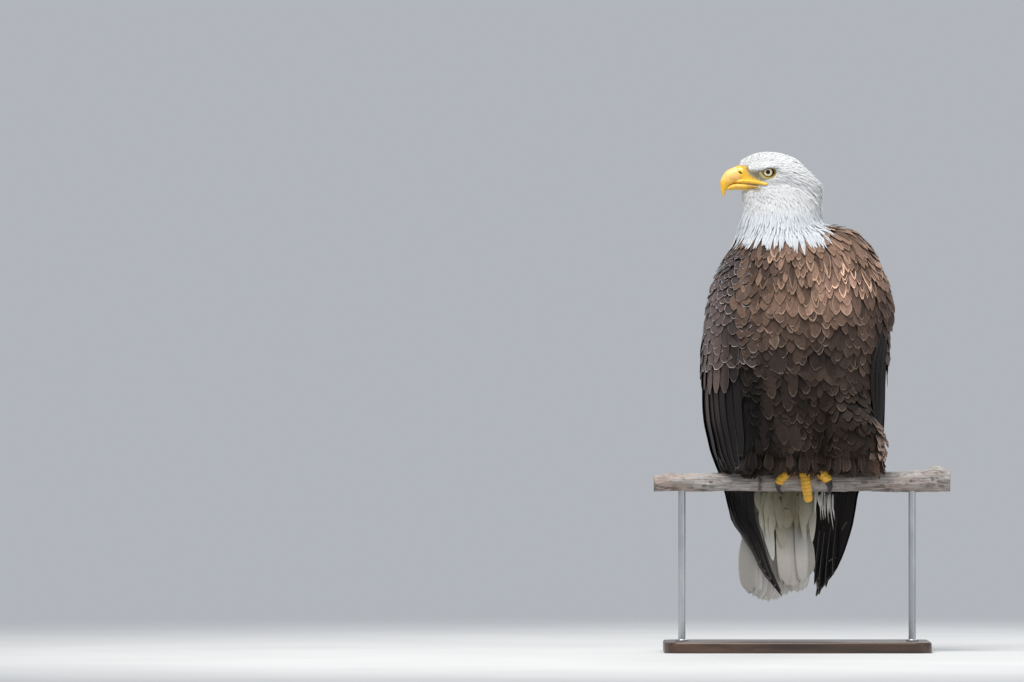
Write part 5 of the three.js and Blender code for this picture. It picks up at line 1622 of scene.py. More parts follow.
def on_blade(x, z, out):
    """A place on the left blade's face that looks forwards."""
    v = np.linspace(0, 1, 41)
    q = WINGS["left"].point(v, np.full(41, float(max(z, WINGS["left"].low + 2))))
    k = np.argmin(np.abs(q[:, 0] - x))
    return [x, q[k, 1] - out, z]


worn, marks = [], []
for x0, z0, x1, z1 in ((46, 214, 31.5, 108), (54, 206, 39, 92), (64, 214, 50, 104), (74, 222, 62, 125)):
    worn.append([on_blade(x0, z0, -1.5), on_blade(0.45 * x0 + 0.55 * x1 + 1.5, 0.5 * (z0 + z1), 4.4), on_blade(x1, z1, 3.6)])
worn_set = free_vanes(worn, turned(0.3, -1, 0)[None], np.array([5.0, 6.0, 6.0, 6.5]), 215, nu=9, nv=18, tip=0.16, wide=0.45, pe=1.8, qe=0.7, camber=0.12, roll=0.12, rag=3.0, split=2.0, thick=0.5, root=0.9,
                      tint=np.array([[0.012, 0.014, 0.019], [0.011, 0.010, 0.011], [0.013, 0.013, 0.016], [0.013, 0.011, 0.011]]), fringe=np.array([0.23, 0.205, 0.185]), band=1.0, strength=np.array([0.8, 0.9, 0.7, 0.5]), shade=0.2)
for x0, z0, x1, z1 in ((87, 216, 76, 199), (68, 154, 54, 147)):
    marks.append([on_blade(x0, z0, 6.0), on_blade(0.5 * (x0 + x1), 0.5 * (z0 + z1) + 1, 8.0), on_blade(x1, z1, 7.0)])
mark_set = free_vanes(marks, turned(0.3, -1, 0)[None], np.array([1.3, 1.5]), 217, nu=5, nv=8, tip=0.1, wide=0.5, pe=1.3, qe=0.8, rag=1.0, split=0.6, thick=0.4, tint=np.array([0.20, 0.155, 0.12]), fringe=np.array([0.42, 0.36, 0.31]), band=0.8, strength=0.8, shade=0.3)
COATS["flight_left"][0].extend([worn_set, mark_set])

# wisps beneath the tail, over the far wing, and the tuft that hangs over the middle toe
wisps = []
for k in range(15):
    x = 30 + 32 * (k + 0.6 * rng.random()) / 15
    z = 274 - 16 * rng.random()
    drop = 22 + 40 * rng.random() * (0.5 + 0.5 * math.sin(k * 1.9) ** 2) + (18 if k in (9, 12) else 0)
    y = 30 + 14 * rng.random()
    wisps.append([[x, y, z], [x + rng.uniform(-2, 3), y + 2, z - drop * 0.5], [x + rng.uniform(-3, 6), y + 6, z - drop]])
wisp_set = free_vanes(wisps, np.array([[0.1, -1, 0]]), 0.8 + 1.5 * rng.random(15) ** 2, 185, nu=3, nv=9, tip=0.05, wide=0.35, pe=1.2, qe=0.9, rag=2.0, split=1.0, thick=0.35,
                      tint=np.array([0.66, 0.65, 0.60]), fringe=np.array([0.78, 0.77, 0.74]), band=1.0, strength=0.4, shade=0.6)
COATS["coat_tail"][0].append(wisp_set)
tufts = []
for k in range(9):
    x = 12 + (k - 4) * 2.0
    tufts.append([[x * 0.9, -32, 334], [x, -40, 312], [x + rng.uniform(-2.5, 2.5), -41.5 - 0.6 * (k % 2), 286 + 9 * rng.random() + abs(k - 4) * 3.2]])
tuft_set = free_vanes(tufts, np.array([[0.05, -1, 0.1]]), 2.8 + 1.4 * rng.random(9), 187, nu=5, nv=9, tip=0.08, wide=0.45, pe=1.3, qe=0.8, rag=3.0, split=2.5, thick=0.4,
                      tint=DARK * 1.3, fringe=np.array([0.13, 0.085, 0.06]), band=0.9, strength=0.4, shade=0.3)
COATS["coat_belly"][0].append(tuft_set)


def front_of(x, z):
    """Places and normals on the outline that face forwards at x, z."""
    x, z = np.asarray(x, float), np.asarray(z, float)
    out_p, out_n = np.empty((len(x), 3)), np.empty((len(x), 3))
    last = np.array([0.0, -90.0, 0.0])
    for i in range(len(x)):
        hit, _, face, _ = COAT.tree.ray_cast(Vector((x[i], -400, z[i])), Vector((0, 1, 0)))
        if hit is None:
            hit, _, face, _ = COAT.tree.find_nearest(Vector((x[i], last[1], z[i])))
            hit = Vector((x[i], hit[1], z[i]))
        out_p[i], out_n[i] = hit, COAT.normals[face]
        last = out_p[i]
    return out_p, out_n


def laid(rows, seed, nu=11, nv=14, **look):
    """Single large feathers on the front: x0, z0, x1, z1, x2, z2, half width, lift."""
    rng = np.random.default_rng(seed)
    rows = np.array(rows, float)
    m = len(rows)
    C, N = np.empty((m, nv, 3)), np.empty((m, nv, 3))
    t = np.linspace(0, 1, nv)
    for i, (x0, z0, x1, z1, x2, z2, _, _) in enumerate(rows):
        path, _ = curve([[x0, 0, z0], [x1, 0, z1], [x2, 0, z2]], nv)
        C[i], N[i] = front_of(path[:, 0], path[:, 2])
        # keep clear of dips, and bridge them with an even run
        y = C[i, :, 1]
        fit = np.polyfit(t, y, 3)
        C[i, :, 1] = np.minimum(np.polyval(fit, t), y + 2.0)
    N = unit(np.apply_along_axis(lambda q: np.convolve(np.pad(q, 2, "edge"), np.ones(5) / 5, "valid"), 1, N))
    D = unit(np.gradient(C, axis=1))
    N = unit(N - D * (N * D).sum(-1, keepdims=True))
    L = np.linalg.norm(np.diff(C, axis=1), axis=-1).sum(1)
    tip = look.pop("tip", 0.2)
    W = rows[:, 6:7] * outline(t[None], look.pop("wide", 0.58), tip, look.pop("pe", 2.1), look.pop("qe", 0.55), 0.35)
    H = -3.0 + (rows[:, 7:8] + 3.0) * (t[None] ** 0.8)
    tint, fringe = (np.broadcast_to(np.asarray(look.pop(k), float), (m, 3)) for k in ("tint", "fringe"))
    keep = {k: look[k] for k in ("shade", "rim_side", "rim_fade", "fray") if k in look}
    return build_vanes(C, N, D, W, L, t, H, rng, nu, look.pop("camber", 0.16), (rng.random(m) - 0.5) * 0.2, look.pop("tip_round", 0.5), look.pop("rag", 1.6), look.pop("split", 0.8), 0.5, tint, fringe,
                       look.pop("band", 1.6), look.pop("strength", 0.9), unwrap(C[:, 0]), **keep)


# large rounded feathers of the flank, over the front edge of the wing
FLANK = [
    (-74, 643, -86, 607, -99, 576, 15, 3.0), (-78, 606, -91, 564, -96, 533, 15.5, 3.4), (-64, 581, -74, 531, -73.5, 491, 14, 4.6), (-68, 531, -66, 482, -64, 452, 13, 2.6),
    (-54, 466, -53, 424, -48, 383, 13, 2.8), (-61, 424, -58, 375, -54, 333, 13, 2.4), (-66, 391, -61, 333, -59, 300, 11, 2.0), (-84, 663, -91, 638, -97, 615, 12, 2.6)]
# their colours darken from the top feather down: painted shade from light above, as on the rest of the brown
flank = laid([(*k[:6], k[6] * 0.84, k[7] * 0.7) for k in FLANK], 191, tint=np.array([[0.105, 0.070, 0.055], [0.085, 0.057, 0.046], [0.070, 0.047, 0.038], [0.038, 0.026, 0.022], [0.026, 0.018, 0.015], [0.022, 0.015, 0.013], [0.018, 0.013, 0.011], [0.12, 0.077, 0.057]]),
             fringe=np.array([0.36, 0.27, 0.21]), band=2.0, strength=np.array([0.6, 0.8, 0.9, 0.5, 0.4, 0.35, 0.3, 0.6]), rag=2.8, split=2.2, shade=0.5, tip=0.3, wide=0.62, pe=2.2, rim_side=1.5, rim_fade=0.1)
OVER = [
    (-47, 528, -37, 492, -27, 457, 21, 5.0), (-16, 505, -10, 470, -8, 420, 12, 3.6), (-48, 506, -48, 452, -42, 417, 13, 4.8), (-25, 465, -18, 429, -16.5, 396, 13, 4.2),
    (-36, 416, -28, 375, -21, 342, 13, 3.8), (-11, 399, -7, 363, 0, 332, 13, 4.6)]
over = laid([(*k[:6], k[6] * 0.8, k[7] * 0.65) for k in OVER], 193, tint=np.array([[0.040, 0.027, 0.023], [0.042, 0.028, 0.022], [0.044, 0.030, 0.024], [0.030, 0.021, 0.018], [0.034, 0.023, 0.019], [0.040, 0.027, 0.021]]),
            fringe=np.array([0.26, 0.19, 0.14]), band=2.4, strength=np.array([0.8, 0.7, 0.6, 0.6, 0.5, 0.5]), rag=4.0, split=3.6, shade=0.5, tip=0.26, wide=0.6, rim_side=1.5, rim_fade=0.14)
small = laid([(-46, 538, -40, 516, -37, 500, 9.0, 3.4)], 195, tint=np.array([0.125, 0.086, 0.066]), fringe=np.array([0.34, 0.25, 0.19]), band=3.0, strength=0.5, tip=0.06, pe=1.5, qe=0.8, rag=2.0, split=1.2, shade=0.5)
COATS["coat_breast"][0].extend([flank, over, small])

# feathers of the body that lap over the front edge of each wing
for side, z_low, z_high in (("right", 462, 640), ("left", 548, 640)):
    def border(q, side=side, z_low=z_low, z_high=z_high):
        w = wing_share(q, side)
        return (w > -0.10) & (w < 0.03) & (q[:, 2] > z_low) & (q[:, 2] < z_high)
    p, n, d = plant(6000, border, lambda q: (17.0 + 0 * q[:, 0], 11.0 + 0 * q[:, 0]), 197)
    rng = np.random.default_rng(198)
    r = rng.random(len(p))
    # painted light and shade: the right side's feathers darker, the left side's brighter, and their pale edges dark in
    # the painted shade of the fold by the right wing
    tint = body_tint(p, r) * (0.8 if side == "right" else 1.1)
    edge = lerp(TAN, PALE, rng.random(len(p))) * (1 - 0.85 * np.maximum(fold_shade(p), fold_shade(p - np.array([0, 0, 28.0]))))[:, None]
    COATS["coat_breast"][0].append(feathers(
        p, n, d, 36 + 14 * r, 10 + 3 * rng.random(len(p)), 199, nu=9, nv=9, tip=0.24, wide=0.6, pe=2.1, qe=0.55, h1=2.0 + 1.6 * rng.random(len(p)), loose=0.2, roll=0.16, bend=0.15, turn=(-0.3 if side == "right" else 0.3),
        camber=0.18, tip_round=0.5, rag=1.8, split=1.0, thick=0.5, tint=tint, fringe=edge, band=1.4, strength=0.4 + 0.5 * rng.random(len(p)), shade=0.5, rim_side=1.3, rim_fade=0.08))

# long feathers of the closed left wing, beside the flank
rng = np.random.default_rng(204)
paths, norms = [], []
K = 15
for k in range(K):
    f = k / (K - 1)
    z = np.linspace(572, 362 - 70 * f + rng.uniform(-10, 10), 9)
    phi = np.interp(z, FLANK_Z, FLANK_PHI) * (1 - f) + (WING_ARC["left"](z)[:, 0] + 3) * f
    q, ahead = hull(phi * DEG, z, -8.0 + (8.6 + 0.5 * (1 - f)) * step(572, 505, z)), hull((phi + 2) * DEG, z, 0.6)
    paths.append(list(q))
    norms.append(unit(np.cross(ahead[5] - q[5], [0, 0, 1.0])))
shade_of = rng.random(K)
norms = np.array(norms)
norms = norms * np.sign((norms * np.array([0.6, -0.8, 0])).sum(-1, keepdims=True))
long_vanes = free_vanes(paths, norms, 7.0 + 0 * shade_of, 205, nu=7, nv=20, tip=0.3, wide=0.55, pe=2.3, qe=0.55, camber=0.1, roll=-0.14, tip_round=0.5, rag=0.8, split=0.3, thick=0.5,
                        tint=BLACK[None] * (0.8 + 1.5 * shade_of[:, None]) + np.array([[0.006, 0.003, 0.002]]) * (shade_of > 0.6)[:, None], fringe=np.array([0.15, 0.12, 0.10]), band=0.8,
                        strength=0.04 + 0.6 * (rng.random(K) > 0.72), shade=0.2)
COATS["flight_left"][0].append(long_vanes)

# hanging ends of the leg and belly feathers
p, n, d = plant(16000, lambda q: (q[:, 2] > 304) & (q[:, 2] < 334) & (q[:, 1] < 40) & (q[:, 0] > -92) & (q[:, 0] < 150) & (masks(q)[4] < 0.4) & (~on_wing(q, 0.06)), lambda q: (8.5 + 0 * q[:, 0], 6.0 + 0 * q[:, 0]), 201)
rng = np.random.default_rng(202)
ok = (n[:, 2] > -0.75) & (rng.random(len(p)) < 1 - 0.6 * step(316, 334, p[:, 2]))
p, n = p[ok], n[ok]
m = len(p)
r = rng.random(m)
# painted light: the hanging feathers at the far left edge several times paler, as if lit at the rim
painted_rim_light = step(112, 134, p[:, 0])
flat = unit(n * np.array([1, 1, 0.35]))
low = 283 + 21 * rng.random(m) ** 1.3 + 9 * bell(p[:, 0] - 42, 13)
L = np.clip(p[:, 2] - low, 15, 30 + 12 * rng.random(m))
way = flat * (0.5 + 1.6 * rng.random(m) + 8 * painted_rim_light * rng.random(m))[:, None]
drift = rng.uniform(-4, 4, (m, 1)) * np.array([1.0, 0, 0])
paths = np.stack([p - n * 5.5, p - flat * 0.8 + np.array([0, 0, -1.0]) * (0.45 * L)[:, None] + drift * 0.4, p + way + np.array([0, 0, -1.0]) * L[:, None] + drift], 1)
tint = body_tint(p, r) * np.where(r > 0.75, 1.5, 0.95)[:, None] * lerp(np.ones(3), np.array([4.2, 3.7, 3.4]), painted_rim_light)
legs = free_vanes(list(paths), flat, 6.2 + 5.6 * rng.random(m), 203, nu=11, nv=8, tip=0.42, wide=0.72, pe=1.8, qe=0.6, camber=0.12, roll=(rng.random(m) - 0.5) * 0.6, tip_round=0.35, rag=5.0,
                  split=2.5 + 5.0 * (rng.random(m) < 0.6), thick=0.4, root=0.35, tint=tint, fringe=lerp(tint * 1.9, np.broadcast_to(np.array([0.20, 0.14, 0.10]), tint.shape), 0.15 + 0.4 * painted_rim_light),
                  band=3.2, strength=0.15 + 0.55 * rng.random(m), shade=0.5)
COATS["coat_belly"][0].append(legs)
p, n, d = plant(16000, lambda q: (q[:, 2] > 308) & (q[:, 2] < 404) & (q[:, 1] > -62) & (q[:, 1] < 34) & (q[:, 0] > 112) & (~on_wing(q, 0.02)) & (far_wing(q) < 0.3), lambda q: (13.0 + 0 * q[:, 0], 8.0 + 0 * q[:, 0]), 206)
rng = np.random.default_rng(209)
m = len(p)
r = rng.random(m)
fr_tint = np.array([0.205, 0.140, 0.108]) * (0.45 + 0.95 * rng.random(m) * step(410, 350, p[:, 2]) + 0.15)[:, None]
frayed = feathers(p, n, d, np.clip(p[:, 2] - 290, 16, 30 + 12 * r), 6.0 + 3.5 * rng.random(m), 207, nu=13, nv=9, tip=0.40, wide=0.66, pe=1.9, qe=0.6, h1=1.5 + 6.5 * rng.random(m) * step(108, 128, p[:, 0]), loose=0.5 + 0.5 * rng.random(m), roll=0.3, bend=0.35,
                  camber=0.1, tip_round=0.3, rag=5.0, split=3.0 + 4.0 * rng.random(m), thick=0.4, tint=fr_tint, fringe=fr_tint * 2.3 + 0.02, band=3.0, strength=0.3 + 0.6 * rng.random(m), shade=0.6, rim_fade=0.1)
COATS["coat_belly"][0].append(frayed)
REPLACES = {
    "flight_right": ("wing_right_secondaries", "wing_right_primaries"),
    "flight_left": ("wing_left_secondaries", "wing_left_primaries"),
    "tail": ("tail_feathers",),
}

# ---------------------------------------------------------------- hard parts


def solid_piece(name, verts, faces, material, replaces, values=None, colors=None):
    ob = make(name, verts, faces)
    for key, v in (values or {}).items():
        att = ob.data.attributes.new(key, "FLOAT", "POINT")
        att.data.foreach_set("value", np.asarray(v, np.float32))
    for key, v in (colors or {}).items():
        att = ob.data.attributes.new(key, "FLOAT_COLOR", "POINT")
        att.data.foreach_set("color", np.concatenate([v, np.ones((len(v), 1))], 1).astype(np.float32).ravel())
    ob.data.materials.append(material)
    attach(ob, "root")
    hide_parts(*replaces)
    return ob


def eased(parts, size, rounds):
    v, f = remeshed(parts, size)
    e = edges_of(f)
    return smooth_shape(v, e, rounds), f, e


# ---- bill
def upper_rings():
    n = 56
    w = 2 * np.pi * np.arange(n) / n
    rings = []
    for t in np.concatenate([np.linspace(0, 0.8, 40), np.linspace(0.815, 1, 16)]):
        ua, za, ub, zb, half = UPPER(t)
        f = (1 - np.cos(w)) / 2
        flat = 1 - 0.18 * f
        rings.append(head_point(ua + (ub - ua) * f, half * flat * power(np.sin(w), 2.3), za + (zb - za) * f))
    return np.array(rings)


UPPER = Table([
    [0, 54, 20, 54, -10.5, 17], [0.2, 66, 18.2, 66, -11.2, 15.2], [0.4, 80, 14, 77, -13, 12.6], [0.55, 89.5, 9, 84, -16.5, 10.8],
    [0.68, 96.5, 0, 88, -21, 8.4], [0.8, 100, -10, 90.6, -25.5, 6.2], [0.91, 99.6, -21, 92, -31, 3.9], [0.97, 97, -30, 92.4, -35, 2.2],
    [1, 94.6, -36, 93, -37, 0.8],
])
LOWER = Table([
    [46, -11.0, -24.5, 13.2], [62, -11.0, -23.4, 12.4], [72, -11.4, -22.9, 11], [80, -13.0, -23.1, 9], [86, -16.0, -23.2, 6.6], [89, -18.6, -23, 4], [90.8, -20.8, -22.8, 1],
])


def lower_rings():
    n = 40
    w = 2 * np.pi * np.arange(n) / n
    rings = []
    for u in np.concatenate([np.linspace(46, 84, 24), np.linspace(85, 90.6, 10)]):
        top, low, half = LOWER(u)
        rings.append(head_point(np.full(n, u), half * power(np.sin(w), 2.4), (top + low) / 2 + (top - low) / 2 * power(np.cos(w), 2.6)))
    return np.array(rings)


def gape_rings(side, lower):
    pts = [[74, 6.5, -16.8], [64, 11.5, -17.3], [53, 18.4, -18.0], [44, 24.8, -18.8], [38, 28.4, -19.2], [33.5, 30.4, -19.2]] if lower else [
        [75, 5.2, -9.2], [66, 10.2, -8.7], [57, 16.6, -8.8], [47, 24.2, -10.0], [36, 32.2, -12.0], [28.5, 36.9, -13.5], [26, 38.3, -14.1]]
    world = np.array([head_point(u, side * v, z) for u, v, z in pts])
    size = ([4.7, 4.5, 4.0, 3.2, 2.0], [0, 0.4, 0.65, 0.85, 1]) if lower else ([2.2, 4.0, 3.7, 2.7, 1.7], [0, 0.3, 0.6, 0.85, 1])
    return tube(world, lambda t: np.interp(t, size[1], size[0]) * np.sqrt(np.clip(1.02 - ((t - 0.93) / 0.08).clip(0, 1) ** 2, 0.05, 1)), 30, 18, up=(0, 0, 1))


def bill_material():
    m = Nodes("bill_horn")
    horn, dark, tip = m.attribute("horn", "Fac"), m.attribute("dark", "Fac"), m.attribute("tip", "Fac")
    at = m.coords()
    soft = m.noise(m.scaled(at, 120, 120, 120), 1.0, 3.0)
    fine = m.noise(m.scaled(at, 500, 500, 900), 1.0, 3.0)
    cere = m.mix(m.ramp(soft, 0.3, 0.7), (0.78, 0.42, 0.02), (0.88, 0.55, 0.05))
    peach = m.mix(m.ramp(soft, 0.3, 0.7), (0.90, 0.50, 0.12), (0.94, 0.60, 0.20))
    yellow = (0.84, 0.49, 0.03)
    body = m.mix(tip, peach, yellow)
    c = m.mix(horn, cere, body)
    k = m.ramp(fine, 0.3, 0.7, 0.93, 1.05)
    c = m.mix(1.0, c, m.join(k, k, k), "MULTIPLY")
    c = m.mix(dark, c, (0.045, 0.022, 0.012))
    rough = m.ramp(fine, 0.3, 0.7, 0.34, 0.46)
    m.set(Base_Color=c, Roughness=rough, Normal=m.bump(m.math("ADD", fine, m.math("MULTIPLY", soft, 1.5)), 0.25, 0.0004))
    m.bsdf.inputs["Subsurface Weight"].default_value = 0.12
    m.bsdf.inputs["Subsurface Radius"].default_value = (0.004, 0.002, 0.001)
    m.bsdf.inputs["Subsurface Scale"].default_value = 0.4
    m.bsdf.inputs["Coat Weight"].default_value = 0.25
    m.bsdf.inputs["Coat Roughness"].default_value = 0.25
    return m.mat


M_BILL = bill_material()


def bill():
    v, f, e = eased([loft(upper_rings())] + [loft(gape_rings(s, False)) for s in (-1, 1)], 0.75, 5)
    u, x, z = head_local(v)
    n, _ = normals_of(v, f)
    edge = 68.2 + (z + 4.5) * 0.297 - 10 * step(-4, -11, z) * 0.6
    horn = step(-0.9, 0.9, u - edge) * np.maximum(step(-10.0, -7.0, z), step(73, 80, u))
    # the cere stands a little proud of the horn
    v = v - n * (0.55 * horn)[:, None]
    # a shallow groove above the cutting edge
    v = v - n * (0.5 * bell(z + 9.5 - 0.25 * (u - 70), 1.6) * step(60, 66, u) * (1 - step(80, 90, u)))[:, None]
    # nostril: a slanted slit at the front of the cere
    du, dz = u - 68.0, z - 5.4
    a, b = du * 0.81 + dz * 0.58, -du * 0.58 + dz * 0.81
    slit = np.exp(-(np.sqrt((a / 3.4) ** 2 + (b / 1.35) ** 2)) ** 3) * (np.abs(x) > 6)
    v = v - n * (2.6 * slit)[:, None]
    # painted shade inside the nostril slit
    dark = np.clip(slit * 1.6, 0, 1)
    # painted shade: dark line of the mouth in the crease under the edge of the upper half
    line = -12.2 - 0.02 * (70 - u) - 0.75 * np.maximum(u - 74, 0) ** 1.05
    crease = np.interp(u, [24, 36, 48, 60, 72, 80, 86, 90], [-14.6, -12.6, -10.6, -9.6, -10.2, -12.0, -16.5, -22.0])
    fold = bell(z - crease, 0.55) * (np.abs(x) > 5) * (u < 78)
    v = v - n * (0.35 * fold)[:, None]
    lip = 0.55 * step(1.1, 0.2, z - np.interp(u, [24, 36, 48, 60, 70, 77, 84, 88, 90.6, 92], [-16.2, -14.6, -13.0, -12.2, -12.4, -13.0, -16.5, -21, -25.5, -31])) * (u < 91)
    dark = np.maximum(dark, np.maximum(0.22 * fold, lip * 0.8))
    tip = step(86, 97, u) * step(-2, -16, z) + 0.7 * step(-5, -12, z)
    solid_piece("bill_upper_horn", v, [f], M_BILL, ["bill_upper"], {"horn": horn, "dark": np.clip(dark, 0, 1), "tip": np.clip(tip, 0, 1)})
    v, f, e = eased([loft(lower_rings())] + [loft(gape_rings(s, True)) for s in (-1, 1)], 0.75, 5)
    u, x, z = head_local(v)
    top = np.interp(u, [34, 46, 60, 72, 80, 86, 90], [-14.6, -13.9, -13.2, -12.2, -13.4, -16.4, -20])
    # painted shade: the lower half darker along its top edge under the upper half and towards the gape
    dark = np.maximum(0.5 * step(-1.6, -0.2, z - top), 0.20 + 0.42 * step(66, 46, u))
    solid_piece("bill_lower_horn", v, [f], M_BILL, ["bill_lower"], {"horn": step(60, 74, u), "dark": np.clip(dark, 0, 1), "tip": 0.8 + 0 * u})


bill()


# ---- eyes
def eye_material():
    m = Nodes("eye_ball")
    ring, spoke = m.attribute("ring", "Fac"), m.attribute("spoke", "Vector")
    sx, sy, sz = m.split(spoke)
    fibres = m.noise(m.join(m.math("MULTIPLY", sx, 9.0), m.math("MULTIPLY", sy, 9.0), m.math("MULTIPLY", ring, 0.22)), 1.0, 3.0)
    flecks = m.noise(m.join(m.math("MULTIPLY", sx, 3.0), m.math("MULTIPLY", sy, 3.0), m.math("MULTIPLY", ring, 0.9)), 1.0, 2.0)
    iris = m.mix(m.ramp(fibres, 0.3, 0.7), (0.74, 0.62, 0.36), (0.95, 0.88, 0.62))
    iris = m.mix(m.ramp(flecks, 0.58, 0.8, 0.0, 0.45), iris, (0.40, 0.28, 0.10))
    iris = m.mix(m.ramp(ring, 5.8, 7.3, 0.0, 0.6), iris, (0.34, 0.27, 0.13))
    c = m.mix(m.ramp(ring, 7.25, 7.7), iris, (0.014, 0.011, 0.009))
    c = m.mix(m.ramp(ring, 3.75, 3.5), c, (0.003, 0.003, 0.004))
    m.set(Base_Color=c, Roughness=0.12)
    m.bsdf.inputs["Specular IOR Level"].default_value = 0.25
    m.bsdf.inputs["Coat Weight"].default_value = 0.55
    m.bsdf.inputs["Coat Roughness"].default_value = 0.02
    m.bsdf.inputs["Coat IOR"].default_value = 1.4
    return m.mat


M_EYE = eye_material()


GAZE = 7 * DEG


def eyeball(side):
    n, k = 64, 44
    th = np.concatenate([np.linspace(0.0, 1.15, 30)[1:], np.linspace(1.2, math.pi - 0.05, k - 29)])
    w = 2 * np.pi * np.arange(n) / n
    rings = []
    ring, spoke = [], []
    for a in th:
        r = EYE_R - 0.5 + 0.85 * bell(a, 0.62)
        rho, out = r * math.sin(a), r * math.cos(a)
        fu, fv = rho * np.cos(w), out
        gu, gv = fu * math.cos(GAZE) + fv * math.sin(GAZE), fv * math.cos(GAZE) - fu * math.sin(GAZE)
        rings.append(head_point(EYE_U + gu, side * (EYE_V + gv), EYE_Z + rho * np.sin(w)))
        ring.append(np.full(n, EYE_R * math.sin(min(a, math.pi / 2)) if a < math.pi / 2 else 12.0))
        spoke.append(np.stack([np.cos(w), np.sin(w), 0 * w], -1))
    v, q, t = loft(np.array(rings))
    ring = np.concatenate(ring + [np.array([0.0, 12.0])])
    spoke = np.concatenate(spoke + [np.zeros((2, 3))])
    if side > 0:
        q, t = q[:, ::-1], t[:, ::-1]
    name = "left" if side > 0 else "right"
    ob = solid_piece("eyeball_" + name, v, [q, t], M_EYE, ["eye_" + name], {"ring": ring})
    att = ob.data.attributes.new("spoke", "FLOAT_VECTOR", "POINT")
    att.data.foreach_set("vector", spoke.astype(np.float32).ravel())


eyeball(1)
eyeball(-1)


def lid(side):
    """Rim of bare skin round the eye: closed strip from inside the opening out under the feathers."""
    n = 96
    w = 2 * np.pi * np.arange(n) / n
    cu, cz = np.cos(w), np.sin(w)
    ou = 9.2 * np.sign(cu) * np.abs(cu) ** 0.92
    oz = np.where(cz > 0, 5.5, 7.5) * np.sign(cz) * np.abs(cz) ** 1.08
    tilt = -0.05
    ou, oz = ou * math.cos(tilt) - oz * math.sin(tilt), ou * math.sin(tilt) + oz * math.cos(tilt)
    away = unit(np.stack([ou, oz * 1.15], -1))
    rng = np.random.default_rng(5)
    wob = np.convolve(np.tile(rng.random(n), 3), np.ones(7) / 7, "same")[n:2 * n] - 0.5
    offs = [-1.2, -0.4, 0.1, 0.45, 0.9, 1.6, 2.4, 3.4, 4.6, 5.8, 7.0]
    ups = [-1.2, 0.35, 0.95, 1.15, 1.0, None, None, None, None, None, None]
    reach = 1.0 - 0.66 * np.maximum(cz, 0) - 0.36 * np.maximum(-cu, 0)
    edge_r = np.hypot(ou, oz)
    sphere = EYE_V + np.sqrt(np.maximum((EYE_R - 0.3) ** 2 - edge_r ** 2, 0))
    top = np.maximum(cz, 0)
    rings, lid_rim_and_brow_shade = [], []
    skin_v = 39.6 - 1.3 * np.maximum(cu, 0) - 0.6 * top
    for k, (o, up) in enumerate(zip(offs, ups)):
        lip_h = sphere + (up if up is not None else 0)
        if up is None:
            f = step(1.3, 5.5, o)
            lip_h = (sphere + 0.95) * (1 - f) + skin_v * f + 0.35 * math.sin(o * 2.6) * (1 - f) + wob * 0.8 * f * (1 - f) * 4
            if o > 5:
                lip_h = lip_h - (o - 5) * 0.9
        rings.append(head_point(EYE_U + ou + away[:, 0] * o * reach, side * lip_h, EYE_Z + oz + away[:, 1] * o * reach))
        # dark lid rim at the opening, and painted shade from the brow over the top of the lid further out
        lid_rim_and_brow_shade.append(np.full(n, 1.0 if o < 0.5 else (0.4 if o < 1.0 else (0.2 if 2.0 < o < 3.0 else 0.0))) * (1 if o < 1.5 else 1) + (0.45 * top if o > 1.5 else 0))
    rings = np.array(rings)
    back = rings[::-1][1:-1].copy() - side * HEAD_SIDE * 1.6
    rings = np.concatenate([rings, back])
    lid_rim_and_brow_shade = np.concatenate(lid_rim_and_brow_shade + [np.zeros(n * len(back))])
    r = len(rings)
    i, j = np.meshgrid(np.arange(r), np.arange(n), indexing="ij")
    a, b = i * n + j, i * n + (j + 1) % n
    c, d = ((i + 1) % r) * n + (j + 1) % n, ((i + 1) % r) * n + j
    q = np.stack([a, b, c, d], -1).reshape(-1, 4)
    if side < 0:
        q = q[:, ::-1]
    return rings.reshape(-1, 3), q, lid_rim_and_brow_shade


# ---- feet
TOES = {
    "right": {
        "leg": [[9, 4, 330], [11, 3, 304]],
        "toes": {
            "outer": [[6, 0, 305], [-6, -14, 303], [-18, -21.5, 295], [-28, -24.5, 284], [-31, -24, 277]],
            "middle": [[11, -2, 306], [11.5, -19, 302], [13, -26.5, 286], [16, -28.5, 266], [18.8, -28, 247]],
            "inner": [[16, 0, 305], [28, -14, 304], [40, -22.5, 296], [48, -26, 287], [51, -26, 281]],
            "hind": [[11, 8, 305], [12, 20, 301], [13, 25.5, 287], [13, 23.5, 272]],
        },
        "claws": {
            "outer": [[-31.5, -23.5, 276], [-31, -23.5, 268], [-26, -20, 262.5], [-19, -12, 262]],
            "middle": [[19, -21, 250], [19, -13, 247.5], [18.5, -5, 251], [18, -1, 257]],
            "inner": [[51.5, -27, 280], [54, -28.5, 271], [51, -25, 262], [45, -16, 258]],
            "hind": [[13, 22.5, 271], [12.5, 18, 260], [12, 7, 256], [12, -1, 259]],
        },
    },
    "left": {
        "leg": [[86, 16, 332], [88, 4, 318]],
        "toes": {
            "outer": [[89, 4, 318], [96, -5, 313], [101, -9, 306]],
            "middle": [[88, 2, 318], [89, -9, 314], [90, -15, 307]],
            "inner": [[86, 4, 318], [80, -5, 313], [76, -9, 306]],
            "hind": [[88, 10, 318], [89, 18, 313], [89, 21, 307]],
        },
        "claws": {
            "outer": [[101, -8.5, 304], [101, -4, 301], [99.5, 1, 301]],
            "middle": [[90, -14.5, 305], [90, -10, 301.5], [89.5, -4, 301.5]],
            "inner": [[76, -8.5, 304], [76.5, -4, 301], [78, 1, 301]],
            "hind": [[89, 20.5, 305], [89, 15, 302], [89.3, 9, 302]],
        },
    },
}
TOE_RADIUS = {"outer": 8.6, "middle": 9.0, "inner": 10.2, "hind": 9.4}
CLAW_RADIUS = {"outer": 4.2, "middle": 4.6, "inner": 5.4, "hind": 5.8}
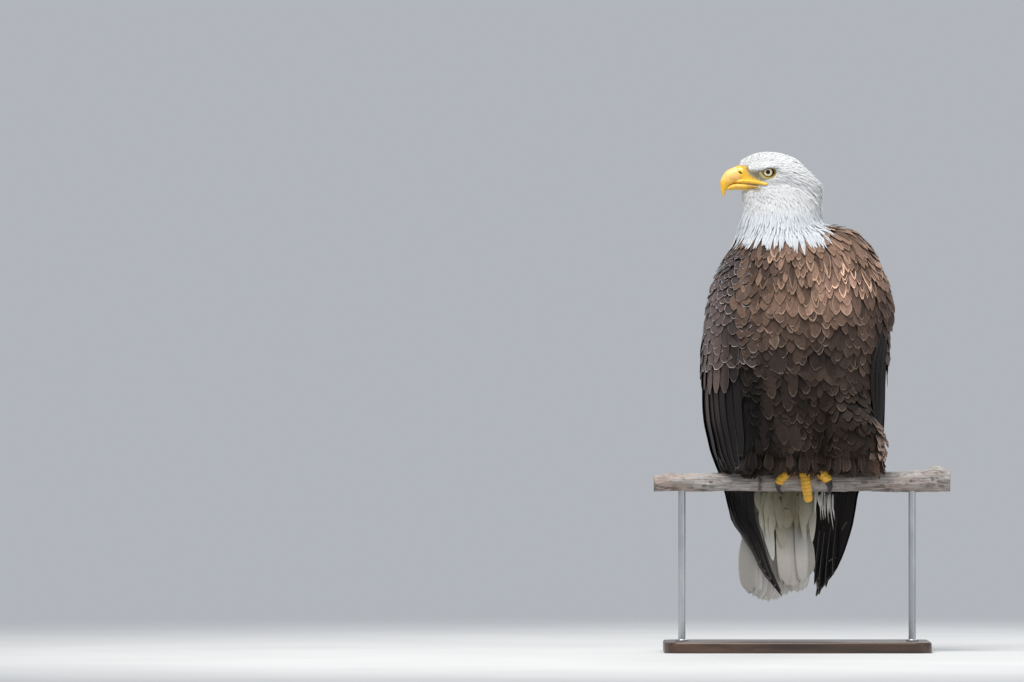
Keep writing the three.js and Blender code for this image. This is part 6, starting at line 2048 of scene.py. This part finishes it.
PLATES = {"outer": 7, "middle": 13, "inner": 8, "hind": 7}


def toe_rings(side, name):
    pts = TOES[side]["toes"][name]
    scale = 0.84 if side == "left" else 1.0
    r = TOE_RADIUS[name] * scale
    plates = PLATES[name] if side == "right" else 3

    def radius(t):
        end = np.where(t > 0.88, np.sqrt(np.clip(1 - ((t - 0.88) / 0.125) ** 2, 0.12, 1)), 1)
        joint = 0.35 * np.cos(t * 6 * np.pi)
        return (r * (0.97 - 0.12 * t) + joint) * end

    def shape(t, w):
        dorsal = np.clip(np.cos(w), 0, 1) ** 0.6
        ventral = np.clip(-np.cos(w), 0, 1) ** 0.7
        saw = (t * plates) % 1.0
        plate = (np.sin(np.pi * np.clip(saw, 0, 1)) ** 0.6 - 0.45) * 0.105 * step(0.12, 0.24, t)
        pads = 0.16 * np.cos(t * 6 * np.pi)
        return 1 + dorsal * plate + ventral * pads

    up = (-1, 0, 0.01) if name == "hind" else (1, 0, 0.01)
    return tube(pts, radius, 130 if name == "middle" else 96, 48, up=up, shape=shape)


def foot_material():
    m = Nodes("foot_scales")
    recess_shade, dorsal = m.attribute("recess_shade", "Fac"), m.attribute("dorsal", "Fac")
    at = m.coords()
    soft = m.noise(m.scaled(at, 90, 90, 90), 1.0, 3.0)
    cells = m.voronoi(m.scaled(at, 560, 560, 560), 1.0)
    c = m.mix(m.ramp(soft, 0.3, 0.7), (0.84, 0.42, 0.02), (0.92, 0.57, 0.07))
    c = m.mix(m.ramp(cells, 0.25, 0.6, 0.0, 0.35), c, (0.48, 0.22, 0.02))
    # painted shade in the folds between the toe scales
    c = m.mix(m.ramp(recess_shade, 0.3, 0.8), c, (0.48, 0.24, 0.035))
    dirt = m.noise(m.scaled(at, 45, 45, 45), 1.0, 4.0)
    c = m.mix(m.ramp(dirt, 0.58, 0.78, 0.0, 0.5), c, (0.25, 0.15, 0.06))
    m.set(Base_Color=c, Roughness=m.ramp(soft, 0.3, 0.7, 0.42, 0.58), Normal=m.bump(cells, 0.5, -0.0006))
    m.bsdf.inputs["Subsurface Weight"].default_value = 0.08
    m.bsdf.inputs["Subsurface Radius"].default_value = (0.003, 0.0015, 0.0008)
    return m.mat


def claw_material():
    m = Nodes("claw_horn")
    at = m.coords()
    base = m.attribute("base", "Fac")
    soft = m.noise(m.scaled(at, 150, 150, 150), 1.0, 3.0)
    fine = m.noise(m.scaled(at, 900, 300, 900), 1.0, 2.0)
    c = m.mix(m.ramp(soft, 0.3, 0.7), (0.0045, 0.0042, 0.005), (0.014, 0.012, 0.012))
    c = m.mix(m.math("MULTIPLY", base, 0.6), c, (0.10, 0.075, 0.05))
    m.set(Base_Color=c, Roughness=m.ramp(fine, 0.3, 0.7, 0.2, 0.34), Normal=m.bump(fine, 0.2, 0.0003))
    m.bsdf.inputs["Coat Weight"].default_value = 0.2
    m.bsdf.inputs["Coat Roughness"].default_value = 0.15
    return m.mat


M_FOOT, M_CLAW = foot_material(), claw_material()


def feet():
    for side in ("right", "left"):
        leg = TOES[side]["leg"]
        pts = [leg[0], list((np.array(leg[0]) + leg[1]) / 2), leg[1]]
        parts = [loft(tube(pts, lambda t: 8.6 + 0 * t, 16, 32))] + [loft(toe_rings(side, k)) for k in ("outer", "middle", "inner", "hind")]
        v, f = remeshed(parts, 0.8)
        e = edges_of(f)
        v = smooth_shape(v, e, 2)
        # painted shade in the folds: where the surface lies below its own blurred shape
        n, _ = normals_of(v, f)
        recess_shade = ((blurred(v, e, 14) - v) * n).sum(1)
        recess_shade = np.clip(0.5 + recess_shade / 0.7, 0, 1)
        # the toes press onto the wood
        ax = v[:, 0]
        dz, r = np.moveaxis(PERCH(ax), -1, 0)
        yy, zz = v[:, 1], v[:, 2] - PERCH_Z - dz
        rr = np.hypot(yy, zz)
        push = np.maximum(r + 0.5 - rr, 0)
        v[:, 1] += yy / np.maximum(rr, 1) * push
        v[:, 2] += zz / np.maximum(rr, 1) * push
        solid_piece("toes_" + side, v, [f], M_FOOT, ["foot_" + side], {"recess_shade": recess_shade, "dorsal": np.clip(n[:, 2], 0, 1)})
        for k in ("outer", "middle", "inner", "hind"):
            pts = np.array(TOES[side]["claws"][k], float)
            first = pts[0] + (pts[0] - pts[1]) * (0.35 if side == "right" else 0.5)
            r = CLAW_RADIUS[k] * (0.84 if side == "left" else 1.0)

            def shape(t, w):
                return 1 - 0.16 * np.clip(np.cos(w * 2), -1, 1) - 0.10 * np.clip(-np.cos(w), 0, 1) ** 4

            rings = tube(np.concatenate([[first], pts]), lambda t: r * np.clip(1 - t, 0, 1) ** 0.72 * (0.92 + 0.1 * np.sin(np.pi * np.clip(t * 2.5, 0, 1))) + 0.22, 44, 28, shape=shape)
            cv, cq, ct = loft(rings)
            t = np.concatenate([np.repeat(np.linspace(0, 1, 44), 28), [0, 1]])
            solid_piece("talon_" + side + "_" + k, cv, [cq, ct], M_CLAW, ["claw_" + side + "_" + k], {"base": 1 - step(0.12, 0.34, t)})


# ---- branch
PERCH = Table([
    [-236, -2.5, 13.4], [-205, -1, 14.2], [-160, 0, 14.8], [-100, 0, 15], [-40, 0, 15.2], [30, -0.4, 15], [90, -0.2, 15.4], [140, 0.4, 16.6],
    [180, 1.2, 17.2], [208, 2.4, 18.6], [228, 4.5, 21], [240, 3.6, 19.4], [252, 1.4, 17.4],
])


def branch():
    n, m = 132, 420
    xs = np.linspace(-236, 252, m)
    w = 2 * np.pi * np.arange(n) / n
    X, Wa = np.meshgrid(xs, w, indexing="ij")
    dz, r = np.moveaxis(PERCH(X), -1, 0)
    stub = 4.5 * bell(X + 209, 6) * bell(Wa - np.pi / 2, 0.5)
    knot = 4 * bell(X - 231, 9) * bell(Wa - 1.25, 0.7)
    rough = 0.5 * np.sin(3 * Wa + X / 31) + 0.4 * np.sin(5 * Wa - X / 17)
    ring = np.stack([X * 0.16, 15 * np.cos(Wa), 15 * np.sin(Wa)], -1)
    lumps = (noise(ring, 5.5, 31) - 0.5) * 1.3 + (noise(np.stack([X * 0.5, 15 * np.cos(Wa), 15 * np.sin(Wa)], -1), 3.0, 33) - 0.5) * 0.55
    twist = Wa + X / 260
    grain = noise(np.stack([X * 0.045, 15 * np.cos(twist), 15 * np.sin(twist)], -1), 1.35, 35)
    crack = np.clip((0.30 - np.abs(noise(np.stack([X * 0.028, 15 * np.cos(twist), 15 * np.sin(twist)], -1), 2.6, 37) - 0.5) * 9), 0, 0.3) / 0.3
    crack = crack * step(0.42, 0.6, noise(np.stack([X * 0.3, 15 * np.cos(Wa), 15 * np.sin(Wa)], -1), 14, 39))
    flake = step(0.60, 0.64, noise(np.stack([X * 0.55, 15 * np.cos(Wa), 15 * np.sin(Wa)], -1), 6.5, 41))
    small = 0
    for k, (kx, kw, size) in enumerate([(-188, 2.2, 2.2), (-142, 4.4, 2.0), (-118, 0.9, 2.6), (-66, 1.4, 1.8), (78, 5.0, 2.2), (118, 0.6, 2.6), (163, 4.3, 2.4), (196, 2.5, 2.2)]):
        d = np.sqrt((X - kx) ** 2 + (14 * ((Wa - kw + np.pi) % (2 * np.pi) - np.pi)) ** 2)
        small = small + 1.5 * np.exp(-(d / (size * 2.2)) ** 2) - 1.9 * np.exp(-(d / size) ** 2)
    rr = r + rough + stub + knot + lumps - 0.55 * crack + (grain - 0.5) * 0.5 - 0.35 * flake + small
    rings = np.stack([X, rr * np.cos(Wa) * 1.02, PERCH_Z + dz + rr * np.sin(Wa)], -1)
    parts_v = rings.reshape(-1, 3)
    i, j = np.meshgrid(np.arange(m - 1), np.arange(n), indexing="ij")
    a, b = i * n + j, i * n + (j + 1) % n
    quads = [np.stack([a, b, b + n, a + n], -1).reshape(-1, 4)]
    verts = [parts_v]
    at = m * n
    tris = []
    radial = [np.zeros(m * n)]
    # sawn ends: dished rings of growth with a bevelled lip
    for end, sign in ((0, -1), (m - 1, 1)):
        last = end * n + np.arange(n)
        edge_ring = parts_v[last]
        c = edge_ring.mean(0)
        for k, f in enumerate([0.96, 0.86, 0.74, 0.6, 0.45, 0.3, 0.15]):
            ring_v = c + (edge_ring - c) * f
            ring_v[:, 0] = xs[end] + sign * (0.5 if k == 0 else 0.6 - 0.12 * (k % 2)) * 1.0
            verts.append(ring_v)
            radial.append(np.full(n, 1.0))
            new = at + np.arange(n)
            q = np.stack([last, np.roll(last, -1), np.roll(new, -1), new], -1)
            quads.append(q if sign > 0 else q[:, ::-1])
            last = new
            at += n
        verts.append((c + [sign * 0.5, 0, 0])[None])
        radial.append(np.ones(1))
        t = np.stack([last, np.roll(last, -1), np.full(n, at)], -1)
        tris.append(t if sign > 0 else t[:, ::-1])
        at += 1
    # outward faces
    quads[0] = quads[0][:, ::-1]
    m2 = Nodes("weathered_wood")
    at3 = m2.coords()
    cut = m2.attribute("cut", "Fac")
    recess_shade = m2.attribute("recess_shade", "Fac")
    bark = m2.attribute("bark", "Fac")
    long = m2.noise(m2.scaled(at3, 14, 420, 420), 1.0, 4.0, 0.6)
    wide = m2.noise(m2.scaled(at3, 9, 60, 60), 1.0, 3.0)
    spots = m2.noise(m2.scaled(at3, 70, 160, 160), 1.0, 3.0)
    c = m2.mix(m2.ramp(long, 0.3, 0.72), (0.23, 0.205, 0.19), (0.50, 0.47, 0.45))
    c = m2.mix(m2.ramp(wide, 0.42, 0.7, 0.0, 0.55), c, (0.38, 0.26, 0.20))
    c = m2.mix(m2.ramp(spots, 0.56, 0.7, 0.0, 0.55), c, (0.10, 0.085, 0.08))
    # painted shade in the cracks and pits
    c = m2.mix(m2.math("MULTIPLY", recess_shade, 0.8), c, (0.06, 0.045, 0.04))
    c = m2.mix(bark, c, (0.035, 0.028, 0.026))
    x, y, z = m2.split(at3)
    ry = m2.math("ADD", y, -PERCH_Y / 1000)
    rz = m2.math("SUBTRACT", z, PERCH_Z / 1000)
    rad = m2.math("SQRT", m2.math("ADD", m2.math("MULTIPLY", ry, ry), m2.math("MULTIPLY", rz, rz)))
    waves = m2.math("SINE", m2.math("MULTIPLY_ADD", rad, 4200.0, m2.math("MULTIPLY", wide, 9.0)))
    sawn = m2.mix(m2.ramp(waves, -0.4, 0.9), (0.42, 0.30, 0.19), (0.62, 0.49, 0.34))
    saw_marks = m2.noise(m2.scaled(at3, 60, 1400, 90), 1.0, 2.0)
    sawn = m2.mix(m2.ramp(saw_marks, 0.45, 0.75, 0.0, 0.35), sawn, (0.33, 0.26, 0.2))
    c = m2.mix(cut, c, sawn)
    m2.set(Base_Color=c, Roughness=m2.ramp(long, 0.3, 0.7, 0.72, 0.9), Normal=m2.bump(m2.math("ADD", long, m2.math("MULTIPLY", spots, 0.5)), 0.6, 0.0008))
    band = bell(X + 61, 5.0) * (0.55 + 0.8 * noise(np.stack([X, 15 * np.cos(Wa), 15 * np.sin(Wa)], -1), 4, 43))
    patches = step(0.63, 0.70, noise(np.stack([X * 0.6, 15 * np.cos(Wa), 15 * np.sin(Wa)], -1), 11, 45)) * 0.5
    dark_low = step(0.55, 0.75, noise(np.stack([X * 0.4, 15 * np.cos(Wa), 15 * np.sin(Wa)], -1), 8, 47)) * 0.35
    bark_v = np.clip(np.maximum(0.75 * step(0.35, 0.95, band), np.maximum(patches * flake, dark_low * step(0.3, -0.5, np.sin(Wa)))), 0, 1)
    extra = at - m * n
    solid_piece("branch", np.concatenate(verts), [np.concatenate(quads), np.concatenate(tris)], m2.mat, ["perch_branch"], {
        "cut": np.concatenate(radial), "recess_shade": np.concatenate([np.clip(crack + 0.7 * flake * 0.3, 0, 1).ravel(), np.zeros(extra)]), "bark": np.concatenate([bark_v.ravel(), np.zeros(extra)])})


branch()
feet()


# ---- stand
def stand():
    low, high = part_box("stand_base")
    cx, cy = (low[0] + high[0]) * 500, (low[1] + high[1]) * 500
    sx, sy, top = (high[0] - low[0]) * 500, (high[1] - low[1]) * 500, high[2] * 1000
    corner = 28.0

    def outline_at(inset, n=24):
        pts = []
        for qx, qy, a0 in ((1, 1, 0), (-1, 1, 90), (-1, -1, 180), (1, -1, 270)):
            for a in np.linspace(a0, a0 + 90, n):
                pts.append([cx + qx * (sx - corner) + (corner - inset) * math.cos(a * DEG), cy + qy * (sy - corner) + (corner - inset) * math.sin(a * DEG)])
        return np.array(pts)

    rings = []
    for inset, z in ((1.2, 0.0), (0.3, 0.6), (0.0, 1.6), (0.0, top - 4.0), (0.25, top - 2.6), (0.9, top - 1.2), (1.8, top - 0.35), (2.9, top), (6, top), (20, top)):
        o = outline_at(inset)
        rings.append(np.concatenate([o, np.full((len(o), 1), z)], 1))
    v, q, t = loft(np.array(rings))
    v = v - [0, PERCH_Y, 0]
    m = Nodes("stained_wood")
    at = m.coords()
    bend = m.noise(m.scaled(at, 3, 9, 9), 1.0, 2.0)
    rings_f = m.noise(m.join(m.math("MULTIPLY", m.split(at)[0], 5.0), m.math("MULTIPLY_ADD", m.split(at)[1], 90.0, m.math("MULTIPLY", bend, 3.0)), m.math("MULTIPLY", m.split(at)[2], 60.0)), 1.0, 3.0)
    pores = m.noise(m.scaled(at, 60, 1500, 1500), 1.0, 2.0)
    c = m.mix(m.ramp(rings_f, 0.32, 0.7), (0.030, 0.015, 0.009), (0.105, 0.052, 0.029))
    c = m.mix(m.ramp(pores, 0.55, 0.72, 0.0, 0.6), c, (0.018, 0.010, 0.007))
    m.set(Base_Color=c, Roughness=m.ramp(rings_f, 0.3, 0.7, 0.36, 0.48), Normal=m.bump(pores, 0.25, -0.0003))
    m.bsdf.inputs["Coat Weight"].default_value = 0.3
    m.bsdf.inputs["Coat Roughness"].default_value = 0.3
    solid_piece("base_board", v, [q, t], m.mat, ["stand_base"])
    s = Nodes("brushed_rod")
    at = s.coords()
    lines = s.noise(s.scaled(at, 300, 300, 9000), 1.0, 2.0)
    wear = s.noise(s.scaled(at, 30, 30, 12), 1.0, 2.0)
    c = s.mix(s.ramp(wear, 0.35, 0.7), (0.46, 0.475, 0.49), (0.60, 0.61, 0.62))
    s.set(Base_Color=c, Roughness=s.ramp(lines, 0.3, 0.7, 0.26, 0.42), Normal=s.bump(lines, 0.15, 0.0002))
    s.bsdf.inputs["Metallic"].default_value = 1.0
    w = 2 * np.pi * np.arange(64) / 64
    for name in ("right", "left"):
        low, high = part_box("stand_rod_" + name)
        x, y, r = (low[0] + high[0]) * 500, (low[1] + high[1]) * 500, (high[0] - low[0]) * 500
        z0, z1 = low[2] * 1000, high[2] * 1000
        rings = []
        for z, rr in ((z0, r), (z0 + 0.2, r), (z0 + 90, r), (z0 + 180, r), (z1 - 0.2, r), (z1, r)):
            rings.append(np.stack([x + rr * np.cos(w), y + rr * np.sin(w), np.full(64, z)], -1))
        # a turned collar where the rod enters the board
        v, q, t = loft(np.array(rings))
        collar = []
        for z, rr in ((z0 - 0.2, r + 5.0), (z0 + 1.6, r + 5.0), (z0 + 2.4, r + 4.4), (z0 + 3.0, r + 3.0), (z0 + 3.2, r + 0.3), (z0 + 3.1, r - 0.5)):
            collar.append(np.stack([x + rr * np.cos(w), y + rr * np.sin(w), np.full(64, z)], -1))
        v2, q2, t2 = loft(np.array(collar))
        v, q, t = joined([(v, q, t), (v2, q2, t2)])
        solid_piece("rod_" + name, v - [0, PERCH_Y, 0], [q, t], s.mat, ["stand_rod_" + name])


stand()

for name, (batches, material, slot) in COATS.items():
    coat_piece(name, batches, material, REPLACES.get(name, ()))

# ---- skin
def skin_piece():
    tint = skin_tint(OUT)
    lore = lore_share(OUT)
    lid_rim_and_brow_shade = np.zeros(len(OUT))
    verts, quads, shape = SKIN, OUT_F, OUT
    for side in (1, -1):
        lv, lq, ll = lid(side)
        quads = np.concatenate([quads, lq + len(verts)])
        verts = np.concatenate([verts, lv])
        shape = np.concatenate([shape, lv])
        tint = np.concatenate([tint, np.full((len(lv), 3), 0.5)])
        lore = np.concatenate([lore, np.ones(len(lv))])
        lid_rim_and_brow_shade = np.concatenate([lid_rim_and_brow_shade, ll])
    ob = make("skin", verts, [quads, OUT_T])
    me = ob.data
    att = me.attributes.new("tint", "FLOAT_COLOR", "POINT")
    att.data.foreach_set("color", np.concatenate([tint, np.ones((len(tint), 1))], 1).astype(np.float32).ravel())
    att = me.attributes.new("bare", "FLOAT", "POINT")
    att.data.foreach_set("value", lore.astype(np.float32))
    att = me.attributes.new("lip", "FLOAT", "POINT")
    att.data.foreach_set("value", lid_rim_and_brow_shade.astype(np.float32))
    hu, hv, hz = head_local(shape)
    border = np.interp(hz, [-14, -12.8, -10, -6, 2, 10, 18], [25, 27, 33, 43, 54, 58.5, 61.5])
    warm = step(-4.5, 3.5, hu - border + 3.0 * (noise(shape, 5, 61) - 0.5))
    ring = 1 - step(1.0, 1.28, np.sqrt(((hu - EYE_U) / 11.0) ** 2 + ((hz - EYE_Z + 0.8) / 8.9) ** 2))
    att = me.attributes.new("ring", "FLOAT", "POINT")
    att.data.foreach_set("value", ring.astype(np.float32))
    att = me.attributes.new("mouth", "FLOAT", "POINT")
    att.data.foreach_set("value", mouth_share(shape).astype(np.float32))
    att = me.attributes.new("warm", "FLOAT", "POINT")
    att.data.foreach_set("value", warm.astype(np.float32))
    uv = unwrap(shape)
    loops = np.empty(len(me.loops), np.int32)
    me.loops.foreach_get("vertex_index", loops)
    luv = uv[loops]
    start = np.empty(len(me.polygons), np.int32)
    size = np.empty(len(me.polygons), np.int32)
    me.polygons.foreach_get("loop_start", start)
    me.polygons.foreach_get("loop_total", size)
    high = np.maximum.reduceat(luv[:, 0], start)
    low = np.minimum.reduceat(luv[:, 0], start)
    wrap = np.repeat(high - low > 0.5, size)
    luv[:, 0] = np.where(wrap & (luv[:, 0] < 0.5), luv[:, 0] + 0.95, luv[:, 0])
    luv[:, 0] = np.where(wrap, np.minimum(luv[:, 0], 0.999), luv[:, 0])
    me.uv_layers.new(name="OFBake").uv.foreach_set("vector", luv.astype(np.float32).ravel())
    m = Nodes("plumage_skin")
    base = m.attribute("tint", "Color")
    bare = m.attribute("bare", "Fac")
    at = m.coords()
    grain = m.noise(m.scaled(at, 420, 420, 120), 1.0, 3.0)
    k = m.ramp(grain, 0.3, 0.7, 0.8, 1.15)
    base = m.mix(1.0, base, m.join(k, k, k), "MULTIPLY")
    pores = m.noise(m.scaled(at, 900, 900, 900), 1.0, 2.0)
    lore = m.mix(m.ramp(pores, 0.35, 0.65), (0.30, 0.265, 0.16), (0.47, 0.43, 0.30))
    dark = m.noise(m.scaled(at, 260, 260, 260), 1.0, 2.0)
    lore = m.mix(m.ramp(dark, 0.50, 0.66, 0.0, 0.7), lore, (0.17, 0.155, 0.12))
    lore = m.mix(m.attribute("ring", "Fac"), lore, m.mix(m.ramp(pores, 0.3, 0.7), (0.36, 0.25, 0.04), (0.52, 0.38, 0.08)))
    lore = m.mix(m.math("MULTIPLY", m.attribute("warm", "Fac"), 0.95), lore, (0.80, 0.44, 0.025))
    lore = m.mix(m.attribute("mouth", "Fac"), lore, m.mix(m.ramp(pores, 0.3, 0.7), (0.24, 0.145, 0.07), (0.36, 0.235, 0.12)))
    # dark lid rim, and the painted shade of the brow over the upper lid
    lore = m.mix(m.attribute("lip", "Fac"), lore, (0.020, 0.015, 0.012))
    base = m.mix(bare, base, lore)
    m.set(Base_Color=base, Roughness=0.75, Normal=m.bump(m.math("ADD", grain, pores), 0.4, 0.0006))
    me.materials.append(m.mat)
    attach(ob, "root")
    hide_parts("head", "neck", "trunk", "thigh_right", "thigh_left", "wing_right_coverts", "wing_left_coverts", "tail_coverts")
    print("skin", len(OUT_F) * 2 + len(OUT_T), "triangles")
    return ob


skin_piece()

# ---------------------------------------------------------------- floor, light and camera


def floor():
    n = 96
    rings = [0, 0.4, 0.9, 1.5, 2.3, 3.4, 5.0]
    verts = [[0, 0, 0]]
    for r in rings[1:]:
        for j in range(n):
            w = 2 * math.pi * j / n
            verts.append([r * math.cos(w), r * math.sin(w), 0])
    tris = [[0, 1 + j, 1 + (j + 1) % n] for j in range(n)]
    quads = []
    for i in range(len(rings) - 2):
        for j in range(n):
            a, b = 1 + i * n + j, 1 + i * n + (j + 1) % n
            quads.append([a, a + n, b + n, b])
    ob = make("floor", np.array(verts, float), [tris, quads], in_mm=False)
    m = Nodes("pale_floor")
    at = m.coords()
    k = m.noise(m.scaled(at, 3, 3, 3), 1.0, 3.0)
    m.set(Base_Color=m.mix(m.ramp(k, 0.3, 0.7), (0.60, 0.60, 0.595), (0.64, 0.64, 0.635)), Roughness=0.85)
    x, y, _ = m.split(at)
    far = m.math("SQRT", m.math("ADD", m.math("MULTIPLY", x, x), m.math("MULTIPLY", y, y)))
    clear = m.tree.nodes.new("ShaderNodeBsdfTransparent")
    both = m.tree.nodes.new("ShaderNodeMixShader")
    m.link(m.ramp(far, 0.9, 3.6), both.inputs[0])
    m.link(m.bsdf.outputs[0], both.inputs[1])
    m.link(clear.outputs[0], both.inputs[2])
    m.link(both.outputs[0], m.out.inputs[0])
    ob.data.materials.append(m.mat)


floor()
world = bpy.data.worlds.new("studio")
bpy.context.scene.world = world
world.use_nodes = True
world.node_tree.nodes["Background"].inputs[0].default_value = (0.80, 0.84, 0.90, 1)
world.node_tree.nodes["Background"].inputs[1].default_value = 0.55
view = bpy.context.scene.view_settings
view.view_transform = "Standard"
view.look = "None"


def area(name, at, target, size, power_w, color=(1, 1, 1)):
    light = bpy.data.lights.new(name, "AREA")
    light.shape = "DISK"
    light.size = size
    light.energy = power_w
    light.color = color
    ob = bpy.data.objects.new(name, light)
    bpy.context.scene.collection.objects.link(ob)
    ob.location = at
    ob.rotation_euler = (Vector(target) - Vector(at)).to_track_quat("-Z", "Y").to_euler()
    ob.visible_camera = False
    return ob


area("key", (-0.6, -1.25, 3.05), (0, 0, 0.6), 1.5, 104, (1.0, 0.985, 0.96))
area("fill", (2.0, -1.6, 1.3), (0, 0, 0.5), 2.0, 10, (0.92, 0.96, 1.0))
area("back", (0.6, 2.2, 2.2), (0, 0, 0.5), 1.8, 24, (0.95, 0.98, 1.0))

camera = bpy.data.cameras.new("photo_view")
camera.lens = 500
camera.sensor_width = 36
camera.clip_end = 100
cam = bpy.data.objects.new("photo_view", camera)
bpy.context.scene.collection.objects.link(cam)
cam.location = (-0.47025, -23.466 + PERCH_Y / 1000, 0.51315)
cam.rotation_euler = (math.pi / 2, 0, 0)
bpy.context.scene.camera = cam

print("coat triangles", TOTAL["coat"])
